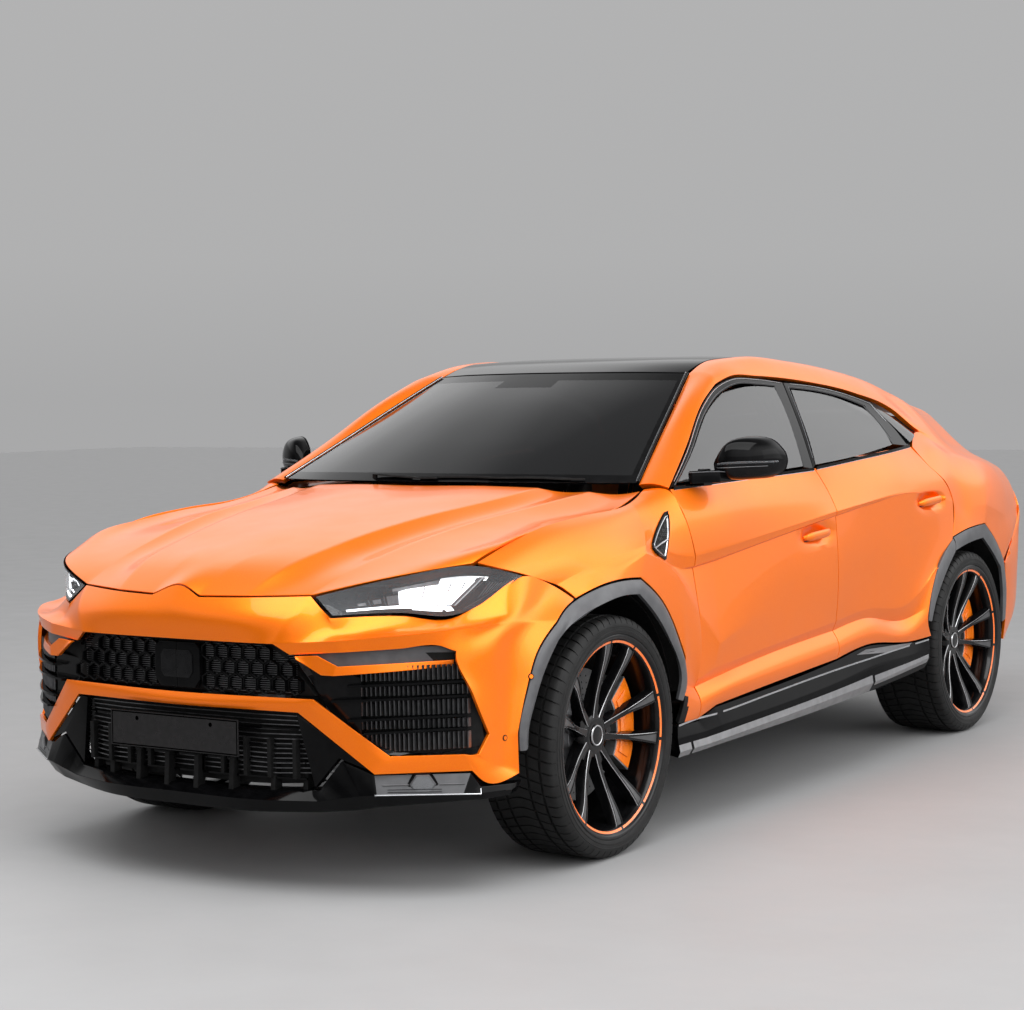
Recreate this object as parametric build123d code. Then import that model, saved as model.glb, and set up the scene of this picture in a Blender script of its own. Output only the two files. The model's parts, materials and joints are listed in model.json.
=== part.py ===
from build123d import *
import os
import numpy as np

# ---------------------------------------------------------------- driving sizes (mm)
LENGTH = 5112.0
HALF_WIDTH = 1008.0
HEIGHT = 1638.0
WHEELBASE = 3003.0
FRONT_AXLE_Y = -1551.0
REAR_AXLE_Y = FRONT_AXLE_Y + WHEELBASE
TYRE_R = 392.0
FRONT_TYRE_W = 285.0
REAR_TYRE_W = 315.0
FRONT_WHEEL_X = 848.0          # middle of the front tyre
REAR_WHEEL_X = 838.0           # middle of the rear tyre
RIM_R = 322.0                  # outside of the rim flange
KINGPIN_X = 775.0
DOOR_T = 88.0                  # door thickness at the lower panel
FRAME_T = 40.0                 # window frame thickness
GLASS_T = 4.0
PANEL_T = 22.0                 # hood, roof and tailgate skins with their inner frames

import numpy as np

# ---------------------------------------------------------------- surface grids
# A panel is a grid of points on its surface. Every cell of the grid is one
# bicubic patch; neighbouring patches share their edges and tangents except
# along the stated crease rows or columns.


def line_tan(p, brk):
    k = len(p)
    TL = np.zeros((k, 3)); TR = np.zeros((k, 3))
    ok = ~np.isnan(p[:, 0])
    i = 0
    while i < k:
        if not ok[i]:
            i += 1
            continue
        j = i
        while j + 1 < k and ok[j + 1]:
            j += 1
        cuts = [i] + [q for q in range(i + 1, j) if brk[q]] + [j]
        for a, b in zip(cuts[:-1], cuts[1:]):
            q = p[a:b + 1]
            v = np.diff(q, axis=0)
            d = np.maximum(np.linalg.norm(v, axis=1), 1e-6)
            s = v / d[:, None]
            n = len(q)
            if n == 2:
                TR[a] = s[0]; TL[b] = s[0]
                continue
            T = np.zeros((n, 3))
            for m in range(1, n - 1):
                T[m] = (d[m - 1] * s[m] + d[m] * s[m - 1]) / (d[m - 1] + d[m])
            T[0] = 1.5 * s[0] - 0.5 * T[1]
            T[-1] = 1.5 * s[-1] - 0.5 * T[-2]
            TR[a] = T[0]; TL[b] = T[-1]
            for m in range(1, n - 1):
                TR[a + m] = T[m]; TL[a + m] = T[m]
        i = j + 1
    return TL, TR


class Grid:
    def __init__(self, rows, cu=(), cv=(), holes=()):
        self.P = np.array(rows, float)
        n, m = self.P.shape[:2]
        self.cu = np.zeros((n, m), bool)
        self.cv = np.zeros((n, m), bool)
        for c in cu:
            if isinstance(c, tuple):
                self.cu[c[0], c[1]:c[2] + 1] = True
            else:
                self.cu[c, :] = True
        for c in cv:
            if isinstance(c, tuple):
                self.cv[c[1]:c[2] + 1, c[0]] = True
            else:
                self.cv[:, c] = True
        ok = ~np.isnan(self.P[:, :, 0])
        self.mask = ok[:-1, :-1] & ok[1:, :-1] & ok[:-1, 1:] & ok[1:, 1:]
        for (i, j) in holes:
            self.mask[i, j] = False

    def like(self, P):
        g = Grid.__new__(Grid)
        g.P = np.array(P, float); g.cu = self.cu; g.cv = self.cv; g.mask = self.mask
        return g

    def tangents(self):
        n, m = self.P.shape[:2]
        UL = np.zeros((n, m, 3)); UR = np.zeros((n, m, 3))
        VL = np.zeros((n, m, 3)); VR = np.zeros((n, m, 3))
        for j in range(m):
            UL[:, j], UR[:, j] = line_tan(self.P[:, j], self.cu[:, j])
        for i in range(n):
            VL[i], VR[i] = line_tan(self.P[i], self.cv[i])
        return UL, UR, VL, VR

    def nets(self):
        P = self.P
        n, m = P.shape[:2]
        UL, UR, VL, VR = self.tangents()
        L = lambda a, b: max(np.linalg.norm(b - a), 1e-6)
        raw = {}
        acc = {}
        for i in range(n - 1):
            for j in range(m - 1):
                if not self.mask[i, j]:
                    continue
                P00, P10, P01, P11 = P[i, j], P[i + 1, j], P[i, j + 1], P[i + 1, j + 1]
                du0, du1, dv0, dv1 = L(P00, P10), L(P01, P11), L(P00, P01), L(P10, P11)
                U00, U10 = UR[i, j] * du0, UL[i + 1, j] * du0
                U01, U11 = UR[i, j + 1] * du1, UL[i + 1, j + 1] * du1
                V00, V01 = VR[i, j] * dv0, VL[i, j + 1] * dv0
                V10, V11 = VR[i + 1, j] * dv1, VL[i + 1, j + 1] * dv1
                bil = P11 - P10 - P01 + P00
                t = {(0, 0): U01 - U00 + V10 - V00 - bil, (1, 0): U11 - U10 + V10 - V00 - bil,
                     (0, 1): U01 - U00 + V11 - V01 - bil, (1, 1): U11 - U10 + V11 - V01 - bil}
                ln = {(0, 0): du0 * dv0, (1, 0): du0 * dv1, (0, 1): du1 * dv0, (1, 1): du1 * dv1}
                raw[i, j] = (P00, P10, P01, P11, U00, U10, U01, U11, V00, V01, V10, V11, ln)
                for (a, b), tv in t.items():
                    vi, vj = i + a, j + b
                    key = (vi, vj, (1 - a) if self.cu[vi, vj] else 9, (1 - b) if self.cv[vi, vj] else 9)
                    acc.setdefault(key, []).append(tv / ln[a, b])
        out = {}
        for (i, j), (P00, P10, P01, P11, U00, U10, U01, U11, V00, V01, V10, V11, ln) in raw.items():
            T = {}
            for (a, b) in ((0, 0), (1, 0), (0, 1), (1, 1)):
                vi, vj = i + a, j + b
                key = (vi, vj, (1 - a) if self.cu[vi, vj] else 9, (1 - b) if self.cv[vi, vj] else 9)
                T[a, b] = np.mean(acc[key], axis=0) * ln[a, b]
            B = np.zeros((4, 4, 3))
            B[0, 0], B[3, 0], B[0, 3], B[3, 3] = P00, P10, P01, P11
            B[1, 0] = P00 + U00 / 3; B[2, 0] = P10 - U10 / 3
            B[1, 3] = P01 + U01 / 3; B[2, 3] = P11 - U11 / 3
            B[0, 1] = P00 + V00 / 3; B[0, 2] = P01 - V01 / 3
            B[3, 1] = P10 + V10 / 3; B[3, 2] = P11 - V11 / 3
            B[1, 1] = B[1, 0] + B[0, 1] - P00 + T[0, 0] / 9
            B[2, 1] = B[2, 0] + B[3, 1] - P10 - T[1, 0] / 9
            B[1, 2] = B[1, 3] + B[0, 2] - P01 - T[0, 1] / 9
            B[2, 2] = B[2, 3] + B[3, 2] - P11 + T[1, 1] / 9
            out[i, j] = B
        return out

    def normals(self):
        UL, UR, VL, VR = self.tangents()
        n, m = self.P.shape[:2]
        N = np.zeros((n, m, 3))
        for i in range(n - 1):
            for j in range(m - 1):
                if not self.mask[i, j]:
                    continue
                for a in (0, 1):
                    for b in (0, 1):
                        u = UR[i, j + b] if a == 0 else UL[i + 1, j + b]
                        v = VR[i + a, j] if b == 0 else VL[i + a, j + 1]
                        c = np.cross(u, v)
                        l = np.linalg.norm(c)
                        if l > 1e-6:
                            N[i + a, j + b] += c / l
        l = np.linalg.norm(N, axis=2)
        N = N / np.maximum(l, 1e-9)[:, :, None]
        return N

    def boundary_vertices(self):
        n, m = self.P.shape[:2]
        cnt = np.zeros((n, m), int)
        for i in range(n - 1):
            for j in range(m - 1):
                if self.mask[i, j]:
                    for a in (0, 1):
                        for b in (0, 1):
                            cnt[i + a, j + b] += 1
        return (cnt > 0) & (cnt < 4), cnt

    def offset(self, t=None, direction=None, inset=0.0):
        """second skin: along the vertex normals by t, or by a fixed vector"""
        P = self.P.copy()
        N = self.normals()
        if direction is not None:
            P = P + np.array(direction, float)
        if t is not None:
            P = P + N * t
        if inset:
            bd, cnt = self.boundary_vertices()
            n, m = P.shape[:2]
            Q = P.copy()
            for i in range(n):
                for j in range(m):
                    if not bd[i, j] or np.isnan(P[i, j, 0]):
                        continue
                    d = np.zeros(3)
                    # towards the side on which cells exist
                    has = lambda a, b: 0 <= a < n - 1 and 0 <= b < m - 1 and self.mask[a, b]
                    up = has(i - 1, j - 1) or has(i - 1, j)
                    dn = has(i, j - 1) or has(i, j)
                    lf = has(i - 1, j - 1) or has(i, j - 1)
                    rt = has(i - 1, j) or has(i, j)
                    if up and not dn:
                        v = P[i - 1, j] - P[i, j]; d += v / max(np.linalg.norm(v), 1e-6)
                    if dn and not up:
                        v = P[i + 1, j] - P[i, j]; d += v / max(np.linalg.norm(v), 1e-6)
                    if lf and not rt:
                        v = P[i, j - 1] - P[i, j]; d += v / max(np.linalg.norm(v), 1e-6)
                    if rt and not lf:
                        v = P[i, j + 1] - P[i, j]; d += v / max(np.linalg.norm(v), 1e-6)
                    Q[i, j] = P[i, j] + d * inset
            P = Q
        return self.like(P)

    def mirrored(self):
        g = self.like(self.P * np.array([-1, 1, 1.0]))
        return g

    def scale_pts(self, f):
        return self.like(f(self.P))


def fix_sym(P, *Ts):
    """tangents that cross the centre plane x = 0 leave it square"""
    z = np.abs(np.nan_to_num(P[:, :, 0], nan=9e9)) < 1e-6
    for T in Ts:
        L = np.linalg.norm(T, axis=2)
        sel = z & (np.abs(T[:, :, 0]) > 0.3 * L) & (L > 0)
        T[sel] = np.stack([np.sign(T[sel][:, 0]) * L[sel], np.zeros(sel.sum()), np.zeros(sel.sum())], -1)


_old_tan = Grid.tangents


def _tan(self):
    UL, UR, VL, VR = _old_tan(self)
    fix_sym(self.P, UL, UR, VL, VR)
    return UL, UR, VL, VR


Grid.tangents = _tan


def bez(c0, c1, c2, c3, t):
    t = t[:, None]
    return (1 - t) ** 3 * c0 + 3 * (1 - t) ** 2 * t * c1 + 3 * (1 - t) * t ** 2 * c2 + t ** 3 * c3
N_ = (np.nan, np.nan, np.nan)
GAP = 6.0                      # shut line between two panels

# ---------------------------------------------------------------- front fender
# rows: hood shut line, shoulder, upper side, wheel-arch crest, lower crest,
# diagonal, arch edge and then the strip between the arch and the door
FENDER = Grid([
    [(792, -2036, 985), (838, -1720, 1079), (848, -1530, 1098), (840, -1200, 1124), (826, -1120, 1143), (817, -1080, 1156), (809, -1047, 1164)],
    [(828, -1985, 968), (878, -1705, 1058), (888, -1522, 1076), (868, -1215, 1110), (862, -1125, 1132), (868, -1062, 1150), (885, -1016, 1160)],
    [(878, -1898, 939), (915, -1690, 1018), (925, -1510, 1035), (908, -1240, 1062), (912, -1150, 1068), (922, -1070, 1075), (934, -1000, 1078)],
    [(928, -1803, 903), (950, -1650, 944), (962, -1505, 968), (968, -1318, 994), (950, -1205, 985), (951, -1085, 950), (959, -963, 932)],
    [(940, -1780, 889), (957, -1645, 925), (970, -1500, 947), (975, -1328, 980), (958, -1205, 950), (946, -1085, 905), (954, -960, 898)],
    [(950, -1761, 874), (967, -1640, 905), (978, -1495, 925), (981, -1336, 968), (977, -1200, 926), (976, -1075, 846), (972, -960, 736)],
    [(959, -1742, 857), (977, -1640, 886), (985, -1500, 899), (988, -1385, 895), (987, -1242, 809), (983, -1078, 600), (966, -960, 505)],
    [N_, N_, N_, N_, N_, (976, -1057, 500), (956, -960, 478)],
    [N_, N_, N_, N_, N_, (978, -1085, 458), (967, -960, 425)],
    [N_, N_, N_, N_, N_, (972, -1114, 376), (963, -960, 372)],
], cu=[3, (4, 3, 6), (5, 3, 6), (7, 5, 6)], cv=[(3, 1, 6), (5, 6, 6)])

# ---------------------------------------------------------------- doors
FDOOR = Grid([
    [(889, -1004, 1162), (893, -830, 1163), (895, -450, 1174), (902, 96, 1192)],
    [(935, -992, 1076), (940, -820, 1083), (943, -450, 1082), (944, 160, 1074)],
    [(959, -955, 933), (962, -815, 943), (964, -450, 974), (965, 162, 1026)],
    [(954, -954, 899), (955, -810, 910), (961, -450, 950), (963, 163, 1012)],
    [(972, -954, 732), (974, -812, 618), (967, -450, 700), (967, 165, 740)],
    [(966, -954, 507), (967, -830, 533), (964, -450, 560), (960, 165, 600)],
    [(956, -954, 480), (955, -830, 493), (950, -450, 527), (944, 165, 562)],
    [(967, -954, 425), (970, -830, 447), (968, -450, 468), (966, 165, 500)],
    [(963, -954, 374), (966, -830, 404), (965, -450, 425), (963, 160, 456)],
], cu=[2, 3, (4, 0, 1), 5, 6], cv=[(1, 3, 5), (1, 8, 8)])
RDOOR = Grid([
    [(902, 102, 1193), (895, 480, 1215), (885, 800, 1239), (866, 1110, 1245)],
    [(944, 166, 1074), (946, 480, 1105), (940, 820, 1145), (917, 1147, 1177)],
    [(965, 168, 1026), (968, 480, 1050), (968, 850, 1075), (967, 1254, 1078)],
    [(963, 169, 1012), (966, 480, 1040), (971, 850, 1066), (978, 1290, 1010)],
    [(967, 171, 740), (966, 480, 780), (974, 850, 810), (992, 1256, 855)],
    [(960, 171, 600), (962, 480, 625), (976, 800, 640), (1000, 1066, 736)],
    [(944, 171, 562), (951, 480, 590), (972, 800, 585), (1000, 982, 592)],
    [(966, 171, 501), (968, 480, 530), (986, 800, 520), (1000, 966, 532)],
    [(963, 166, 457), (965, 430, 482), (982, 850, 455), (994, 1012, 460)],
], cu=[(2, 0, 2), (3, 0, 2), 5, (6, 0, 2)])

# ---------------------------------------------------------------- body side
# A-pillar, roof rail, rear pillar and rear quarter in one panel
SIDE = Grid([
    # a: windscreen, roof and tailgate side edge
    [(786, -1040, 1181), (717, -800, 1302), (634, -505, 1452), (572, -286, 1563), (561, -157, 1604), (560, 54, 1622), (559, 475, 1610), (559, 863, 1580),
     (561, 1196, 1536), (565, 1380, 1501), (571, 1510, 1473), (583, 1700, 1427), (604, 1955, 1362), (640, 2110, 1250), (652, 2215, 1195)],
    # b: crown of the rail
    [(836, -1030, 1184), (770, -780, 1314), (690, -502, 1475), (644, -300, 1563), (634, -170, 1598), (630, 20, 1619), (630, 475, 1603), (630, 863, 1568),
     (630, 1210, 1519), (635, 1385, 1479), (642, 1510, 1448), (650, 1695, 1390), (660, 1950, 1312), (678, 2125, 1214), (684, 2245, 1172)],
    # b2
    [(865, -1020, 1178), (798, -765, 1312), (722, -502, 1468), (686, -322, 1548), (676, -180, 1578), (676, 10, 1584), (680, 475, 1562), (684, 863, 1524),
     (692, 1204, 1464), (712, 1370, 1405), (735, 1500, 1368), (730, 1690, 1316), (718, 1945, 1258), (720, 2133, 1188), (718, 2272, 1153)],
    # c: upper edge of the side window, then down the rear pillar
    [(887, -1014, 1170), (814, -757, 1304), (742, -505, 1454), (710, -340, 1524), (702, -185, 1556), (704, 0, 1553), (710, 475, 1525), (718, 863, 1480),
     (747, 1196, 1404), (802, 1336, 1313), (812, 1490, 1285), (798, 1690, 1243), (774, 1940, 1208), (766, 2133, 1168), (755, 2288, 1138)],
    # d: lower edge of the side window behind the door
    [N_, N_, N_, N_, N_, N_, N_, N_,
     (870, 1118, 1247), (806, 1342, 1302), (842, 1490, 1245), (846, 1690, 1204), (828, 1932, 1180), (814, 2128, 1148), (796, 2287, 1118)],
    [N_, N_, N_, N_, N_, N_, N_, N_,
     (919, 1154, 1175), (888, 1360, 1222), (900, 1490, 1190), (905, 1690, 1168), (884, 1925, 1148), (860, 2120, 1112), (834, 2281, 1082)],
    [N_, N_, N_, N_, N_, N_, N_, N_,
     (969, 1260, 1080), (955, 1375, 1108), (962, 1490, 1098), (968, 1680, 1088), (942, 1915, 1070), (906, 2108, 1045), (872, 2266, 1028)],
    [N_, N_, N_, N_, N_, N_, N_, N_,
     (979, 1296, 1012), (985, 1392, 968), (994, 1485, 977), (1002, 1625, 982), (982, 1880, 930), (948, 2080, 920), (908, 2242, 950)],
    [N_, N_, N_, N_, N_, N_, N_, N_,
     (992, 1262, 861), (1002, 1395, 887), (1004, 1490, 895), (1006, 1590, 899), (1003, 1735, 810), (992, 1850, 722), (950, 2040, 812)],
], cu=[(7, 9, 12)], cv=[3, (11, 7, 8), (13, 8, 8)], holes=[(3, 8)])

# ---------------------------------------------------------------- hood (left half)
HOOD = Grid([
    [(0, -2511, 931), (95, -2525, 900), (260, -2500, 903), (361, -2468, 905.5), (462, -2436, 908), (640, -2243, 957), (778, -2048, 984)],
    [(0, -2400, 975), (110, -2405, 970), (290, -2370, 969), (387.5, -2335, 953), (485, -2300, 959), (650, -2130, 985), (800, -1935, 1030)],
    [(0, -2150, 1040), (150, -2145, 1037), (330, -2110, 1039), (425, -2080, 1012), (520, -2050, 1028), (675, -1930, 1024), (826, -1740, 1071)],
    [(0, -1800, 1100), (200, -1795, 1099), (385, -1775, 1100), (477.5, -1757.5, 1068.5), (570, -1740, 1087), (715, -1680, 1071), (836, -1545, 1092)],
    [(0, -1480, 1147), (240, -1475, 1148), (440, -1455, 1139), (525, -1442.5, 1111.5), (610, -1430, 1124), (735, -1380, 1099), (833, -1300, 1108)],
    [(0, -1255, 1176), (260, -1245, 1178), (480, -1210, 1172), (565, -1180, 1157), (650, -1150, 1158), (745, -1100, 1148), (800, -1066, 1157)],
], cu=[], cv=[(1, 0, 1), 2, 4])

# ---------------------------------------------------------------- windscreen, roof
WSCREEN = Grid([
    [(0, -1225, 1190), (300, -1205, 1190), (560, -1140, 1188), (776, -1036, 1186)],
    [(0, -960, 1332), (270, -945, 1330), (510, -890, 1322), (706, -797, 1307)],
    [(0, -690, 1464), (240, -675, 1462), (450, -610, 1460), (624, -504, 1456)],
    [(0, -440, 1570), (210, -425, 1569), (400, -370, 1567), (562, -290, 1563)],
])
ROOF = Grid([
    [(0, -432, 1575), (210, -417, 1574), (395, -362, 1572), (556, -282, 1567)],
    [(0, -250, 1612), (200, -245, 1611), (390, -220, 1608), (553, -157, 1605)],
    [(0, 60, 1633), (200, 60, 1632), (390, 58, 1630), (552, 54, 1624)],
    [(0, 475, 1628), (200, 475, 1627), (390, 475, 1624), (551, 475, 1612)],
    [(0, 863, 1600), (200, 863, 1599), (390, 863, 1595), (551, 863, 1582)],
    [(0, 1196, 1560), (200, 1196, 1559), (390, 1196, 1554), (553, 1196, 1538)],
    [(0, 1380, 1530), (200, 1380, 1529), (390, 1378, 1523), (557, 1376, 1503)],
    [(0, 1510, 1505), (200, 1508, 1503), (390, 1504, 1496), (563, 1496, 1476)],
])
# ---------------------------------------------------------------- tailgate
SPOILER = Grid([
    [(0, 1524, 1503), (200, 1522, 1501), (390, 1519, 1493), (564, 1512, 1472)],
    [(0, 1700, 1468), (200, 1698, 1465), (390, 1692, 1455), (574, 1690, 1431)],
    [(0, 1880, 1434), (200, 1876, 1431), (395, 1862, 1417), (588, 1830, 1396)],
    [(0, 2010, 1412), (200, 2004, 1408), (400, 1985, 1393), (597, 1930, 1368)],
])
REARGL = Grid([
    [(0, 1900, 1383), (200, 1897, 1381), (400, 1888, 1369), (586, 1868, 1352)],
    [(0, 2110, 1274), (210, 2106, 1272), (420, 2096, 1262), (618, 2072, 1250)],
    [(0, 2296, 1176), (215, 2292, 1174), (440, 2276, 1168), (636, 2215, 1178)],
])
GATE = Grid([
    [(0, 2304, 1170), (215, 2300, 1168), (440, 2284, 1162), (643, 2224, 1174)],
    [(0, 2415, 1154), (225, 2411, 1152), (460, 2390, 1145), (664, 2310, 1134)],
    [(0, 2403, 1100), (225, 2399, 1099), (460, 2380, 1092), (672, 2318, 1080)],
    [(0, 2430, 1060), (230, 2426, 1058), (465, 2405, 1052), (680, 2338, 1045)],
    [(0, 2452, 950), (235, 2448, 950), (470, 2425, 950), (690, 2355, 950)],
    [(0, 2472, 800), (240, 2468, 800), (475, 2445, 800), (690, 2372, 800)],
    [(0, 2480, 700), (240, 2475, 700), (474, 2452, 700), (686, 2384, 700)],
], cu=[1, 2])

# ---------------------------------------------------------------- front bumper
FBUMP = Grid([
    [(0, -2517, 925), (95, -2532, 893), (260, -2507, 896), (460, -2443, 902), (531, -2447, 838), (642, -2241, 832), (734, -2109, 815), (783, -2038, 848), (873, -1908, 934), (922, -1821, 901), (956, -1748, 853)],
    [(0, -2556, 850), (100, -2556, 845), (270, -2545, 838), (430, -2512, 828), (550, -2440, 797), (665, -2300, 789), (762, -2172, 785), (822, -2085, 797), (892, -1990, 838), (935, -1885, 842), (966, -1830, 826)],
    [(0, -2550, 765), (102, -2549, 765), (265, -2545, 765), (387, -2538, 766), (555, -2450, 773), (690, -2325, 783), (788, -2225, 792), (848, -2140, 797), (905, -2050, 806), (945, -1950, 802), (972, -1878, 797)],
    [N_, N_, N_, (432, -2514, 733), (560, -2425, 737), (690, -2312, 743), (780, -2232, 749), (819, -2198, 731), (880, -2120, 738), (935, -2020, 742), (963, -1978, 712)],
    [N_, N_, N_, N_, N_, N_, N_, (856, -2167, 601), (895, -2115, 600), (935, -2055, 600), (956, -2030, 600)],
    [N_, N_, N_, N_, N_, N_, N_, (893, -2136, 476), (910, -2110, 470), (932, -2082, 470), (949, -2070, 475)],
    [N_, N_, N_, N_, N_, N_, N_, (868, -2158, 415), (893, -2132, 390), (925, -2095, 372), (948, -2064, 352)],
    [N_, N_, N_, N_, N_, N_, N_, (850, -2172, 413), (859, -2163, 388), (868, -2155, 360), (878, -2149, 334)],
    [N_, N_, N_, N_, N_, N_, N_, (836, -2188, 416), (841, -2182, 400), (846, -2176, 384), (851, -2170, 367)],
    [N_, N_, N_, N_, N_, N_, N_, (662, -2332, 418), (652, -2342, 402), (640, -2350, 384), (625, -2360, 366)],
    [N_, N_, N_, N_, N_, N_, N_, (488, -2480, 597), (475, -2488, 585), (462, -2492, 572), (445, -2496, 558)],
    [N_, N_, N_, N_, N_, N_, N_, (0, -2528, 597), (0, -2534, 585), (0, -2536, 572), (0, -2530, 558)],
], cu=[2, 5, 6, 8, 9, 10], cv=[1, 3, 4])

# ---------------------------------------------------------------- rear bumper
RBUMP = Grid([
    [N_, N_, N_, (697, 2360, 1002), (800, 2325, 1003), (880, 2272, 1006), N_, N_],
    [N_, N_, N_, (698, 2366, 940), (812, 2325, 940), (914, 2246, 943), (932, 2150, 866), N_],
    [N_, N_, N_, (697, 2376, 810), (825, 2330, 810), (935, 2190, 810), (958, 2040, 782), (975, 1950, 742)],
    [(0, 2487, 692), (240, 2482, 692), (478, 2460, 692), (694, 2392, 692), (835, 2335, 692), (945, 2150, 692), (975, 2000, 690), (994, 1864, 704)],
    [(0, 2556, 600), (240, 2550, 600), (480, 2520, 596), (696, 2440, 590), (842, 2340, 585), (948, 2120, 575), (975, 1985, 575), (984, 1906, 590)],
    [(0, 2540, 480), (240, 2535, 478), (478, 2505, 470), (676, 2425, 460), (828, 2320, 450), (938, 2100, 440), (965, 1975, 440), (973, 1922, 450)],
    [(0, 2505, 440), (240, 2500, 438), (470, 2470, 425), (660, 2380, 400), (800, 2270, 370), (912, 2060, 350), (950, 1960, 347), (960, 1927, 352)],
], cu=[4, (3, 7, 7)], cv=[3])

# ---------------------------------------------------------------- arch trims
def toward(pts, cy, cz, d, dx):
    """points moved by d towards the wheel centre and by dx outboard"""
    out = []
    for (x, y, z) in pts:
        v = np.array([cy - y, cz - z]); v = v / np.linalg.norm(v)
        out.append((min(x + dx, 1008.0), y + v[0] * d, z + v[1] * d))
    return out


FT_O = [(948, -2066, 419), (949, -2070, 475), (956, -2030, 600), (963, -1978, 712), (972, -1878, 797), (966, -1830, 826), (959, -1742, 857),
        (977, -1640, 886), (985, -1500, 899), (988, -1385, 895), (987, -1242, 809), (983, -1078, 600), (976, -1057, 500), (978, -1085, 458)]
FT_I = [(950, -2014, 420), (953, -2012, 478), (962, -1988, 560), (970, -1945, 650), (980, -1880, 738), (984, -1838, 768), (992, -1745, 808),
        (1000, -1640, 832), (1003, -1520, 847), (1004, -1418, 843), (1001, -1290, 752), (996, -1165, 620), (992, -1122, 530), (985, -1135, 462)]
FTRIM = Grid([toward(FT_O, -1551, 392, 9, 2), toward(FT_O, -1551, 392, 22, 9), FT_I], cv=[4, 9, 11])
RD_O = [(1000, 968, 530), (1000, 982, 592), (1000, 1066, 736), (992, 1256, 855)]
RD_I = [(1004, 1004, 532), (1006, 1034, 592), (1007, 1120, 690), (1006, 1252, 796)]
RTRIM_D = Grid([toward(RD_O, 1452, 392, 6, 2), toward(RD_O, 1452, 392, 22, 7), RD_I])
RB_O = [(992, 1262, 861), (1002, 1395, 887), (1004, 1490, 895), (1006, 1590, 899), (1003, 1735, 810), (992, 1850, 722), (984, 1906, 590), (973, 1922, 450)]
RB_I = [(1006, 1262, 802), (1007, 1385, 822), (1007, 1490, 832), (1007, 1570, 836), (1007, 1690, 760), (1003, 1790, 690), (994, 1838, 582), (986, 1852, 440)]
RTRIM_B = Grid([toward(RB_O, 1452, 392, 6, 2), toward(RB_O, 1452, 392, 22, 7), RB_I], cv=[3, 5])

# ---------------------------------------------------------------- side windows
FFRAME = Grid([
    [(881, -1001, 1174), (813, -752, 1296), (742, -500, 1446), (711, -337, 1515), (703, -185, 1547), (704, 0, 1545), (705, 228, 1529), (808, 164, 1362), (899, 95, 1199)],
    [(884, -962, 1177), (823, -740, 1277), (752, -488, 1425), (722, -323, 1490), (715, -185, 1520), (716, 0, 1518), (717, 132, 1511), (808, 80, 1362), (895, 22, 1201)],
], cv=[6])
RFRAME = Grid([
    [(897, 103, 1200), (806, 172, 1362), (706, 237, 1528), (712, 475, 1515), (721, 760, 1482), (734, 1002, 1438), (800, 1054, 1346), (863, 1103, 1256)],
    [(893, 122, 1207), (807, 194, 1362), (718, 258, 1503), (723, 475, 1490), (732, 720, 1460), (740, 903, 1424), (806, 912, 1346), (868, 916, 1264)],
], cv=[2, 5])
FGLASS = Grid([
    [(884, -945, 1184), (889, -450, 1190), (893, 17, 1205)],
    [(824, -730, 1281), (838, -340, 1290), (852, 48, 1290)],
    [(754, -478, 1426), (764, -190, 1430), (770, 102, 1432)],
    [(724, -314, 1487), (719, -100, 1510), (719, 128, 1505)],
])
RGLASS = Grid([
    [(892, 128, 1210), (888, 500, 1230), (868, 908, 1264)],
    [(850, 163, 1292), (846, 520, 1310), (836, 906, 1318)],
    [(770, 218, 1430), (775, 530, 1412), (789, 904, 1375)],
    [(721, 262, 1498), (727, 540, 1478), (741, 898, 1420)],
])
QLIGHT = Grid([
    [(740, 1024, 1420), (758, 1180, 1378), (786, 1288, 1318)],
    [(860, 1114, 1266), (838, 1210, 1285), (796, 1296, 1306)],
])

# ---------------------------------------------------------------- lamps, grilles, sills
HLAMP = Grid([
    [(475, -2436, 901), (645, -2249, 950), (783, -2054, 975), (870, -1914, 937)],
    [(538, -2438, 847), (645, -2241, 842), (740, -2106, 826), (860, -1930, 925)],
])
HLAMP_IN = np.array([[(-22, 46, -58)] * 4, [(-34, 62, 6)] * 4], float)
TLAMP = Grid([
    [(680, 2326, 1074), (750, 2318, 1086), (806, 2300, 1074), (842, 2290, 1046)],
    [(698, 2352, 1011), (755, 2343, 1012), (808, 2326, 1012), (848, 2298, 1014)],
])
UGRILLE = Grid([
    [(0, -2505, 758), (190, -2503, 758), (376, -2492, 758)],
    [(0, -2495, 604), (240, -2490, 604), (474, -2448, 604)],
])
SGRILLE = Grid([
    [(440, -2465, 722), (640, -2310, 728), (806, -2170, 720)],
    [(500, -2415, 598), (690, -2260, 590), (840, -2135, 596)],
    [(655, -2290, 425), (770, -2200, 423), (862, -2120, 440)],
])
LGRILLE = Grid([
    [(0, -2480, 552), (220, -2475, 552), (422, -2456, 552)],
    [(0, -2475, 328), (300, -2458, 328), (456, -2402, 334)],
])
SPLIT = Grid([
    [(0, -2512, 312), (300, -2495, 312), (474, -2438, 316), (540, -2410, 404), (618, -2352, 360), (845, -2173, 359), (868, -2154, 316), (936, -2070, 320)],
    [(0, -2548, 290), (300, -2532, 288), (480, -2460, 286), (588, -2386, 300), (632, -2360, 303), (838, -2202, 300), (876, -2164, 298), (938, -2087, 304)],
    [(0, -2530, 250), (300, -2512, 250), (478, -2432, 250), (566, -2372, 254), (625, -2332, 262), (835, -2174, 276), (880, -2142, 280), (930, -2087, 288)],
], cu=[1], cv=[2, 3, 4, 5, 6])
PILL = Grid([
    [(428, -2480, 546), (434, -2485, 549), (440, -2489, 551)],
    [(466, -2446, 328), (534, -2416, 416), (602, -2366, 380)],
], cv=[1])
RIM_Y = lambda x: -692.0 + 0.63 * (x - 948.0)
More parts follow.
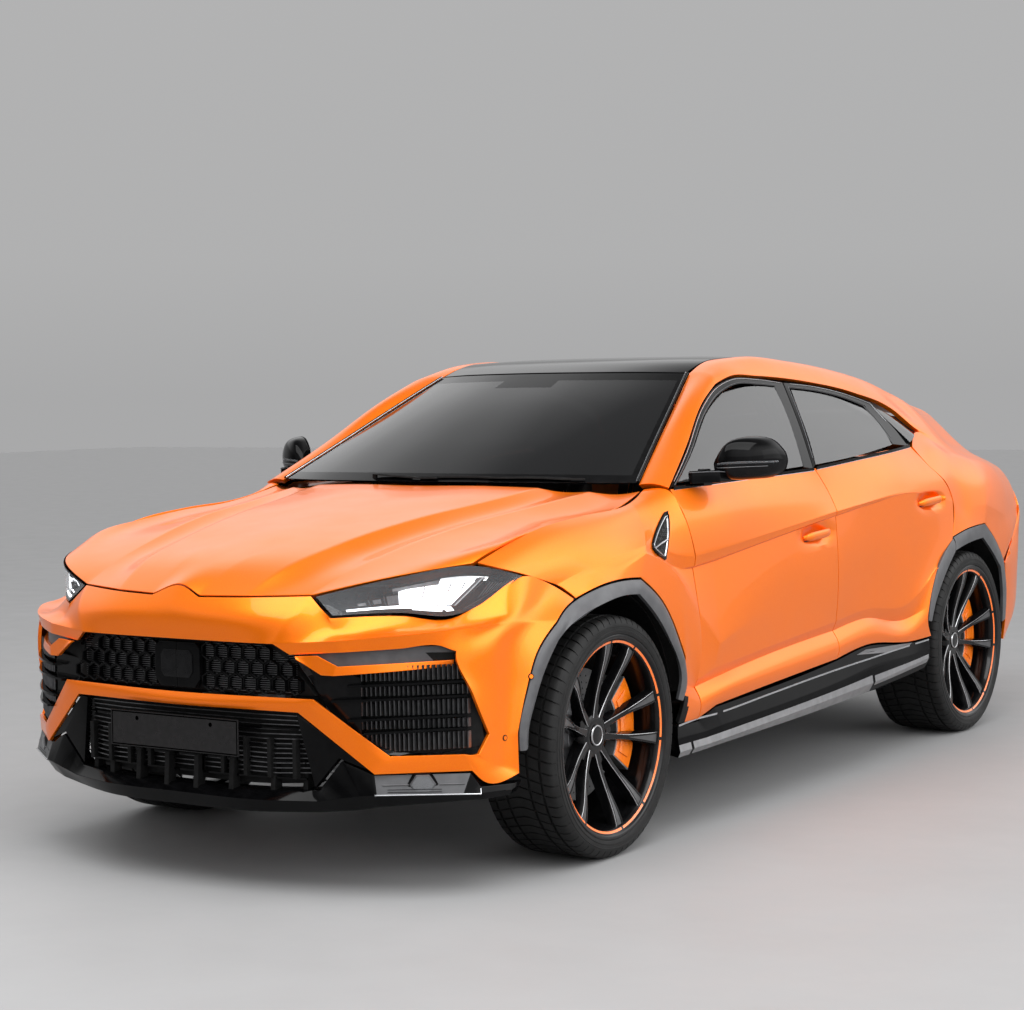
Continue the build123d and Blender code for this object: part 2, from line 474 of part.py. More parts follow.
MIRR = Grid([
    [(932, RIM_Y(932), 1290), (968, RIM_Y(968), 1324), (1034, RIM_Y(1034), 1335), (1082, RIM_Y(1082), 1320), (1108, RIM_Y(1108), 1290)],
    [(927, -738, 1268), (962, -742, 1306), (1030, -708, 1314), (1088, -656, 1300), (1116, RIM_Y(1116), 1275)],
    [(923, -754, 1240), (958, -760, 1246), (1030, -730, 1250), (1092, -668, 1250), (1121, RIM_Y(1121), 1250)],
    [(927, -747, 1210), (962, -750, 1204), (1030, -718, 1206), (1086, -662, 1210), (1116, RIM_Y(1116), 1222)],
    [(933, RIM_Y(933), 1194), (966, RIM_Y(966), 1184), (1028, RIM_Y(1028), 1184), (1078, RIM_Y(1078), 1192), (1106, RIM_Y(1106), 1206)],
])
ARM = [(897, -896), (914, -900), (966, -792), (966, -706), (930, -722), (897, -800)]


def mirror_back(d=18.0):
    """flat rear plane of the mirror shell, leaning outboard"""
    P = MIRR.P.copy()
    P[:, :, 1] = RIM_Y(P[:, :, 0]) + d
    c = P[2, 2].copy()
    P[1:-1, 1:-1] = c + (P[1:-1, 1:-1] - c) * 0.9
    return MIRR.like(P)


SKIRT = Grid([
    [(967, -1110, 364), (962, -957, 362), (961, -833, 394), (959, 165, 446), (961, 430, 472), (978, 850, 445), (988, 1006, 450)],
    [(985, -1142, 330), (987, -957, 330), (992, -833, 336), (995, 165, 376), (995, 430, 395), (996, 850, 402), (998, 988, 412)],
    [(999, -1152, 285), (1001, -957, 286), (1003, -833, 290), (1003, 165, 325), (1003, 430, 336), (1003, 850, 364), (1003, 975, 372)],
    [(985, -1142, 264), (985, -957, 266), (985, -833, 269), (985, 165, 291), (985, 430, 302), (985, 850, 323), (985, 962, 331)],
], cu=[1, 2], cv=[1, 2])
DIFF = Grid([
    [(0, 2500, 432), (240, 2494, 430), (468, 2463, 417), (656, 2372, 392), (795, 2262, 363), (900, 2062, 343)],
    [(0, 2505, 340), (240, 2500, 340), (470, 2465, 335), (650, 2370, 320), (780, 2250, 300), (885, 2060, 285)],
    [(0, 2440, 250), (240, 2435, 250), (465, 2400, 250), (640, 2320, 250), (770, 2210, 250), (870, 2050, 250)],
], cv=[3])

for g_ in (FFRAME, RFRAME):
    g_.P[0, :, 2] -= 5.0
    g_.P[0, :, 0] -= 2.0
RGLASS.P[:, :, 2] -= 3.0
RGLASS.P[:, 0, 1] += 3.0
QLIGHT.P[0, :, 2] -= 9.0
TLAMP.P[:, 0, 0] += 5.0
for g_ in (SPOILER, GATE):
    g_.P[:, -1, 0] -= 3.0

# the skirt's front end turns inboard behind the steered tyre
SKIRT_IN = np.array([[(-110, 46, 0)] + [(-110, 0, 0)] * 6] * 4, float)

FFRAME.P[0, 0] += (0, 10, -2)
FFRAME.P[0, 1] += (0, 3, -3)
QLIGHT.P[1, 1, 2] += 4.0
FTRIM.P[0, 11:14] = np.array(toward(FT_O, -1551, 392, 13, 2))[11:14]
RGLASS.P[1:, 0, 1] += 5.0


def with_row(g, k, row, crease=True):
    """the grid with one more row after row k"""
    o = Grid.__new__(Grid)
    o.P = np.insert(g.P, k + 1, np.array(row, float), 0)
    o.cu = np.insert(g.cu, k + 1, crease, 0)
    o.cv = np.insert(g.cv, k + 1, g.cv[k], 0)
    o.mask = np.insert(g.mask, k, g.mask[k], 0)
    return o


# undercut below the shoulder line, fading towards the rear
FDOOR = with_row(FDOOR, 3, [(946, -954, 891), (947, -810, 902), (954, -450, 943), (958, 163, 1007)])
RDOOR = with_row(RDOOR, 3, [(958, 169, 1007), (963, 480, 1036), (970, 850, 1063), (979, 1289, 1006)])
FENDER = with_row(FENDER, 4, [(944, -1773, 883), (961, -1643, 917), (973, -1498, 938), (977, -1331, 975), (965, -1203, 941), (949, -1084, 898), (946, -960, 890)], [False, False, False, False, False, False, True])
# lower wedge and shelf of the doors
FDOOR.P[6, :, 0] = [960, 961, 958, 956]
FDOOR.P[7, :, 0] = [948, 947, 944, 941]
FDOOR.P[8, :, 0] = [973, 975, 972, 969]
RDOOR.P[6, :3] = [(956, 171, 600), (960, 450, 622), (976, 810, 612)]
RDOOR.P[7, :3] = [(941, 171, 562), (948, 430, 584), (968, 860, 552)]
RDOOR.P[8, :3] = [(969, 171, 501), (972, 440, 523), (988, 850, 497)]
FENDER.P[7, 6, 0] = 960
FENDER.P[8, 5:, 0] = [970, 948]
FENDER.P[9, 5:, 0] = [982, 973]


def corner_out(P):
    """front corners drawn out along the diagonal, fading towards the centre, the arches and the doors"""
    s = lambda t: np.clip(t, 0, 1) ** 2 * (3 - 2 * np.clip(t, 0, 1))
    x, y, z = P[..., 0], P[..., 1], P[..., 2]
    x0 = 400.0 + 120.0 * s((z - 740.0) / 60.0)
    w = s((x - x0) / (640.0 - x0)) * s((945.0 - x) / 95.0) * s((-1650.0 - y) / 350.0)
    d = np.array([4603.0, -7613.0, 1511.0]) - P
    d = d / np.linalg.norm(d, axis=-1, keepdims=True)
    return P + d * (78.0 * w)[..., None]


for g_ in (HOOD, HLAMP, FENDER, FBUMP, UGRILLE, SGRILLE, LGRILLE, SPLIT, PILL):
    g_.P = corner_out(g_.P)

# ---------------------------------------------------------------- solids from grids
def vec(p):
    return Vector(float(p[0]), float(p[1]), float(p[2]))


def bface(B):
    return Face.make_bezier_surface([[vec(B[i, j]) for j in range(B.shape[1])] for i in range(B.shape[0])])


def shell_faces(g, h):
    """faces of the closed skin between the outer grid g and the inner grid h"""
    A, C = g.nets(), h.nets()
    faces = []
    for k, B in A.items():
        faces.append(bface(B))
        faces.append(bface(C[k]))
    n, m = g.mask.shape
    on = lambda i, j: 0 <= i < n and 0 <= j < m and g.mask[i, j]
    for (i, j), B in A.items():
        D = C[i, j]
        for (di, dj, s) in ((-1, 0, lambda q: q[0, :]), (1, 0, lambda q: q[3, :]), (0, -1, lambda q: q[:, 0]), (0, 1, lambda q: q[:, 3])):
            if on(i + di, j + dj):
                continue
            a, b = s(B), s(D)
            if np.abs(a[:, 0]).max() < 1e-6 and np.abs(b[:, 0]).max() < 1e-6:
                continue
            w = np.array([a, a + (b - a) / 3, a + (b - a) * 2 / 3, b])
            faces.append(bface(w))
    return faces


def to_solid(faces):
    s = Solid(Shell(faces))
    if s.volume < 0:
        s = Solid(Shell([f for f in faces]))
        s = -s if hasattr(s, "__neg__") else s
    return s


def mirror_net(g):
    return g.like(g.P * np.array([-1.0, 1.0, 1.0]))


def thick(g, t=None, direction=None, inset=0.0, both=True, centre=False):
    """a panel of the grid's shape; both: left and right; centre: one panel across x = 0"""
    h = g.offset(t=t, direction=direction, inset=0.0)
    if inset:
        h2 = h.offset(t=None, inset=inset)
        if centre:
            sel = np.abs(np.nan_to_num(g.P[:, :, 0], nan=9e9)) < 1e-6
            Q = h2.P.copy()
            Q[sel, 0] = 0.0
            h2 = g.like(Q)
        h = h2
    if centre:
        sel = np.abs(np.nan_to_num(g.P[:, :, 0], nan=9e9)) < 1e-6
        h.P[sel, 0] = 0.0
        return [to_solid(shell_faces(g, h) + shell_faces(mirror_net(g), mirror_net(h)))]
    out = [to_solid(shell_faces(g, h))]
    if both:
        out.append(to_solid(shell_faces(mirror_net(g), mirror_net(h))))
    return out


def bx(x0, x1, y0, y1, z0, z1):
    return Pos((x0 + x1) / 2, (y0 + y1) / 2, (z0 + z1) / 2) * Box(abs(x1 - x0), abs(y1 - y0), abs(z1 - z0))


def mir(s):
    return mirror(s, about=Plane.YZ)


def prism_x(pts, x0, x1):
    """polygon in the Y-Z plane, drawn out from x0 to x1"""
    f = make_face(Polyline(*[(0, p[0], p[1]) for p in pts], close=True))
    return Pos(x0, 0, 0) * extrude(f, amount=(x1 - x0), dir=(1, 0, 0))


def prism_y(pts, y0, y1):
    """polygon in the X-Z plane, drawn out from y0 to y1"""
    f = make_face(Polyline(*[(p[0], 0, p[1]) for p in pts], close=True))
    return Pos(0, y0, 0) * extrude(f, amount=(y1 - y0), dir=(0, 1, 0))


def revolve_x(pts, cx, cy, cz):
    """profile of (x offset, radius) turned about the X-parallel line through the point"""
    f = make_face(Polyline(*[(p[0], 0, p[1]) for p in pts], close=True))
    return Pos(cx, cy, cz) * revolve(f, axis=Axis.X, revolution_arc=360)


def put(name, items):
    items = items if isinstance(items, (list, tuple)) else [items]
    sol = []
    for it in items:
        if isinstance(it, Solid):
            sol.append(it)
        else:
            sol.extend(it.solids())
    c = Compound(children=sol) if len(sol) > 1 else sol[0]
    export_step(c, "parts/%s.step" % name)
    print(name, len(sol), [round(s.volume / 1e3) for s in sol])


os.makedirs("parts", exist_ok=True)

# ---------------------------------------------------------------- outer skin
put("front_fenders", thick(FENDER, t=-16, inset=4))
put("body_sides", thick(SIDE, t=-20, inset=4))
put("hood", thick(HOOD, direction=(0, 8, -PANEL_T), inset=24, centre=True))
put("roof_panel", thick(ROOF, direction=(0, 0, -PANEL_T), inset=4, centre=True))
put("windshield", thick(WSCREEN, direction=(0, 3, -5.5), inset=0, centre=True))
put("front_bumper", thick(FBUMP, t=-12, inset=0, centre=True))
put("rear_bumper", thick(RBUMP, t=12, inset=0, centre=True))
put("tailgate", thick(SPOILER, direction=(0, 4, -18), inset=8, centre=True) + thick(GATE, direction=(0, -34, -6), inset=6, centre=True))
put("rear_window", thick(REARGL, direction=(0, -3, -5), centre=True))
put("front_arch_trims", thick(FTRIM, t=-14))
put("rear_arch_trims", thick(RTRIM_B, t=-14))
put("headlights", thick(HLAMP, direction=HLAMP_IN, inset=0))
put("taillights", thick(TLAMP, direction=(-16, -32, 0), inset=2))
put("front_grilles", thick(UGRILLE, direction=(0, 24, 0), centre=True) + thick(SGRILLE, direction=(-16, 22, 0)) + thick(LGRILLE, direction=(0, 24, 0), centre=True))
put("front_splitter", thick(SPLIT, direction=(-8, 50, 4), centre=True) + thick(PILL, direction=(0, 22, 0)))
put("side_skirts", thick(SKIRT, direction=SKIRT_IN, inset=6))
TIPS = [(-640, 2345), (-510, 2400), (510, 2400), (640, 2345)]
diffuser = thick(DIFF, direction=(0, -40, 6), centre=True)[0]
for tx, ty in TIPS:
    diffuser = diffuser - Pos(tx, ty, 350) * Rot(90, 0, 0) * Cylinder(52, 150)
put("rear_diffuser", diffuser)
put("quarter_lights", thick(QLIGHT, direction=(-14, 0, -4)))

# ---------------------------------------------------------------- doors
for side, tag in ((0, "left"), (1, "right")):
    put("front_door_%s" % tag, [thick(FDOOR, direction=(-DOOR_T, 0, 0), inset=20)[side], thick(FFRAME, direction=(-FRAME_T, 0, -28), inset=5)[side]])
    put("rear_door_%s" % tag, [thick(RDOOR, direction=(-DOOR_T, 0, 0), inset=20)[side], thick(RFRAME, direction=(-FRAME_T, 0, -28), inset=5)[side],
                               thick(RTRIM_D, direction=(-16, 0, 0))[side]])
    put("front_door_glass_%s" % tag, thick(FGLASS, direction=(-GLASS_T, 0, 0))[side])
    put("rear_door_glass_%s" % tag, thick(RGLASS, direction=(-GLASS_T, 0, 0))[side])
    sg = 1 - 2 * side

# ---------------------------------------------------------------- mirrors
# swept shell on an arm that stands on the front door's belt
def mirror_solid():
    foot = prism_x([(-842, 1166), (-782, 1166), (-790, 1226), (-836, 1226)], 902, 930)
    arm = extrude(make_face(Polyline(*[(p[0], p[1], 1176) for p in ARM], close=True)), amount=46, dir=(0, 0, 1))
    shell = to_solid(shell_faces(MIRR, mirror_back()))
    return foot + arm + shell


mir_l = mirror_solid()
put("mirror_left", mir_l)
put("mirror_right", mir(mir_l))

# ---------------------------------------------------------------- wheels
def rim_solid(w):
    """barrel, dished face with five openings, hub and brake disc; outboard is +X"""
    h = w / 2
    barrel = revolve_x([(-h + 4, RIM_R - 2), (h - 6, RIM_R - 2), (h - 6, RIM_R + 8), (h - 2, RIM_R + 8), (h - 2, RIM_R - 22), (h - 34, RIM_R - 30),
                        (-h + 24, RIM_R - 22), (-h + 4, RIM_R - 12)], 0, 0, 0)
    face = revolve_x([(h - 40, RIM_R - 20), (h - 14, RIM_R - 24), (h - 62, 84), (h - 76, 60), (h - 76, 0), (h - 120, 0), (h - 120, 84), (h - 92, 100)], 0, 0, 0)
    for k in range(5):
        a0 = 5 + 72 * k
        for c, hw0, hw1, r0, r1 in ((a0, 3.0, 9.5, 120, 292), (a0 + 36, 7.0, 17.5, 112, 292)):
            pts = []
            for rr, ww in ((r0, hw0), (r1, hw1)):
                for sgn in ((-1, 1) if rr == r0 else (1, -1)):
                    an = np.radians(c + sgn * ww)
                    pts.append((rr * np.cos(an), rr * np.sin(an)))
            face = face - prism_x(pts, h - 160, h)
    disc = revolve_x([(h - 178, 215), (h - 142, 215), (h - 142, 110), (h - 121, 100), (h - 121, 40), (h - 150, 40), (h - 150, 105), (h - 178, 110)], 0, 0, 0)
    return [(barrel + face), disc]


def tyre_solid(w, r):
    h = w / 2
    return revolve_x([(-h + 6, RIM_R - 0.5), (h - 7, RIM_R - 0.5), (h - 7, RIM_R + 9), (h - 2, RIM_R + 12), (h, RIM_R + 28), (h - 4, r - 22), (h - 16, r - 7), (h - 34, r - 1), (h - 60, r),
                      (-h + 60, r), (-h + 34, r - 1), (-h + 16, r - 7), (-h + 4, r - 22), (-h, RIM_R + 28), (-h + 2, RIM_R + 12), (-h + 6, RIM_R + 9)], 0, 0, 0)


for tag, x, y, w in (("front_left", FRONT_WHEEL_X, FRONT_AXLE_Y, FRONT_TYRE_W), ("rear_left", REAR_WHEEL_X, REAR_AXLE_Y, REAR_TYRE_W)):
    ri = [Pos(x, y, TYRE_R) * s for s in rim_solid(w)]
    ty = Pos(x, y, TYRE_R) * tyre_solid(w, TYRE_R)
    put("rim_" + tag, ri)
    put("tyre_" + tag, ty)
    put("rim_" + tag.replace("left", "right"), [mir(s) for s in ri])
    put("tyre_" + tag.replace("left", "right"), mir(ty))


# ---------------------------------------------------------------- knuckles with brake calipers
def arc_block(r0, r1, a0, a1, x0, x1, n=8):
    an = np.radians(np.linspace(a0, a1, n))
    pts = [(r1 * np.cos(a), r1 * np.sin(a)) for a in an] + [(r0 * np.cos(a), r0 * np.sin(a)) for a in an[::-1]]
    return prism_x(pts, x0, x1)


def caliper(x0, h):
    """bridge over the disc's rear edge; the disc turns in its slot"""
    a = arc_block(150, 262, -34, 40, x0 + h - 212, x0 + h - 92)
    slot = arc_block(100, 232, -60, 60, x0 + h - 190, x0 + h - 130, 10)
    return a - slot


def knuckle(x0, w, kx):
    h = w / 2
    dx = x0 + h
    arm = prism_x([(-58, -150), (58, -150), (66, 0), (46, 178), (-46, 178), (-66, 0)], kx - 34, kx + 18)
    arm = arm + prism_x([(140, -70), (250, -70), (250, 90), (140, 90)], kx - 34, kx - 4)
    stub = Pos((kx + dx - 150) / 2 - 4, 0, 0) * Rot(0, 90, 0) * Cylinder(34, dx - 150 - kx + 20)
    cal = caliper(x0, h)
    bracket = prism_x([(150, -40), (240, -40), (240, 50), (150, 50)], kx - 20, dx - 205)
    return arm + stub + cal + bracket


kn_f = Pos(0, FRONT_AXLE_Y, TYRE_R) * knuckle(FRONT_WHEEL_X, FRONT_TYRE_W, KINGPIN_X - 25)
kn_r = Pos(0, REAR_AXLE_Y, TYRE_R) * knuckle(REAR_WHEEL_X, REAR_TYRE_W, 745)
put("knuckle_front_left", kn_f)
put("knuckle_front_right", mir(kn_f))

# ---------------------------------------------------------------- axles
def arm(p, q, r):
    p, q = Vector(*p), Vector(*q)
    d = q - p
    pl = Plane(origin=(p + q) * 0.5, z_dir=d)
    return pl * Cylinder(r, d.length)


def axle_half(y, xi):
    s = []
    lower = [arm((xi, y - 40, 262), (300, y - 230, 275), 20), arm((xi, y + 40, 262), (300, y + 230, 275), 20)]
    upper = [arm((xi, y - 20, 560), (430, y - 130, 570), 13), arm((xi, y + 20, 560), (430, y + 130, 570), 13)]
    shaft = arm((xi + 10, y, TYRE_R), (110, y, TYRE_R - 6), 17)
    return lower, upper, shaft


def subframe(y, xi):
    beam = bx(-320, 320, y - 260, y - 200, 245, 305) + bx(-320, 320, y + 200, y + 260, 245, 305)
    beam = beam + bx(-330, -270, y - 260, y + 260, 245, 305) + bx(270, 330, y - 260, y + 260, 245, 305)
    diff = Pos(0, y, TYRE_R - 6) * Rot(0, 90, 0) * Cylinder(105, 240)
    body = beam + diff + bx(-60, 60, y - 210, y + 210, 262, 330)
    lo, up, sh = axle_half(y, xi)
    tower = bx(400, 470, y - 165, y + 165, 540, 600) + bx(345, 470, y - 40, y + 40, 262, 600) - bx(330, 400, y - 60, y + 60, 350, 436)
    half = lo[0] + lo[1] + up[0] + up[1] + sh + tower + bx(290, 400, y - 40, y + 40, 262, 318)
    return body + half + mir(half)


put("front_axle", subframe(FRONT_AXLE_Y, 672))
rear = subframe(REAR_AXLE_Y, 715)
put("rear_axle", rear + kn_r + mir(kn_r))

# ---------------------------------------------------------------- structure
floor = bx(-738, 738, -1058, 962, 250, 278) + bx(-150, 150, -1058, 350, 250, 400) + bx(-560, 560, 950, 1120, 250, 278)
floor = floor + prism_x([(1092, 250), (1120, 250), (1150, 640), (1122, 640)], -560, 560) + bx(-560, 560, 1122, 2250, 612, 640)
floor = floor + bx(-560, 560, 2222, 2250, 300, 640) + bx(-738, 738, -1060, -1034, 250, 1040)
put("floor_pan", floor)
cowl = prism_x([(-1060, 1042), (-1034, 1042), (-1012, 1096), (-1030, 1112), (-1180, 1116), (-1190, 1092)], -700, 700)
put("cowl", cowl)
sill = prism_y([(745, 250), (838, 250), (846, 300), (846, 420), (745, 420)], -1055, 960)
pil = prism_y([(770, 422), (846, 422), (852, 900), (792, 1180), (744, 1362), (640, 1512), (600, 1512), (690, 1362), (735, 1180), (790, 900)], 96, 214)
put("sills_and_pillars", [sill + pil, mir(sill + pil)])
put("engine_block", bx(-330, 330, -1860, -1190, 505, 960))


# wheelhouse liners: half rings over each wheel with an inner wall
def liner(y, x0, x1, r, a0, a1):
    an = np.radians(np.linspace(a0, a1, 25))
    o = [(y + (r + 5) * np.cos(a), TYRE_R + (r + 5) * np.sin(a)) for a in an]
    i = [(y + r * np.cos(a), TYRE_R + r * np.sin(a)) for a in an[::-1]]
    ring = prism_x(o + i, x0, x1)
    wall = prism_x(o, x0 - 5, x0)
    return ring, wall


lf, lfw = liner(FRONT_AXLE_Y, 505, 925, 478, 12, 172)
lr, lrw = liner(REAR_AXLE_Y, 600, 898, 470, 8, 172)
hole = lambda y: Pos(545, y, TYRE_R + 60) * Rot(0, 90, 0) * Cylinder(215, 200)
lfw = lfw - hole(FRONT_AXLE_Y) - bx(480, 600, FRONT_AXLE_Y - 300, FRONT_AXLE_Y + 300, 200, 480)
lrw = lrw - (Pos(60, 0, 0) * hole(REAR_AXLE_Y)) - bx(540, 660, REAR_AXLE_Y - 300, REAR_AXLE_Y + 300, 200, 480)
put("wheel_liners", [lf + lfw, mir(lf + lfw), lr + lrw, mir(lr + lrw)])

# ---------------------------------------------------------------- cabin
def seat():
    cu = prism_x([(-470, 430), (-500, 500), (-480, 560), (60, 520), (90, 430)], -255, 255)
    ba = prism_x([(50, 470), (70, 540), (215, 1120), (250, 1160), (300, 1150), (320, 1090), (200, 470)], -245, 245)
    he = prism_x([(235, 1170), (240, 1290), (262, 1318), (318, 1312), (338, 1190), (300, 1160)], -130, 130)
    rail = bx(-200, 200, -400, 60, 279, 432)
    return cu + ba + he + rail


st = Pos(385, 0, 0) * seat()
put("front_seats", [st, mir(st)])
rs = prism_x([(560, 280), (560, 560), (590, 600), (1010, 540), (1080, 1080), (1110, 1140), (1170, 1130), (1185, 1060), (1092, 650), (1070, 500), (1070, 280)], -588, 588)
rs = fillet(rs.edges().filter_by(Axis.X).sort_by(Axis.Z)[2:], 14)
for xx in (-390, 0, 390):
    rs = rs + prism_x([(1112, 1120), (1118, 1250), (1140, 1272), (1180, 1268), (1192, 1120)], xx - 115, xx + 115)
put("rear_seat", rs)
dash = prism_x([(-1000, 700), (-1000, 1086), (-950, 1094), (-780, 1064), (-705, 1010), (-690, 900), (-760, 800), (-860, 720)], -728, 728)
dash = fillet(dash.edges().filter_by(Axis.X), 20) + prism_x([(-860, 402), (-860, 790), (-700, 860), (-560, 620), (200, 600), (260, 560), (260, 402)], -125, 125)
whl = Torus(178, 15) + Cylinder(62, 34) + Box(330, 34, 16) + Pos(0, 85, 0) * Box(40, 170, 16)
colm = Pos(0, 0, -110) * Cylinder(36, 190)
sw = Pos(385, -545, 925) * Rot(-68, 0, 0)
put("dashboard", dash - sw * colm)
put("steering_wheel", sw * (whl + colm))
put("exhaust_tips", [Pos(x, y, 350) * Rot(90, 0, 0) * (Cylinder(52, 150) - Cylinder(46, 151)) for x, y in TIPS])

# blank number plates
put("number_plates", [bx(-260, 260, -2554, -2548, 418, 530), bx(-260, 260, 2484, 2490, 740, 852)])
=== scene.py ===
import bpy
import bmesh
import json
import math
import numpy as np
from mathutils import Matrix, Vector


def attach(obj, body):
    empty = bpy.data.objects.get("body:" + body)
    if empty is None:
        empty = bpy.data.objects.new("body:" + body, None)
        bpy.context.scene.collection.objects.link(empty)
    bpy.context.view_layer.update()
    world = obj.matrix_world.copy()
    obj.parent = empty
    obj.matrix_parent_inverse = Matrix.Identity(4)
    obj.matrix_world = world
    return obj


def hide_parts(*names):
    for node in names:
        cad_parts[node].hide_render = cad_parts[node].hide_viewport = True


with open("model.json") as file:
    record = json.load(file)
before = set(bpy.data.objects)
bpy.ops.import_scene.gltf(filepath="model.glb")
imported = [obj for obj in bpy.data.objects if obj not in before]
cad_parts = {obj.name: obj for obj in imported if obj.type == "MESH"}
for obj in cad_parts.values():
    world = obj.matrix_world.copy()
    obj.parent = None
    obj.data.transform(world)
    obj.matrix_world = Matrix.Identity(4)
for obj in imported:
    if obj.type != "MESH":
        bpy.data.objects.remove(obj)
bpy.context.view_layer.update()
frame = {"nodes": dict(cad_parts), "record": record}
NODES = frame["nodes"]
BODY_OF = {n: b for b, ns in frame["record"]["behaviour"]["bodies"].items() for n in ns}

# ---------------------------------------------------------------- surface grids
# A panel is a grid of points on its surface. Every cell of the grid is one
# bicubic patch; neighbouring patches share their edges and tangents except
# along the stated crease rows or columns.


def line_tan(p, brk):
    k = len(p)
    TL = np.zeros((k, 3)); TR = np.zeros((k, 3))
    ok = ~np.isnan(p[:, 0])
    i = 0
    while i < k:
        if not ok[i]:
            i += 1
            continue
        j = i
        while j + 1 < k and ok[j + 1]:
            j += 1
        cuts = [i] + [q for q in range(i + 1, j) if brk[q]] + [j]
        for a, b in zip(cuts[:-1], cuts[1:]):
            q = p[a:b + 1]
            v = np.diff(q, axis=0)
            d = np.maximum(np.linalg.norm(v, axis=1), 1e-6)
            s = v / d[:, None]
            n = len(q)
            if n == 2:
                TR[a] = s[0]; TL[b] = s[0]
                continue
            T = np.zeros((n, 3))
            for m in range(1, n - 1):
                T[m] = (d[m - 1] * s[m] + d[m] * s[m - 1]) / (d[m - 1] + d[m])
            T[0] = 1.5 * s[0] - 0.5 * T[1]
            T[-1] = 1.5 * s[-1] - 0.5 * T[-2]
            TR[a] = T[0]; TL[b] = T[-1]
            for m in range(1, n - 1):
                TR[a + m] = T[m]; TL[a + m] = T[m]
        i = j + 1
    return TL, TR


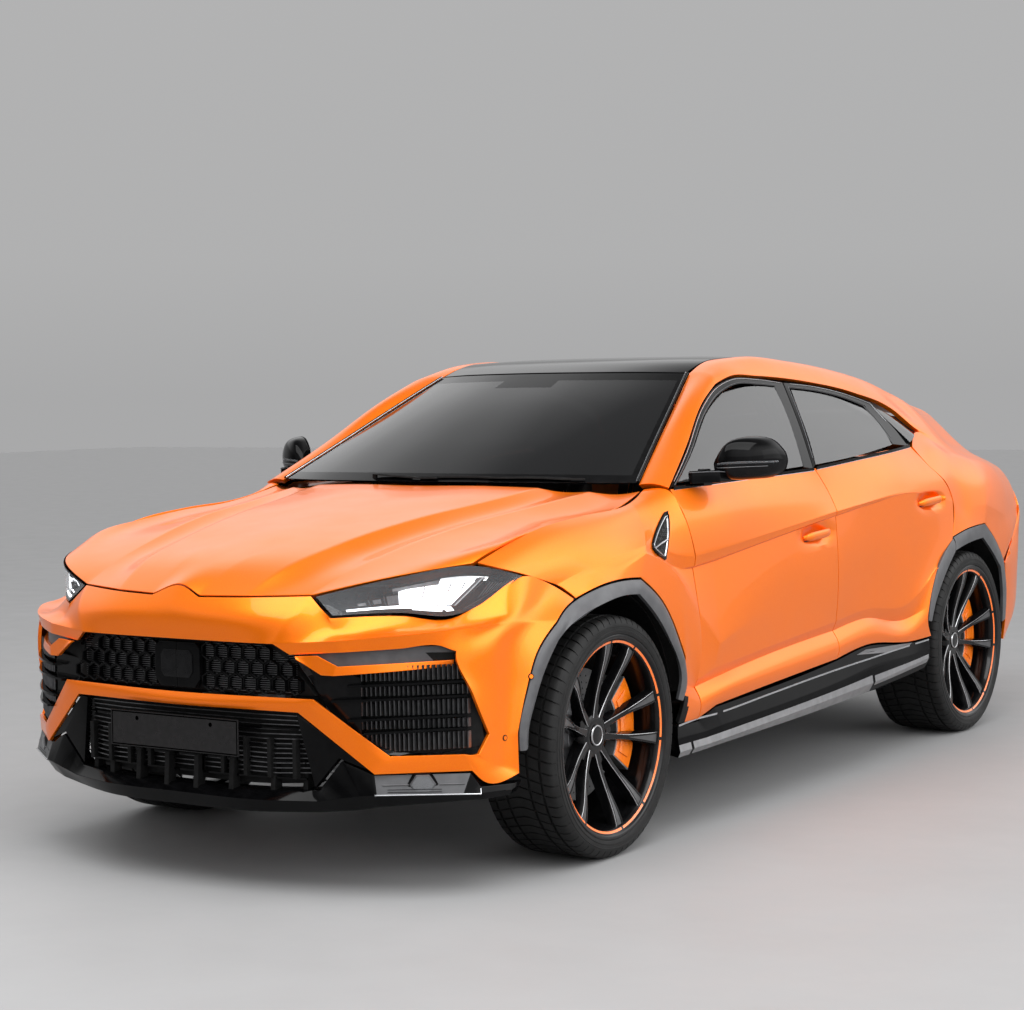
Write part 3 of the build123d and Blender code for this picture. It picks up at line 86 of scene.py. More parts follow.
class Grid:
    def __init__(self, rows, cu=(), cv=(), holes=()):
        self.P = np.array(rows, float)
        n, m = self.P.shape[:2]
        self.cu = np.zeros((n, m), bool)
        self.cv = np.zeros((n, m), bool)
        for c in cu:
            if isinstance(c, tuple):
                self.cu[c[0], c[1]:c[2] + 1] = True
            else:
                self.cu[c, :] = True
        for c in cv:
            if isinstance(c, tuple):
                self.cv[c[1]:c[2] + 1, c[0]] = True
            else:
                self.cv[:, c] = True
        ok = ~np.isnan(self.P[:, :, 0])
        self.mask = ok[:-1, :-1] & ok[1:, :-1] & ok[:-1, 1:] & ok[1:, 1:]
        for (i, j) in holes:
            self.mask[i, j] = False

    def like(self, P):
        g = Grid.__new__(Grid)
        g.P = np.array(P, float); g.cu = self.cu; g.cv = self.cv; g.mask = self.mask
        return g

    def tangents(self):
        n, m = self.P.shape[:2]
        UL = np.zeros((n, m, 3)); UR = np.zeros((n, m, 3))
        VL = np.zeros((n, m, 3)); VR = np.zeros((n, m, 3))
        for j in range(m):
            UL[:, j], UR[:, j] = line_tan(self.P[:, j], self.cu[:, j])
        for i in range(n):
            VL[i], VR[i] = line_tan(self.P[i], self.cv[i])
        return UL, UR, VL, VR

    def nets(self):
        P = self.P
        n, m = P.shape[:2]
        UL, UR, VL, VR = self.tangents()
        L = lambda a, b: max(np.linalg.norm(b - a), 1e-6)
        raw = {}
        acc = {}
        for i in range(n - 1):
            for j in range(m - 1):
                if not self.mask[i, j]:
                    continue
                P00, P10, P01, P11 = P[i, j], P[i + 1, j], P[i, j + 1], P[i + 1, j + 1]
                du0, du1, dv0, dv1 = L(P00, P10), L(P01, P11), L(P00, P01), L(P10, P11)
                U00, U10 = UR[i, j] * du0, UL[i + 1, j] * du0
                U01, U11 = UR[i, j + 1] * du1, UL[i + 1, j + 1] * du1
                V00, V01 = VR[i, j] * dv0, VL[i, j + 1] * dv0
                V10, V11 = VR[i + 1, j] * dv1, VL[i + 1, j + 1] * dv1
                bil = P11 - P10 - P01 + P00
                t = {(0, 0): U01 - U00 + V10 - V00 - bil, (1, 0): U11 - U10 + V10 - V00 - bil,
                     (0, 1): U01 - U00 + V11 - V01 - bil, (1, 1): U11 - U10 + V11 - V01 - bil}
                ln = {(0, 0): du0 * dv0, (1, 0): du0 * dv1, (0, 1): du1 * dv0, (1, 1): du1 * dv1}
                raw[i, j] = (P00, P10, P01, P11, U00, U10, U01, U11, V00, V01, V10, V11, ln)
                for (a, b), tv in t.items():
                    vi, vj = i + a, j + b
                    key = (vi, vj, (1 - a) if self.cu[vi, vj] else 9, (1 - b) if self.cv[vi, vj] else 9)
                    acc.setdefault(key, []).append(tv / ln[a, b])
        out = {}
        for (i, j), (P00, P10, P01, P11, U00, U10, U01, U11, V00, V01, V10, V11, ln) in raw.items():
            T = {}
            for (a, b) in ((0, 0), (1, 0), (0, 1), (1, 1)):
                vi, vj = i + a, j + b
                key = (vi, vj, (1 - a) if self.cu[vi, vj] else 9, (1 - b) if self.cv[vi, vj] else 9)
                T[a, b] = np.mean(acc[key], axis=0) * ln[a, b]
            B = np.zeros((4, 4, 3))
            B[0, 0], B[3, 0], B[0, 3], B[3, 3] = P00, P10, P01, P11
            B[1, 0] = P00 + U00 / 3; B[2, 0] = P10 - U10 / 3
            B[1, 3] = P01 + U01 / 3; B[2, 3] = P11 - U11 / 3
            B[0, 1] = P00 + V00 / 3; B[0, 2] = P01 - V01 / 3
            B[3, 1] = P10 + V10 / 3; B[3, 2] = P11 - V11 / 3
            B[1, 1] = B[1, 0] + B[0, 1] - P00 + T[0, 0] / 9
            B[2, 1] = B[2, 0] + B[3, 1] - P10 - T[1, 0] / 9
            B[1, 2] = B[1, 3] + B[0, 2] - P01 - T[0, 1] / 9
            B[2, 2] = B[2, 3] + B[3, 2] - P11 + T[1, 1] / 9
            out[i, j] = B
        return out

    def normals(self):
        UL, UR, VL, VR = self.tangents()
        n, m = self.P.shape[:2]
        N = np.zeros((n, m, 3))
        for i in range(n - 1):
            for j in range(m - 1):
                if not self.mask[i, j]:
                    continue
                for a in (0, 1):
                    for b in (0, 1):
                        u = UR[i, j + b] if a == 0 else UL[i + 1, j + b]
                        v = VR[i + a, j] if b == 0 else VL[i + a, j + 1]
                        c = np.cross(u, v)
                        l = np.linalg.norm(c)
                        if l > 1e-6:
                            N[i + a, j + b] += c / l
        l = np.linalg.norm(N, axis=2)
        N = N / np.maximum(l, 1e-9)[:, :, None]
        return N

    def boundary_vertices(self):
        n, m = self.P.shape[:2]
        cnt = np.zeros((n, m), int)
        for i in range(n - 1):
            for j in range(m - 1):
                if self.mask[i, j]:
                    for a in (0, 1):
                        for b in (0, 1):
                            cnt[i + a, j + b] += 1
        return (cnt > 0) & (cnt < 4), cnt

    def offset(self, t=None, direction=None, inset=0.0):
        """second skin: along the vertex normals by t, or by a fixed vector"""
        P = self.P.copy()
        N = self.normals()
        if direction is not None:
            P = P + np.array(direction, float)
        if t is not None:
            P = P + N * t
        if inset:
            bd, cnt = self.boundary_vertices()
            n, m = P.shape[:2]
            Q = P.copy()
            for i in range(n):
                for j in range(m):
                    if not bd[i, j] or np.isnan(P[i, j, 0]):
                        continue
                    d = np.zeros(3)
                    # towards the side on which cells exist
                    has = lambda a, b: 0 <= a < n - 1 and 0 <= b < m - 1 and self.mask[a, b]
                    up = has(i - 1, j - 1) or has(i - 1, j)
                    dn = has(i, j - 1) or has(i, j)
                    lf = has(i - 1, j - 1) or has(i, j - 1)
                    rt = has(i - 1, j) or has(i, j)
                    if up and not dn:
                        v = P[i - 1, j] - P[i, j]; d += v / max(np.linalg.norm(v), 1e-6)
                    if dn and not up:
                        v = P[i + 1, j] - P[i, j]; d += v / max(np.linalg.norm(v), 1e-6)
                    if lf and not rt:
                        v = P[i, j - 1] - P[i, j]; d += v / max(np.linalg.norm(v), 1e-6)
                    if rt and not lf:
                        v = P[i, j + 1] - P[i, j]; d += v / max(np.linalg.norm(v), 1e-6)
                    Q[i, j] = P[i, j] + d * inset
            P = Q
        return self.like(P)

    def mirrored(self):
        g = self.like(self.P * np.array([-1, 1, 1.0]))
        return g

    def scale_pts(self, f):
        return self.like(f(self.P))


def fix_sym(P, *Ts):
    """tangents that cross the centre plane x = 0 leave it square"""
    z = np.abs(np.nan_to_num(P[:, :, 0], nan=9e9)) < 1e-6
    for T in Ts:
        L = np.linalg.norm(T, axis=2)
        sel = z & (np.abs(T[:, :, 0]) > 0.3 * L) & (L > 0)
        T[sel] = np.stack([np.sign(T[sel][:, 0]) * L[sel], np.zeros(sel.sum()), np.zeros(sel.sum())], -1)


_old_tan = Grid.tangents


def _tan(self):
    UL, UR, VL, VR = _old_tan(self)
    fix_sym(self.P, UL, UR, VL, VR)
    return UL, UR, VL, VR


Grid.tangents = _tan


def bez(c0, c1, c2, c3, t):
    t = t[:, None]
    return (1 - t) ** 3 * c0 + 3 * (1 - t) ** 2 * t * c1 + 3 * (1 - t) * t ** 2 * c2 + t ** 3 * c3
N_ = (np.nan, np.nan, np.nan)
GAP = 6.0                      # shut line between two panels

# ---------------------------------------------------------------- front fender
# rows: hood shut line, shoulder, upper side, wheel-arch crest, lower crest,
# diagonal, arch edge and then the strip between the arch and the door
FENDER = Grid([
    [(792, -2036, 985), (838, -1720, 1079), (848, -1530, 1098), (840, -1200, 1124), (826, -1120, 1143), (817, -1080, 1156), (809, -1047, 1164)],
    [(828, -1985, 968), (878, -1705, 1058), (888, -1522, 1076), (868, -1215, 1110), (862, -1125, 1132), (868, -1062, 1150), (885, -1016, 1160)],
    [(878, -1898, 939), (915, -1690, 1018), (925, -1510, 1035), (908, -1240, 1062), (912, -1150, 1068), (922, -1070, 1075), (934, -1000, 1078)],
    [(928, -1803, 903), (950, -1650, 944), (962, -1505, 968), (968, -1318, 994), (950, -1205, 985), (951, -1085, 950), (959, -963, 932)],
    [(940, -1780, 889), (957, -1645, 925), (970, -1500, 947), (975, -1328, 980), (958, -1205, 950), (946, -1085, 905), (954, -960, 898)],
    [(950, -1761, 874), (967, -1640, 905), (978, -1495, 925), (981, -1336, 968), (977, -1200, 926), (976, -1075, 846), (972, -960, 736)],
    [(959, -1742, 857), (977, -1640, 886), (985, -1500, 899), (988, -1385, 895), (987, -1242, 809), (983, -1078, 600), (966, -960, 505)],
    [N_, N_, N_, N_, N_, (976, -1057, 500), (956, -960, 478)],
    [N_, N_, N_, N_, N_, (978, -1085, 458), (967, -960, 425)],
    [N_, N_, N_, N_, N_, (972, -1114, 376), (963, -960, 372)],
], cu=[3, (4, 3, 6), (5, 3, 6), (7, 5, 6)], cv=[(3, 1, 6), (5, 6, 6)])

# ---------------------------------------------------------------- doors
FDOOR = Grid([
    [(889, -1004, 1162), (893, -830, 1163), (895, -450, 1174), (902, 96, 1192)],
    [(935, -992, 1076), (940, -820, 1083), (943, -450, 1082), (944, 160, 1074)],
    [(959, -955, 933), (962, -815, 943), (964, -450, 974), (965, 162, 1026)],
    [(954, -954, 899), (955, -810, 910), (961, -450, 950), (963, 163, 1012)],
    [(972, -954, 732), (974, -812, 618), (967, -450, 700), (967, 165, 740)],
    [(966, -954, 507), (967, -830, 533), (964, -450, 560), (960, 165, 600)],
    [(956, -954, 480), (955, -830, 493), (950, -450, 527), (944, 165, 562)],
    [(967, -954, 425), (970, -830, 447), (968, -450, 468), (966, 165, 500)],
    [(963, -954, 374), (966, -830, 404), (965, -450, 425), (963, 160, 456)],
], cu=[2, 3, (4, 0, 1), 5, 6], cv=[(1, 3, 5), (1, 8, 8)])
RDOOR = Grid([
    [(902, 102, 1193), (895, 480, 1215), (885, 800, 1239), (866, 1110, 1245)],
    [(944, 166, 1074), (946, 480, 1105), (940, 820, 1145), (917, 1147, 1177)],
    [(965, 168, 1026), (968, 480, 1050), (968, 850, 1075), (967, 1254, 1078)],
    [(963, 169, 1012), (966, 480, 1040), (971, 850, 1066), (978, 1290, 1010)],
    [(967, 171, 740), (966, 480, 780), (974, 850, 810), (992, 1256, 855)],
    [(960, 171, 600), (962, 480, 625), (976, 800, 640), (1000, 1066, 736)],
    [(944, 171, 562), (951, 480, 590), (972, 800, 585), (1000, 982, 592)],
    [(966, 171, 501), (968, 480, 530), (986, 800, 520), (1000, 966, 532)],
    [(963, 166, 457), (965, 430, 482), (982, 850, 455), (994, 1012, 460)],
], cu=[(2, 0, 2), (3, 0, 2), 5, (6, 0, 2)])

# ---------------------------------------------------------------- body side
# A-pillar, roof rail, rear pillar and rear quarter in one panel
SIDE = Grid([
    # a: windscreen, roof and tailgate side edge
    [(786, -1040, 1181), (717, -800, 1302), (634, -505, 1452), (572, -286, 1563), (561, -157, 1604), (560, 54, 1622), (559, 475, 1610), (559, 863, 1580),
     (561, 1196, 1536), (565, 1380, 1501), (571, 1510, 1473), (583, 1700, 1427), (604, 1955, 1362), (640, 2110, 1250), (652, 2215, 1195)],
    # b: crown of the rail
    [(836, -1030, 1184), (770, -780, 1314), (690, -502, 1475), (644, -300, 1563), (634, -170, 1598), (630, 20, 1619), (630, 475, 1603), (630, 863, 1568),
     (630, 1210, 1519), (635, 1385, 1479), (642, 1510, 1448), (650, 1695, 1390), (660, 1950, 1312), (678, 2125, 1214), (684, 2245, 1172)],
    # b2
    [(865, -1020, 1178), (798, -765, 1312), (722, -502, 1468), (686, -322, 1548), (676, -180, 1578), (676, 10, 1584), (680, 475, 1562), (684, 863, 1524),
     (692, 1204, 1464), (712, 1370, 1405), (735, 1500, 1368), (730, 1690, 1316), (718, 1945, 1258), (720, 2133, 1188), (718, 2272, 1153)],
    # c: upper edge of the side window, then down the rear pillar
    [(887, -1014, 1170), (814, -757, 1304), (742, -505, 1454), (710, -340, 1524), (702, -185, 1556), (704, 0, 1553), (710, 475, 1525), (718, 863, 1480),
     (747, 1196, 1404), (802, 1336, 1313), (812, 1490, 1285), (798, 1690, 1243), (774, 1940, 1208), (766, 2133, 1168), (755, 2288, 1138)],
    # d: lower edge of the side window behind the door
    [N_, N_, N_, N_, N_, N_, N_, N_,
     (870, 1118, 1247), (806, 1342, 1302), (842, 1490, 1245), (846, 1690, 1204), (828, 1932, 1180), (814, 2128, 1148), (796, 2287, 1118)],
    [N_, N_, N_, N_, N_, N_, N_, N_,
     (919, 1154, 1175), (888, 1360, 1222), (900, 1490, 1190), (905, 1690, 1168), (884, 1925, 1148), (860, 2120, 1112), (834, 2281, 1082)],
    [N_, N_, N_, N_, N_, N_, N_, N_,
     (969, 1260, 1080), (955, 1375, 1108), (962, 1490, 1098), (968, 1680, 1088), (942, 1915, 1070), (906, 2108, 1045), (872, 2266, 1028)],
    [N_, N_, N_, N_, N_, N_, N_, N_,
     (979, 1296, 1012), (985, 1392, 968), (994, 1485, 977), (1002, 1625, 982), (982, 1880, 930), (948, 2080, 920), (908, 2242, 950)],
    [N_, N_, N_, N_, N_, N_, N_, N_,
     (992, 1262, 861), (1002, 1395, 887), (1004, 1490, 895), (1006, 1590, 899), (1003, 1735, 810), (992, 1850, 722), (950, 2040, 812)],
], cu=[(7, 9, 12)], cv=[3, (11, 7, 8), (13, 8, 8)], holes=[(3, 8)])

# ---------------------------------------------------------------- hood (left half)
HOOD = Grid([
    [(0, -2511, 931), (95, -2525, 900), (260, -2500, 903), (361, -2468, 905.5), (462, -2436, 908), (640, -2243, 957), (778, -2048, 984)],
    [(0, -2400, 975), (110, -2405, 970), (290, -2370, 969), (387.5, -2335, 953), (485, -2300, 959), (650, -2130, 985), (800, -1935, 1030)],
    [(0, -2150, 1040), (150, -2145, 1037), (330, -2110, 1039), (425, -2080, 1012), (520, -2050, 1028), (675, -1930, 1024), (826, -1740, 1071)],
    [(0, -1800, 1100), (200, -1795, 1099), (385, -1775, 1100), (477.5, -1757.5, 1068.5), (570, -1740, 1087), (715, -1680, 1071), (836, -1545, 1092)],
    [(0, -1480, 1147), (240, -1475, 1148), (440, -1455, 1139), (525, -1442.5, 1111.5), (610, -1430, 1124), (735, -1380, 1099), (833, -1300, 1108)],
    [(0, -1255, 1176), (260, -1245, 1178), (480, -1210, 1172), (565, -1180, 1157), (650, -1150, 1158), (745, -1100, 1148), (800, -1066, 1157)],
], cu=[], cv=[(1, 0, 1), 2, 4])

# ---------------------------------------------------------------- windscreen, roof
WSCREEN = Grid([
    [(0, -1225, 1190), (300, -1205, 1190), (560, -1140, 1188), (776, -1036, 1186)],
    [(0, -960, 1332), (270, -945, 1330), (510, -890, 1322), (706, -797, 1307)],
    [(0, -690, 1464), (240, -675, 1462), (450, -610, 1460), (624, -504, 1456)],
    [(0, -440, 1570), (210, -425, 1569), (400, -370, 1567), (562, -290, 1563)],
])
ROOF = Grid([
    [(0, -432, 1575), (210, -417, 1574), (395, -362, 1572), (556, -282, 1567)],
    [(0, -250, 1612), (200, -245, 1611), (390, -220, 1608), (553, -157, 1605)],
    [(0, 60, 1633), (200, 60, 1632), (390, 58, 1630), (552, 54, 1624)],
    [(0, 475, 1628), (200, 475, 1627), (390, 475, 1624), (551, 475, 1612)],
    [(0, 863, 1600), (200, 863, 1599), (390, 863, 1595), (551, 863, 1582)],
    [(0, 1196, 1560), (200, 1196, 1559), (390, 1196, 1554), (553, 1196, 1538)],
    [(0, 1380, 1530), (200, 1380, 1529), (390, 1378, 1523), (557, 1376, 1503)],
    [(0, 1510, 1505), (200, 1508, 1503), (390, 1504, 1496), (563, 1496, 1476)],
])
# ---------------------------------------------------------------- tailgate
SPOILER = Grid([
    [(0, 1524, 1503), (200, 1522, 1501), (390, 1519, 1493), (564, 1512, 1472)],
    [(0, 1700, 1468), (200, 1698, 1465), (390, 1692, 1455), (574, 1690, 1431)],
    [(0, 1880, 1434), (200, 1876, 1431), (395, 1862, 1417), (588, 1830, 1396)],
    [(0, 2010, 1412), (200, 2004, 1408), (400, 1985, 1393), (597, 1930, 1368)],
])
REARGL = Grid([
    [(0, 1900, 1383), (200, 1897, 1381), (400, 1888, 1369), (586, 1868, 1352)],
    [(0, 2110, 1274), (210, 2106, 1272), (420, 2096, 1262), (618, 2072, 1250)],
    [(0, 2296, 1176), (215, 2292, 1174), (440, 2276, 1168), (636, 2215, 1178)],
])
GATE = Grid([
    [(0, 2304, 1170), (215, 2300, 1168), (440, 2284, 1162), (643, 2224, 1174)],
    [(0, 2415, 1154), (225, 2411, 1152), (460, 2390, 1145), (664, 2310, 1134)],
    [(0, 2403, 1100), (225, 2399, 1099), (460, 2380, 1092), (672, 2318, 1080)],
    [(0, 2430, 1060), (230, 2426, 1058), (465, 2405, 1052), (680, 2338, 1045)],
    [(0, 2452, 950), (235, 2448, 950), (470, 2425, 950), (690, 2355, 950)],
    [(0, 2472, 800), (240, 2468, 800), (475, 2445, 800), (690, 2372, 800)],
    [(0, 2480, 700), (240, 2475, 700), (474, 2452, 700), (686, 2384, 700)],
], cu=[1, 2])

# ---------------------------------------------------------------- front bumper
FBUMP = Grid([
    [(0, -2517, 925), (95, -2532, 893), (260, -2507, 896), (460, -2443, 902), (531, -2447, 838), (642, -2241, 832), (734, -2109, 815), (783, -2038, 848), (873, -1908, 934), (922, -1821, 901), (956, -1748, 853)],
    [(0, -2556, 850), (100, -2556, 845), (270, -2545, 838), (430, -2512, 828), (550, -2440, 797), (665, -2300, 789), (762, -2172, 785), (822, -2085, 797), (892, -1990, 838), (935, -1885, 842), (966, -1830, 826)],
    [(0, -2550, 765), (102, -2549, 765), (265, -2545, 765), (387, -2538, 766), (555, -2450, 773), (690, -2325, 783), (788, -2225, 792), (848, -2140, 797), (905, -2050, 806), (945, -1950, 802), (972, -1878, 797)],
    [N_, N_, N_, (432, -2514, 733), (560, -2425, 737), (690, -2312, 743), (780, -2232, 749), (819, -2198, 731), (880, -2120, 738), (935, -2020, 742), (963, -1978, 712)],
    [N_, N_, N_, N_, N_, N_, N_, (856, -2167, 601), (895, -2115, 600), (935, -2055, 600), (956, -2030, 600)],
    [N_, N_, N_, N_, N_, N_, N_, (893, -2136, 476), (910, -2110, 470), (932, -2082, 470), (949, -2070, 475)],
    [N_, N_, N_, N_, N_, N_, N_, (868, -2158, 415), (893, -2132, 390), (925, -2095, 372), (948, -2064, 352)],
    [N_, N_, N_, N_, N_, N_, N_, (850, -2172, 413), (859, -2163, 388), (868, -2155, 360), (878, -2149, 334)],
    [N_, N_, N_, N_, N_, N_, N_, (836, -2188, 416), (841, -2182, 400), (846, -2176, 384), (851, -2170, 367)],
    [N_, N_, N_, N_, N_, N_, N_, (662, -2332, 418), (652, -2342, 402), (640, -2350, 384), (625, -2360, 366)],
    [N_, N_, N_, N_, N_, N_, N_, (488, -2480, 597), (475, -2488, 585), (462, -2492, 572), (445, -2496, 558)],
    [N_, N_, N_, N_, N_, N_, N_, (0, -2528, 597), (0, -2534, 585), (0, -2536, 572), (0, -2530, 558)],
], cu=[2, 5, 6, 8, 9, 10], cv=[1, 3, 4])

# ---------------------------------------------------------------- rear bumper
RBUMP = Grid([
    [N_, N_, N_, (697, 2360, 1002), (800, 2325, 1003), (880, 2272, 1006), N_, N_],
    [N_, N_, N_, (698, 2366, 940), (812, 2325, 940), (914, 2246, 943), (932, 2150, 866), N_],
    [N_, N_, N_, (697, 2376, 810), (825, 2330, 810), (935, 2190, 810), (958, 2040, 782), (975, 1950, 742)],
    [(0, 2487, 692), (240, 2482, 692), (478, 2460, 692), (694, 2392, 692), (835, 2335, 692), (945, 2150, 692), (975, 2000, 690), (994, 1864, 704)],
    [(0, 2556, 600), (240, 2550, 600), (480, 2520, 596), (696, 2440, 590), (842, 2340, 585), (948, 2120, 575), (975, 1985, 575), (984, 1906, 590)],
    [(0, 2540, 480), (240, 2535, 478), (478, 2505, 470), (676, 2425, 460), (828, 2320, 450), (938, 2100, 440), (965, 1975, 440), (973, 1922, 450)],
    [(0, 2505, 440), (240, 2500, 438), (470, 2470, 425), (660, 2380, 400), (800, 2270, 370), (912, 2060, 350), (950, 1960, 347), (960, 1927, 352)],
], cu=[4, (3, 7, 7)], cv=[3])

# ---------------------------------------------------------------- arch trims
def toward(pts, cy, cz, d, dx):
    """points moved by d towards the wheel centre and by dx outboard"""
    out = []
    for (x, y, z) in pts:
        v = np.array([cy - y, cz - z]); v = v / np.linalg.norm(v)
        out.append((min(x + dx, 1008.0), y + v[0] * d, z + v[1] * d))
    return out


FT_O = [(948, -2066, 419), (949, -2070, 475), (956, -2030, 600), (963, -1978, 712), (972, -1878, 797), (966, -1830, 826), (959, -1742, 857),
        (977, -1640, 886), (985, -1500, 899), (988, -1385, 895), (987, -1242, 809), (983, -1078, 600), (976, -1057, 500), (978, -1085, 458)]
FT_I = [(950, -2014, 420), (953, -2012, 478), (962, -1988, 560), (970, -1945, 650), (980, -1880, 738), (984, -1838, 768), (992, -1745, 808),
        (1000, -1640, 832), (1003, -1520, 847), (1004, -1418, 843), (1001, -1290, 752), (996, -1165, 620), (992, -1122, 530), (985, -1135, 462)]
FTRIM = Grid([toward(FT_O, -1551, 392, 9, 2), toward(FT_O, -1551, 392, 22, 9), FT_I], cv=[4, 9, 11])
RD_O = [(1000, 968, 530), (1000, 982, 592), (1000, 1066, 736), (992, 1256, 855)]
RD_I = [(1004, 1004, 532), (1006, 1034, 592), (1007, 1120, 690), (1006, 1252, 796)]
RTRIM_D = Grid([toward(RD_O, 1452, 392, 6, 2), toward(RD_O, 1452, 392, 22, 7), RD_I])
RB_O = [(992, 1262, 861), (1002, 1395, 887), (1004, 1490, 895), (1006, 1590, 899), (1003, 1735, 810), (992, 1850, 722), (984, 1906, 590), (973, 1922, 450)]
RB_I = [(1006, 1262, 802), (1007, 1385, 822), (1007, 1490, 832), (1007, 1570, 836), (1007, 1690, 760), (1003, 1790, 690), (994, 1838, 582), (986, 1852, 440)]
RTRIM_B = Grid([toward(RB_O, 1452, 392, 6, 2), toward(RB_O, 1452, 392, 22, 7), RB_I], cv=[3, 5])

# ---------------------------------------------------------------- side windows
FFRAME = Grid([
    [(881, -1001, 1174), (813, -752, 1296), (742, -500, 1446), (711, -337, 1515), (703, -185, 1547), (704, 0, 1545), (705, 228, 1529), (808, 164, 1362), (899, 95, 1199)],
    [(884, -962, 1177), (823, -740, 1277), (752, -488, 1425), (722, -323, 1490), (715, -185, 1520), (716, 0, 1518), (717, 132, 1511), (808, 80, 1362), (895, 22, 1201)],
], cv=[6])
RFRAME = Grid([
    [(897, 103, 1200), (806, 172, 1362), (706, 237, 1528), (712, 475, 1515), (721, 760, 1482), (734, 1002, 1438), (800, 1054, 1346), (863, 1103, 1256)],
    [(893, 122, 1207), (807, 194, 1362), (718, 258, 1503), (723, 475, 1490), (732, 720, 1460), (740, 903, 1424), (806, 912, 1346), (868, 916, 1264)],
], cv=[2, 5])
FGLASS = Grid([
    [(884, -945, 1184), (889, -450, 1190), (893, 17, 1205)],
    [(824, -730, 1281), (838, -340, 1290), (852, 48, 1290)],
    [(754, -478, 1426), (764, -190, 1430), (770, 102, 1432)],
    [(724, -314, 1487), (719, -100, 1510), (719, 128, 1505)],
])
RGLASS = Grid([
    [(892, 128, 1210), (888, 500, 1230), (868, 908, 1264)],
    [(850, 163, 1292), (846, 520, 1310), (836, 906, 1318)],
    [(770, 218, 1430), (775, 530, 1412), (789, 904, 1375)],
    [(721, 262, 1498), (727, 540, 1478), (741, 898, 1420)],
])
QLIGHT = Grid([
    [(740, 1024, 1420), (758, 1180, 1378), (786, 1288, 1318)],
    [(860, 1114, 1266), (838, 1210, 1285), (796, 1296, 1306)],
])

# ---------------------------------------------------------------- lamps, grilles, sills
HLAMP = Grid([
    [(475, -2436, 901), (645, -2249, 950), (783, -2054, 975), (870, -1914, 937)],
    [(538, -2438, 847), (645, -2241, 842), (740, -2106, 826), (860, -1930, 925)],
])
HLAMP_IN = np.array([[(-22, 46, -58)] * 4, [(-34, 62, 6)] * 4], float)
TLAMP = Grid([
    [(680, 2326, 1074), (750, 2318, 1086), (806, 2300, 1074), (842, 2290, 1046)],
    [(698, 2352, 1011), (755, 2343, 1012), (808, 2326, 1012), (848, 2298, 1014)],
])
UGRILLE = Grid([
    [(0, -2505, 758), (190, -2503, 758), (376, -2492, 758)],
    [(0, -2495, 604), (240, -2490, 604), (474, -2448, 604)],
])
SGRILLE = Grid([
    [(440, -2465, 722), (640, -2310, 728), (806, -2170, 720)],
    [(500, -2415, 598), (690, -2260, 590), (840, -2135, 596)],
    [(655, -2290, 425), (770, -2200, 423), (862, -2120, 440)],
])
LGRILLE = Grid([
    [(0, -2480, 552), (220, -2475, 552), (422, -2456, 552)],
    [(0, -2475, 328), (300, -2458, 328), (456, -2402, 334)],
])
SPLIT = Grid([
    [(0, -2512, 312), (300, -2495, 312), (474, -2438, 316), (540, -2410, 404), (618, -2352, 360), (845, -2173, 359), (868, -2154, 316), (936, -2070, 320)],
    [(0, -2548, 290), (300, -2532, 288), (480, -2460, 286), (588, -2386, 300), (632, -2360, 303), (838, -2202, 300), (876, -2164, 298), (938, -2087, 304)],
    [(0, -2530, 250), (300, -2512, 250), (478, -2432, 250), (566, -2372, 254), (625, -2332, 262), (835, -2174, 276), (880, -2142, 280), (930, -2087, 288)],
], cu=[1], cv=[2, 3, 4, 5, 6])
PILL = Grid([
    [(428, -2480, 546), (434, -2485, 549), (440, -2489, 551)],
    [(466, -2446, 328), (534, -2416, 416), (602, -2366, 380)],
], cv=[1])
RIM_Y = lambda x: -692.0 + 0.63 * (x - 948.0)
MIRR = Grid([
    [(932, RIM_Y(932), 1290), (968, RIM_Y(968), 1324), (1034, RIM_Y(1034), 1335), (1082, RIM_Y(1082), 1320), (1108, RIM_Y(1108), 1290)],
    [(927, -738, 1268), (962, -742, 1306), (1030, -708, 1314), (1088, -656, 1300), (1116, RIM_Y(1116), 1275)],
    [(923, -754, 1240), (958, -760, 1246), (1030, -730, 1250), (1092, -668, 1250), (1121, RIM_Y(1121), 1250)],
    [(927, -747, 1210), (962, -750, 1204), (1030, -718, 1206), (1086, -662, 1210), (1116, RIM_Y(1116), 1222)],
    [(933, RIM_Y(933), 1194), (966, RIM_Y(966), 1184), (1028, RIM_Y(1028), 1184), (1078, RIM_Y(1078), 1192), (1106, RIM_Y(1106), 1206)],
])
ARM = [(897, -896), (914, -900), (966, -792), (966, -706), (930, -722), (897, -800)]


def mirror_back(d=18.0):
    """flat rear plane of the mirror shell, leaning outboard"""
    P = MIRR.P.copy()
    P[:, :, 1] = RIM_Y(P[:, :, 0]) + d
    c = P[2, 2].copy()
    P[1:-1, 1:-1] = c + (P[1:-1, 1:-1] - c) * 0.9
    return MIRR.like(P)


SKIRT = Grid([
    [(967, -1110, 364), (962, -957, 362), (961, -833, 394), (959, 165, 446), (961, 430, 472), (978, 850, 445), (988, 1006, 450)],
    [(985, -1142, 330), (987, -957, 330), (992, -833, 336), (995, 165, 376), (995, 430, 395), (996, 850, 402), (998, 988, 412)],
    [(999, -1152, 285), (1001, -957, 286), (1003, -833, 290), (1003, 165, 325), (1003, 430, 336), (1003, 850, 364), (1003, 975, 372)],
    [(985, -1142, 264), (985, -957, 266), (985, -833, 269), (985, 165, 291), (985, 430, 302), (985, 850, 323), (985, 962, 331)],
], cu=[1, 2], cv=[1, 2])
DIFF = Grid([
    [(0, 2500, 432), (240, 2494, 430), (468, 2463, 417), (656, 2372, 392), (795, 2262, 363), (900, 2062, 343)],
    [(0, 2505, 340), (240, 2500, 340), (470, 2465, 335), (650, 2370, 320), (780, 2250, 300), (885, 2060, 285)],
    [(0, 2440, 250), (240, 2435, 250), (465, 2400, 250), (640, 2320, 250), (770, 2210, 250), (870, 2050, 250)],
], cv=[3])

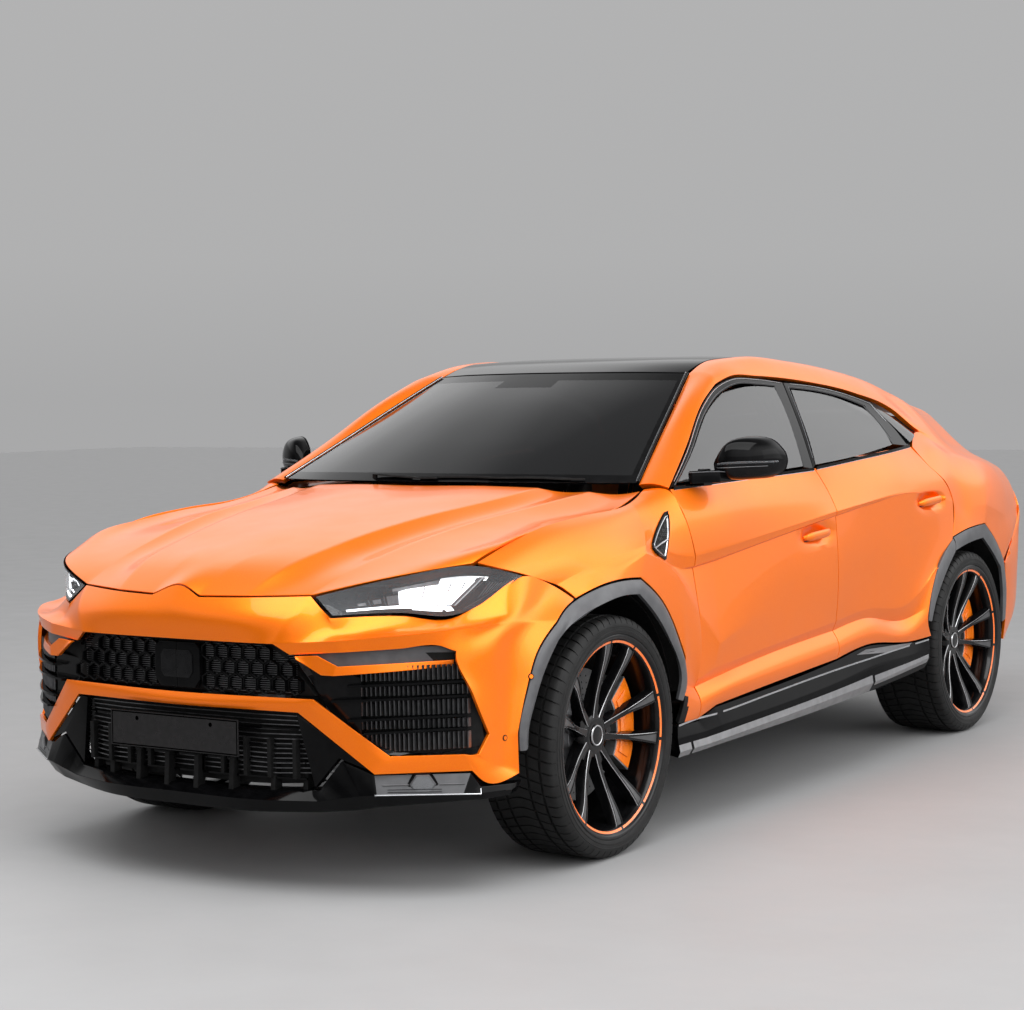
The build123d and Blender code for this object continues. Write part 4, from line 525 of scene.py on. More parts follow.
for g_ in (FFRAME, RFRAME):
    g_.P[0, :, 2] -= 5.0
    g_.P[0, :, 0] -= 2.0
RGLASS.P[:, :, 2] -= 3.0
RGLASS.P[:, 0, 1] += 3.0
QLIGHT.P[0, :, 2] -= 9.0
TLAMP.P[:, 0, 0] += 5.0
for g_ in (SPOILER, GATE):
    g_.P[:, -1, 0] -= 3.0

# the skirt's front end turns inboard behind the steered tyre
SKIRT_IN = np.array([[(-110, 46, 0)] + [(-110, 0, 0)] * 6] * 4, float)

FFRAME.P[0, 0] += (0, 10, -2)
FFRAME.P[0, 1] += (0, 3, -3)
QLIGHT.P[1, 1, 2] += 4.0
FTRIM.P[0, 11:14] = np.array(toward(FT_O, -1551, 392, 13, 2))[11:14]
RGLASS.P[1:, 0, 1] += 5.0


def with_row(g, k, row, crease=True):
    """the grid with one more row after row k"""
    o = Grid.__new__(Grid)
    o.P = np.insert(g.P, k + 1, np.array(row, float), 0)
    o.cu = np.insert(g.cu, k + 1, crease, 0)
    o.cv = np.insert(g.cv, k + 1, g.cv[k], 0)
    o.mask = np.insert(g.mask, k, g.mask[k], 0)
    return o


# undercut below the shoulder line, fading towards the rear
FDOOR = with_row(FDOOR, 3, [(946, -954, 891), (947, -810, 902), (954, -450, 943), (958, 163, 1007)])
RDOOR = with_row(RDOOR, 3, [(958, 169, 1007), (963, 480, 1036), (970, 850, 1063), (979, 1289, 1006)])
FENDER = with_row(FENDER, 4, [(944, -1773, 883), (961, -1643, 917), (973, -1498, 938), (977, -1331, 975), (965, -1203, 941), (949, -1084, 898), (946, -960, 890)], [False, False, False, False, False, False, True])
# lower wedge and shelf of the doors
FDOOR.P[6, :, 0] = [960, 961, 958, 956]
FDOOR.P[7, :, 0] = [948, 947, 944, 941]
FDOOR.P[8, :, 0] = [973, 975, 972, 969]
RDOOR.P[6, :3] = [(956, 171, 600), (960, 450, 622), (976, 810, 612)]
RDOOR.P[7, :3] = [(941, 171, 562), (948, 430, 584), (968, 860, 552)]
RDOOR.P[8, :3] = [(969, 171, 501), (972, 440, 523), (988, 850, 497)]
FENDER.P[7, 6, 0] = 960
FENDER.P[8, 5:, 0] = [970, 948]
FENDER.P[9, 5:, 0] = [982, 973]


def corner_out(P):
    """front corners drawn out along the diagonal, fading towards the centre, the arches and the doors"""
    s = lambda t: np.clip(t, 0, 1) ** 2 * (3 - 2 * np.clip(t, 0, 1))
    x, y, z = P[..., 0], P[..., 1], P[..., 2]
    x0 = 400.0 + 120.0 * s((z - 740.0) / 60.0)
    w = s((x - x0) / (640.0 - x0)) * s((945.0 - x) / 95.0) * s((-1650.0 - y) / 350.0)
    d = np.array([4603.0, -7613.0, 1511.0]) - P
    d = d / np.linalg.norm(d, axis=-1, keepdims=True)
    return P + d * (78.0 * w)[..., None]


for g_ in (HOOD, HLAMP, FENDER, FBUMP, UGRILLE, SGRILLE, LGRILLE, SPLIT, PILL):
    g_.P = corner_out(g_.P)
# ---------------------------------------------------------------- materials
MATS = {}


def new_mat(name):
    m = bpy.data.materials.new(name)
    m.use_nodes = True
    nt = m.node_tree
    b = nt.nodes["Principled BSDF"]
    MATS[name] = m
    return m, nt, b


def node(nt, kind, **kw):
    n = nt.nodes.new(kind)
    for k, v in kw.items():
        setattr(n, k, v)
    return n


def setin(n, **kw):
    for k, v in kw.items():
        n.inputs[k.replace("_", " ")].default_value = v


def coords(nt, scale=1.0):
    tc = node(nt, "ShaderNodeTexCoord")
    mp = node(nt, "ShaderNodeMapping")
    mp.inputs["Scale"].default_value = (scale,) * 3 if not isinstance(scale, tuple) else scale
    nt.links.new(tc.outputs["Object"], mp.inputs["Vector"])
    return mp.outputs["Vector"]


def noise(nt, vec, scale, detail=3.0, rough=0.5):
    n = node(nt, "ShaderNodeTexNoise")
    setin(n, Scale=scale, Detail=detail, Roughness=rough)
    nt.links.new(vec, n.inputs["Vector"])
    return n.outputs["Fac"]


def ramp(nt, fac, lo, hi, p0=0.35, p1=0.65):
    r = node(nt, "ShaderNodeValToRGB")
    r.color_ramp.elements[0].position = p0
    r.color_ramp.elements[1].position = p1
    r.color_ramp.elements[0].color = (*lo, 1) if len(lo) == 3 else lo
    r.color_ramp.elements[1].color = (*hi, 1) if len(hi) == 3 else hi
    nt.links.new(fac, r.inputs["Fac"])
    return r.outputs["Color"]


def rng(nt, fac, lo, hi, a=0.3, b=0.7):
    r = node(nt, "ShaderNodeMapRange")
    r.inputs["From Min"].default_value = a
    r.inputs["From Max"].default_value = b
    r.inputs["To Min"].default_value = lo
    r.inputs["To Max"].default_value = hi
    nt.links.new(fac, r.inputs["Value"])
    return r.outputs["Result"]


def bump(nt, b, h, strength=0.2, dist=0.001, socket="Normal"):
    n = node(nt, "ShaderNodeBump")
    n.inputs["Strength"].default_value = strength
    n.inputs["Distance"].default_value = dist
    nt.links.new(h, n.inputs["Height"])
    nt.links.new(n.outputs["Normal"], b.inputs[socket])
    return n


def finish_mat(name, lo, hi, rough=(0.3, 0.4), metallic=0.0, scale=40.0, coat=0.0, coat_rough=0.05, bump_scale=400.0, bump_str=0.0, bump_dist=0.0004, spec=0.5):
    """colour, roughness and fine bump that vary over the surface"""
    m, nt, b = new_mat(name)
    v = coords(nt)
    f = noise(nt, v, scale, 4.0)
    nt.links.new(ramp(nt, f, lo, hi), b.inputs["Base Color"])
    nt.links.new(rng(nt, noise(nt, v, scale * 0.37, 3.0), rough[0], rough[1]), b.inputs["Roughness"])
    setin(b, Metallic=metallic)
    b.inputs["Specular IOR Level"].default_value = spec
    b.inputs["Coat Weight"].default_value = coat
    b.inputs["Coat Roughness"].default_value = coat_rough
    if bump_str:
        bump(nt, b, noise(nt, v, bump_scale, 2.0), bump_str, bump_dist)
    return m


# pearl orange under clear coat, with fine flakes
m, nt, b = new_mat("paint")
v = coords(nt)
fl = node(nt, "ShaderNodeTexVoronoi")
setin(fl, Scale=900.0)
nt.links.new(v, fl.inputs["Vector"])
nt.links.new(ramp(nt, fl.outputs["Color"], (0.97, 0.170, 0.0), (1.0, 0.210, 0.0005), 0.2, 0.9), b.inputs["Base Color"])
nt.links.new(rng(nt, noise(nt, v, 6.0), 0.30, 0.36), b.inputs["Roughness"])
setin(b, Metallic=0.60)
b.inputs["Specular IOR Level"].default_value = 0.3
b.inputs["Coat Weight"].default_value = 0.42
b.inputs["Coat Roughness"].default_value = 0.03
b.inputs["Coat IOR"].default_value = 1.40
bump(nt, b, fl.outputs["Distance"], 0.03, 0.0002)

finish_mat("paint_inside", (0.42, 0.11, 0.005), (0.5, 0.14, 0.008), (0.45, 0.6), 0.1, 12.0, 0.3, 0.2)
finish_mat("gloss_black", (0.0012, 0.0012, 0.0014), (0.0025, 0.0025, 0.0028), (0.06, 0.10), 0.0, 30.0, 0.0, 0.03, spec=0.10)
finish_mat("piano_dark", (0.004, 0.004, 0.0045), (0.007, 0.007, 0.0075), (0.12, 0.2), 0.0, 30.0, 0.05, 0.05, spec=0.12)
finish_mat("deep_black", (0.0012, 0.0012, 0.0014), (0.0022, 0.0022, 0.0025), (0.10, 0.16), 0.0, 30.0, 0.0, 0.03, spec=0.03)
finish_mat("satin_bar", (0.15, 0.15, 0.155), (0.19, 0.19, 0.195), (0.34, 0.44), 0.2, 25.0, 0.0, 0.1, 900.0, 0.05)
finish_mat("satin_trim", (0.062, 0.063, 0.067), (0.080, 0.081, 0.086), (0.36, 0.46), 0.0, 25.0, 0.0, 0.1, 900.0, 0.05)
finish_mat("matt_black", (0.003, 0.003, 0.003), (0.006, 0.006, 0.0062), (0.55, 0.7), 0.0, 60.0, 0.0, 0.1, 600.0, 0.12, spec=0.18)
finish_mat("rubber_seal", (0.010, 0.010, 0.010), (0.016, 0.016, 0.016), (0.5, 0.62), 0.0, 80.0, 0.0, 0.1, 900.0, 0.08)
finish_mat("silver", (0.50, 0.51, 0.53), (0.60, 0.61, 0.63), (0.20, 0.28), 1.0, 50.0, 0.3, 0.08, 1500.0, 0.03)
finish_mat("dark_metal", (0.10, 0.10, 0.105), (0.15, 0.15, 0.155), (0.28, 0.4), 0.9, 60.0, 0.0, 0.1, 900.0, 0.06)
finish_mat("cast_alu", (0.20, 0.20, 0.205), (0.30, 0.30, 0.305), (0.45, 0.6), 0.85, 50.0, 0.0, 0.1, 500.0, 0.25)
finish_mat("underbody", (0.014, 0.014, 0.015), (0.028, 0.028, 0.028), (0.6, 0.8), 0.0, 18.0, 0.0, 0.1, 250.0, 0.3)
finish_mat("carbon_ceramic", (0.085, 0.085, 0.088), (0.13, 0.13, 0.13), (0.32, 0.45), 0.3, 220.0, 0.0, 0.1, 700.0, 0.12)
finish_mat("caliper_paint", (0.88, 0.17, 0.004), (0.95, 0.21, 0.006), (0.22, 0.3), 0.0, 30.0, 0.8, 0.06)
finish_mat("wheel_black", (0.002, 0.002, 0.0023), (0.004, 0.004, 0.0044), (0.16, 0.22), 0.0, 40.0, 0.15, 0.05, spec=0.22)
finish_mat("wheel_grey", (0.075, 0.075, 0.078), (0.095, 0.095, 0.098), (0.28, 0.36), 0.6, 60.0, 0.4, 0.08)
finish_mat("pin_orange", (0.92, 0.16, 0.01), (0.97, 0.20, 0.014), (0.25, 0.33), 0.0, 30.0, 0.7, 0.05)
finish_mat("tyre", (0.005, 0.005, 0.005), (0.009, 0.009, 0.009), (0.5, 0.66), 0.0, 28.0, 0.0, 0.1, 700.0, 0.15, spec=0.25)
finish_mat("hide", (0.010, 0.010, 0.011), (0.018, 0.018, 0.019), (0.42, 0.55), 0.0, 60.0, 0.0, 0.1, 900.0, 0.35)
finish_mat("stitch", (0.75, 0.22, 0.02), (0.85, 0.28, 0.03), (0.6, 0.7), 0.0, 300.0)
finish_mat("dash", (0.010, 0.010, 0.0105), (0.017, 0.017, 0.0175), (0.5, 0.62), 0.0, 80.0, 0.0, 0.1, 1200.0, 0.25)
finish_mat("carpet", (0.006, 0.006, 0.006), (0.014, 0.014, 0.014), (0.85, 0.95), 0.0, 600.0, 0.0, 0.1, 1500.0, 0.6)
finish_mat("reflector", (0.70, 0.71, 0.73), (0.85, 0.86, 0.88), (0.06, 0.12), 1.0, 80.0)
finish_mat("plate_blank", (0.006, 0.0055, 0.0057), (0.010, 0.009, 0.0095), (0.25, 0.33), 0.0, 60.0, 0.1, 0.1, 900.0, 0.04, spec=0.25)
finish_mat("red_lens", (0.30, 0.004, 0.004), (0.42, 0.006, 0.006), (0.05, 0.09), 0.0, 60.0, 1.0, 0.02)
finish_mat("amber_lens", (0.85, 0.3, 0.02), (0.92, 0.36, 0.03), (0.08, 0.12), 0.0, 60.0, 1.0, 0.02)


def glass_mat(name, tint, alpha, rough=0.0, coat=1.0, spec=0.6):
    """thin glass: a gloss surface over a tint that lets part of the light through"""
    m, nt, b = new_mat(name)
    v = coords(nt)
    f = noise(nt, v, 3.0, 2.0)
    nt.links.new(ramp(nt, f, tuple(c * 0.9 for c in tint), tint), b.inputs["Base Color"])
    nt.links.new(rng(nt, noise(nt, v, 11.0, 2.0), rough + 0.01, rough + 0.03), b.inputs["Roughness"])
    b.inputs["Alpha"].default_value = alpha
    b.inputs["Coat Weight"].default_value = coat
    b.inputs["Coat Roughness"].default_value = 0.01
    b.inputs["Specular IOR Level"].default_value = spec
    return m


glass_mat("windscreen_glass", (0.0015, 0.0017, 0.0022), 0.92, 0.0, 0.0, 0.5)
glass_mat("side_glass", (0.006, 0.0065, 0.007), 0.84, 0.0, 0.5, 0.5)
glass_mat("lens_clear", (0.75, 0.78, 0.82), 0.10)

# lit lamp elements
for nm, col, st in (("lamp_white", (0.93, 0.96, 1.0), 2.2), ("drl_white", (0.93, 0.96, 1.0), 3.0), ("tail_lit", (1.0, 0.03, 0.01), 0.5)):
    m, nt, b = new_mat(nm)
    v = coords(nt)
    nt.links.new(ramp(nt, noise(nt, v, 120.0), tuple(c * 0.9 for c in col), col), b.inputs["Base Color"])
    nt.links.new(ramp(nt, noise(nt, v, 160.0), tuple(c * 0.8 for c in col), col), b.inputs["Emission Color"])
    b.inputs["Emission Strength"].default_value = st
    b.inputs["Roughness"].default_value = 0.2

finish_mat("mirror_glass", (0.55, 0.57, 0.60), (0.62, 0.64, 0.67), (0.02, 0.05), 1.0, 30.0)
# ---------------------------------------------------------------- mesh building (mm)
class Mesh:
    def __init__(self):
        self.v, self.f, self.m, self.n = [], [], [], 0

    def add(self, V, F, m=0):
        V = np.asarray(V, float).reshape(-1, 3)
        self.v.append(V)
        self.f += [tuple(int(i) + self.n for i in f) for f in F]
        self.m += [m] * len(F) if np.isscalar(m) else list(m)
        self.n += len(V)
        return self

    def both(self):
        """adds the mirror image of everything so far"""
        V = np.concatenate(self.v)
        F = [tuple(i + self.n for i in f[::-1]) for f in self.f]
        self.v.append(V * np.array([-1.0, 1, 1]))
        self.f += F
        self.m += list(self.m)
        self.n *= 2
        return self

    def mirrored(self):
        o = Mesh()
        o.v = [np.concatenate(self.v) * np.array([-1.0, 1, 1])]
        o.f = [f[::-1] for f in self.f]
        o.m = list(self.m)
        o.n = self.n
        return o

    def moved(self, T):
        o = Mesh()
        V = np.concatenate(self.v)
        o.v = [T(V)]
        o.f, o.m, o.n = list(self.f), list(self.m), self.n
        return o

    def join(self, o):
        self.v.append(np.concatenate(o.v))
        self.f += [tuple(i + self.n for i in f) for f in o.f]
        self.m += o.m
        self.n += o.n
        return self

    def make(self, name, mats, body, repl=(), slot=None, sharp=32.0, weld=0.01, wn=True):
        me = bpy.data.meshes.new(name)
        V = np.concatenate(self.v) * 0.001
        me.from_pydata(V.tolist(), [], self.f)
        for k in mats:
            me.materials.append(MATS[k])
        me.polygons.foreach_set("material_index", np.array(self.m, np.int32))
        me.polygons.foreach_set("use_smooth", np.ones(len(self.f), bool))
        if weld:
            bm = bmesh.new()
            bm.from_mesh(me)
            bmesh.ops.remove_doubles(bm, verts=bm.verts, dist=weld * 0.001)
            bm.to_mesh(me)
            bm.free()
        me.update()
        me.set_sharp_from_angle(angle=math.radians(sharp))
        ob = bpy.data.objects.new(name, me)
        bpy.context.scene.collection.objects.link(ob)
        if wn:
            w = ob.modifiers.new("wn", "WEIGHTED_NORMAL")
            w.keep_sharp = True
            w.weight = 60
        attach(ob, body)
        if repl:
            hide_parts(*([repl] if isinstance(repl, str) else repl))
        return ob


def lattice(g, N, nets=None):
    nets = nets or g.nets()
    n, m = g.P.shape[:2]
    L = np.full(((n - 1) * N + 1, (m - 1) * N + 1, 3), np.nan)
    t = np.linspace(0, 1, N + 1)
    B = np.stack([(1 - t) ** 3, 3 * (1 - t) ** 2 * t, 3 * (1 - t) * t ** 2, t ** 3], 1)
    for (i, j), net in nets.items():
        L[i * N:(i + 1) * N + 1, j * N:(j + 1) * N + 1] = np.einsum("ai,bj,ijk->abk", B, B, net)
    M = np.repeat(np.repeat(g.mask, N, 0), N, 1)
    return L, M


def lat_normals(L, M):
    a, b = M.shape
    Nn = np.zeros(L.shape)
    P00, P10, P01, P11 = L[:-1, :-1], L[1:, :-1], L[:-1, 1:], L[1:, 1:]
    c = np.cross(P11 - P00, P01 - P10) * -1.0
    c = np.where(M[:, :, None], c, 0.0)
    c = np.nan_to_num(c)
    Nn[:-1, :-1] += c; Nn[1:, :-1] += c; Nn[:-1, 1:] += c; Nn[1:, 1:] += c
    l = np.linalg.norm(Nn, axis=2)
    return Nn / np.maximum(l, 1e-12)[:, :, None]


def panel(g, h, N=10, r=1.2, rn=2.4, mo=0, mi=1, steps=3, x0=True, sel=None, lip=None):
    """closed panel: outer skin on grid g, rolled edge, inner skin on grid h"""
    L, M = lattice(g, N)
    H, _ = lattice(h, N)
    Nn = lat_normals(L, M)
    sgn = -np.sign(np.nansum(np.where(np.isnan(H), 0, (H - L)) * Nn))
    Nn = Nn * sgn
    R, C = M.shape
    idx = -np.ones((R + 1, C + 1), int)
    use = np.zeros((R + 1, C + 1), bool)
    use[:-1, :-1] |= M; use[1:, :-1] |= M; use[:-1, 1:] |= M; use[1:, 1:] |= M
    idx[use] = np.arange(use.sum())
    V = L[use]; W = H[use]; NV = Nn[use]
    F, Fi, mo_l, mi_l = [], [], [], []
    edges = {}
    for i in range(R):
        for j in range(C):
            if not M[i, j]:
                continue
            q = (idx[i, j], idx[i, j + 1], idx[i + 1, j + 1], idx[i + 1, j])
            if sgn > 0:
                q = q[::-1]
            F.append(q)
            Fi.append(q[::-1])
            mo_l.append(mo if sel is None else sel(i / N, j / N))
            mi_l.append(mi)
            for k in range(4):
                a, b = q[k], q[(k + 1) % 4]
                key = (min(a, b), max(a, b))
                if key in edges:
                    edges[key] = None
                else:
                    edges[key] = (a, b, q)
    me = Mesh()
    nV = len(V)
    me.add(V, F, mo_l)
    me.add(W, Fi, mi_l)
    bd = [e for e in edges.values() if e is not None]
    if x0:
        bd = [e for e in bd if not (abs(V[e[0], 0]) < 1e-6 and abs(V[e[1], 0]) < 1e-6)]
    acc = {}
    for a, b, q in bd:
        c = V[list(q)].mean(0)
        e = V[b] - V[a]
        le = np.linalg.norm(e)
        if le < 1e-9:
            continue
        e = e / le
        w = (V[a] + V[b]) / 2 - c
        w = w - e * (w @ e)
        w = w / max(np.linalg.norm(w), 1e-9)
        for k in (a, b):
            acc.setdefault(k, []).append(w)
    keys = sorted(acc)
    pos = {k: n for n, k in enumerate(keys)}
    Bd = []
    for k in keys:
        s = np.sum(acc[k], axis=0)
        l = np.linalg.norm(s)
        if l < 1e-6:
            Bd.append(acc[k][0]); continue
        s = s / l
        cosh = max(0.6, float(np.mean([s @ w for w in acc[k]])))
        n_ = NV[k]
        s = s - n_ * (s @ n_)
        s = s / max(np.linalg.norm(s), 1e-9)
        Bd.append(s / cosh)
    Bd = np.array(Bd)
    K = np.array(keys)
    if x0:
        z = np.abs(V[K, 0]) < 1e-6
        Bd[z, 0] = 0.0
    P0, PN = V[K], NV[K].copy()
    if x0:
        PN[z, 0] = 0.0
    rings = []
    for s in range(1, steps + 1):
        a = math.pi / 2 * s / steps
        rings.append(P0 + Bd * r * math.sin(a) - PN * rn * (1 - math.cos(a)))
    base = me.n
    for rg in rings:
        me.v.append(rg); me.n += len(rg)
    nk = len(keys)

    def vid(level, k):
        if level == 0:
            return k
        if level <= steps:
            return base + (level - 1) * nk + pos[k]
        return nV + k
    for a, b, q in bd:
        if a not in pos or b not in pos:
            continue
        for s in range(steps + 1):
            me.f.append((vid(s, b), vid(s, a), vid(s + 1, a), vid(s + 1, b)))
            me.m.append(mo if s < steps else (mo if lip is None else lip))
    return me


def off(g, **kw):
    """inner grid as the CAD makes it"""
    inset = kw.pop("inset", 0.0)
    h = g.offset(t=kw.get("t"), direction=kw.get("direction"), inset=0.0)
    sel = np.abs(np.nan_to_num(g.P[:, :, 0], nan=9e9)) < 1e-6
    if inset:
        h = h.offset(t=None, inset=inset)
    h.P[sel, 0] = 0.0
    return h


def box_mesh(x0, x1, y0, y1, z0, z1, c=2.0):
    """box with chamfered edges"""
    x0, x1 = sorted((x0, x1)); y0, y1 = sorted((y0, y1)); z0, z1 = sorted((z0, z1))
    c = min(c, (x1 - x0) * 0.45, (y1 - y0) * 0.45, (z1 - z0) * 0.45)
    bm = bmesh.new()
    bmesh.ops.create_cube(bm, size=1.0)
    for v in bm.verts:
        v.co = Vector(((x0 + x1) / 2 + v.co.x * (x1 - x0), (y0 + y1) / 2 + v.co.y * (y1 - y0), (z0 + z1) / 2 + v.co.z * (z1 - z0)))
    bmesh.ops.bevel(bm, geom=bm.edges[:], offset=c, segments=2, affect="EDGES", profile=0.6)
    return from_bm(bm)


def from_bm(bm, m=0):
    bm.verts.ensure_lookup_table()
    bm.verts.index_update()
    o = Mesh()
    o.add([tuple(v.co) for v in bm.verts], [tuple(v.index for v in f.verts) for f in bm.faces], m)
    bm.free()
    return o


def prism(pts, axis, a0, a1, c=1.5, m=0, seg=2):
    """polygon drawn out along an axis, with bevelled edges; pts are in the other two axes, in order"""
    bm = bmesh.new()
    k = "xyz".index(axis)
    oth = [i for i in range(3) if i != k]

    def P(p, a):
        q = [0, 0, 0]
        q[k] = a; q[oth[0]] = p[0]; q[oth[1]] = p[1]
        return q
    lo = [bm.verts.new(P(p, a0)) for p in pts]
    hi = [bm.verts.new(P(p, a1)) for p in pts]
    bm.faces.new(lo[::-1]); bm.faces.new(hi)
    n = len(pts)
    for i in range(n):
        bm.faces.new((lo[i], lo[(i + 1) % n], hi[(i + 1) % n], hi[i]))
    bmesh.ops.recalc_face_normals(bm, faces=bm.faces)
    if c:
        bmesh.ops.bevel(bm, geom=bm.edges[:], offset=c, segments=seg, affect="EDGES", profile=0.6, clamp_overlap=True)
    bmesh.ops.triangulate(bm, faces=[f for f in bm.faces if len(f.verts) > 4])
    return from_bm(bm, m)


def sweep(path, prof, closed=False, m=0, up=(0, 0, 1), cap=True, prof_closed=True):
    """profile (a, b) carried along a path; a is across, b along the up side"""
    P = np.asarray(path, float)
    n = len(P)
    T = np.zeros_like(P)
    for i in range(n):
        if closed:
            d = P[(i + 1) % n] - P[i - 1]
        else:
            d = P[min(i + 1, n - 1)] - P[max(i - 1, 0)]
        T[i] = d / max(np.linalg.norm(d), 1e-9)
    U = np.asarray(up, float)
    if U.ndim == 1:
        U = np.tile(U, (n, 1))
    S = np.cross(T, U); S /= np.maximum(np.linalg.norm(S, axis=1), 1e-9)[:, None]
    W = np.cross(S, T)
    pr = np.asarray(prof, float)
    if pr.ndim == 2:
        pr = np.tile(pr, (n, 1, 1))
    V = P[:, None, :] + S[:, None, :] * pr[:, :, :1] + W[:, None, :] * pr[:, :, 1:]
    k = pr.shape[1]
    F = []
    for i in range(n if closed else n - 1):
        i2 = (i + 1) % n
        for j in range(k if prof_closed else k - 1):
            j2 = (j + 1) % k
            F.append((i * k + j, i2 * k + j, i2 * k + j2, i * k + j2))
    if cap and not closed and prof_closed:
        F.append(tuple(range(k)))
        F.append(tuple((n - 1) * k + j for j in range(k))[::-1])
    return Mesh().add(V.reshape(-1, 3), F, m)


def circ(r, k=12, a=1.0):
    t = np.linspace(0, 2 * np.pi, k, endpoint=False)
    return np.stack([r * np.cos(t), a * r * np.sin(t)], 1)


def lathe(prof, cx, cy, cz, n=96, m=0, closed=True, mats=None):
    """profile of (x offset, radius) turned about the X-parallel axis"""
    pr = np.asarray(prof, float)
    k = len(pr)
    t = np.linspace(0, 2 * np.pi, n, endpoint=False)
    V = np.zeros((n, k, 3))
    V[:, :, 0] = cx + pr[None, :, 0]
    V[:, :, 1] = cy + pr[None, :, 1] * np.cos(t)[:, None]
    V[:, :, 2] = cz + pr[None, :, 1] * np.sin(t)[:, None]
    F, ms = [], []
    for i in range(n):
        i2 = (i + 1) % n
        for j in range(k if closed else k - 1):
            j2 = (j + 1) % k
            F.append((i * k + j, i * k + j2, i2 * k + j2, i2 * k + j))
            ms.append(m if mats is None else mats[j])
    return Mesh().add(V.reshape(-1, 3), F, ms)


def smooth_line(pts, n=8, closed=False):
    """Catmull-Rom through the points"""
    P = np.asarray(pts, float)
    k = len(P)
    out = []
    for i in range(k if closed else k - 1):
        p1, p2 = P[i], P[(i + 1) % k]
        p0 = P[i - 1] if (closed or i > 0) else 2 * p1 - p2
        p3 = P[(i + 2) % k] if (closed or i + 2 < k) else 2 * p2 - p1
        for a in range(n):
            t = a / n
            out.append(0.5 * (2 * p1 + (p2 - p0) * t + (2 * p0 - 5 * p1 + 4 * p2 - p3) * t * t + (3 * p1 - p0 - 3 * p2 + p3) * t ** 3))
    if not closed:
        out.append(P[-1])
    return np.array(out)
# ---------------------------------------------------------------- painted panels
D = dict
skin = {}


def split_sides(mesh, base, mats, bodies, repl, slot=None, **kw):
    """left and right objects from a left-hand mesh"""
    for tag, me in (("left", mesh), ("right", mesh.mirrored())):
        skin[base + "_" + tag] = me.make("vis_" + base + "_" + tag, mats, bodies.format(tag), repl.format(tag), slot, **kw)


def both_sides(mesh):
    o = Mesh().join(mesh)
    return o.both()


PAINT = ["paint", "paint_inside", "matt_black", "gloss_black", "rubber_seal", "satin_trim", "silver"]

fender = panel(FENDER, off(FENDER, t=-16, inset=4), N=10)
Vf_ = np.concatenate(fender.v)
for i_, f_ in enumerate(fender.f):
    c_ = Vf_[list(f_)].mean(0)
    if c_[1] < -1062 and c_[1] > -1200 and c_[2] < 466:
        fender.m[i_] = 2
both_sides(fender).make("vis_front_fenders", PAINT, "body", "front_fenders", "paint")
side = panel(SIDE, off(SIDE, t=-20, inset=4), N=9)
both_sides(side).make("vis_body_sides", PAINT, "body", "body_sides", "paint")
both_sides(panel(HOOD, off(HOOD, direction=(0, 8, -22), inset=24), N=12)).make("vis_hood", PAINT, "hood", "hood", "paint")
both_sides(panel(ROOF, off(ROOF, direction=(0, 0, -22), inset=4), N=8)).make("vis_roof_panel", ["gloss_black", "hide"], "body", "roof_panel", "gloss_black")
fb = panel(FBUMP, off(FBUMP, t=-12), N=10)
both_sides(fb).make("vis_front_bumper", PAINT, "body", "front_bumper", "paint")
both_sides(panel(RBUMP, off(RBUMP, t=12), N=8)).make("vis_rear_bumper", PAINT, "body", "rear_bumper", "paint")
tg = both_sides(panel(SPOILER, off(SPOILER, direction=(0, 4, -18), inset=8), N=8)).join(both_sides(panel(GATE, off(GATE, direction=(0, -34, -6), inset=6), N=8)))
tg.make("vis_tailgate", PAINT, "tailgate", "tailgate", "paint")
both_sides(panel(REARGL, off(REARGL, direction=(0, -3, -5)), N=8, r=0.5, rn=0.8)).make("vis_rear_window", ["side_glass", "side_glass"], "tailgate", "rear_window", "dark_glass")
frit = lambda u, v: 2 if (v > 2.82 or u > 2.72 or u < 0.16 or (v < 0.55 and u > 2.45)) else 0
both_sides(panel(WSCREEN, off(WSCREEN, direction=(0, 3, -5.5)), N=16, r=0.5, rn=0.8, sel=frit)).make("vis_windshield", ["windscreen_glass", "windscreen_glass", "gloss_black"], "body", "windshield", "dark_glass")
both_sides(panel(FTRIM, off(FTRIM, t=-14), N=8)).make("vis_front_arch_trims", ["satin_trim", "matt_black"], "body", "front_arch_trims", "trim")
both_sides(panel(RTRIM_B, off(RTRIM_B, t=-14), N=8)).make("vis_rear_arch_trims", ["satin_trim", "matt_black"], "body", "rear_arch_trims", "trim")
fogsel = lambda u, v: 2 if (4.0 <= v < 5.0 and u < 1.0) else 0
both_sides(panel(SPLIT, off(SPLIT, direction=(-8, 50, 4)), N=8, sel=fogsel)).make("vis_front_splitter", ["gloss_black", "matt_black", "satin_trim"], "body", "front_splitter", "gloss_black")
skirtsel = lambda u, v: 2 if (1.5 <= u < 3.0 and (v < 0.37 or 0.44 < v < 2.84 or 2.9 < v < 3.9)) or (1.56 < u < 2.4 and 3.95 < v < 5.85) else 0
both_sides(panel(SKIRT, off(SKIRT, direction=SKIRT_IN, inset=6), N=12, sel=skirtsel)).make("vis_side_skirts", ["deep_black", "matt_black", "satin_bar"], "body", "side_skirts", "gloss_black")
both_sides(panel(DIFF, off(DIFF, direction=(0, -40, 6)), N=8)).make("vis_rear_diffuser", ["gloss_black", "matt_black"], "body", "rear_diffuser", "gloss_black")
both_sides(panel(QLIGHT, off(QLIGHT, direction=(-14, 0, -4)), N=8, r=0.5, rn=1.0)).make("vis_quarter_lights", ["side_glass", "matt_black"], "body", "quarter_lights", "dark_glass")



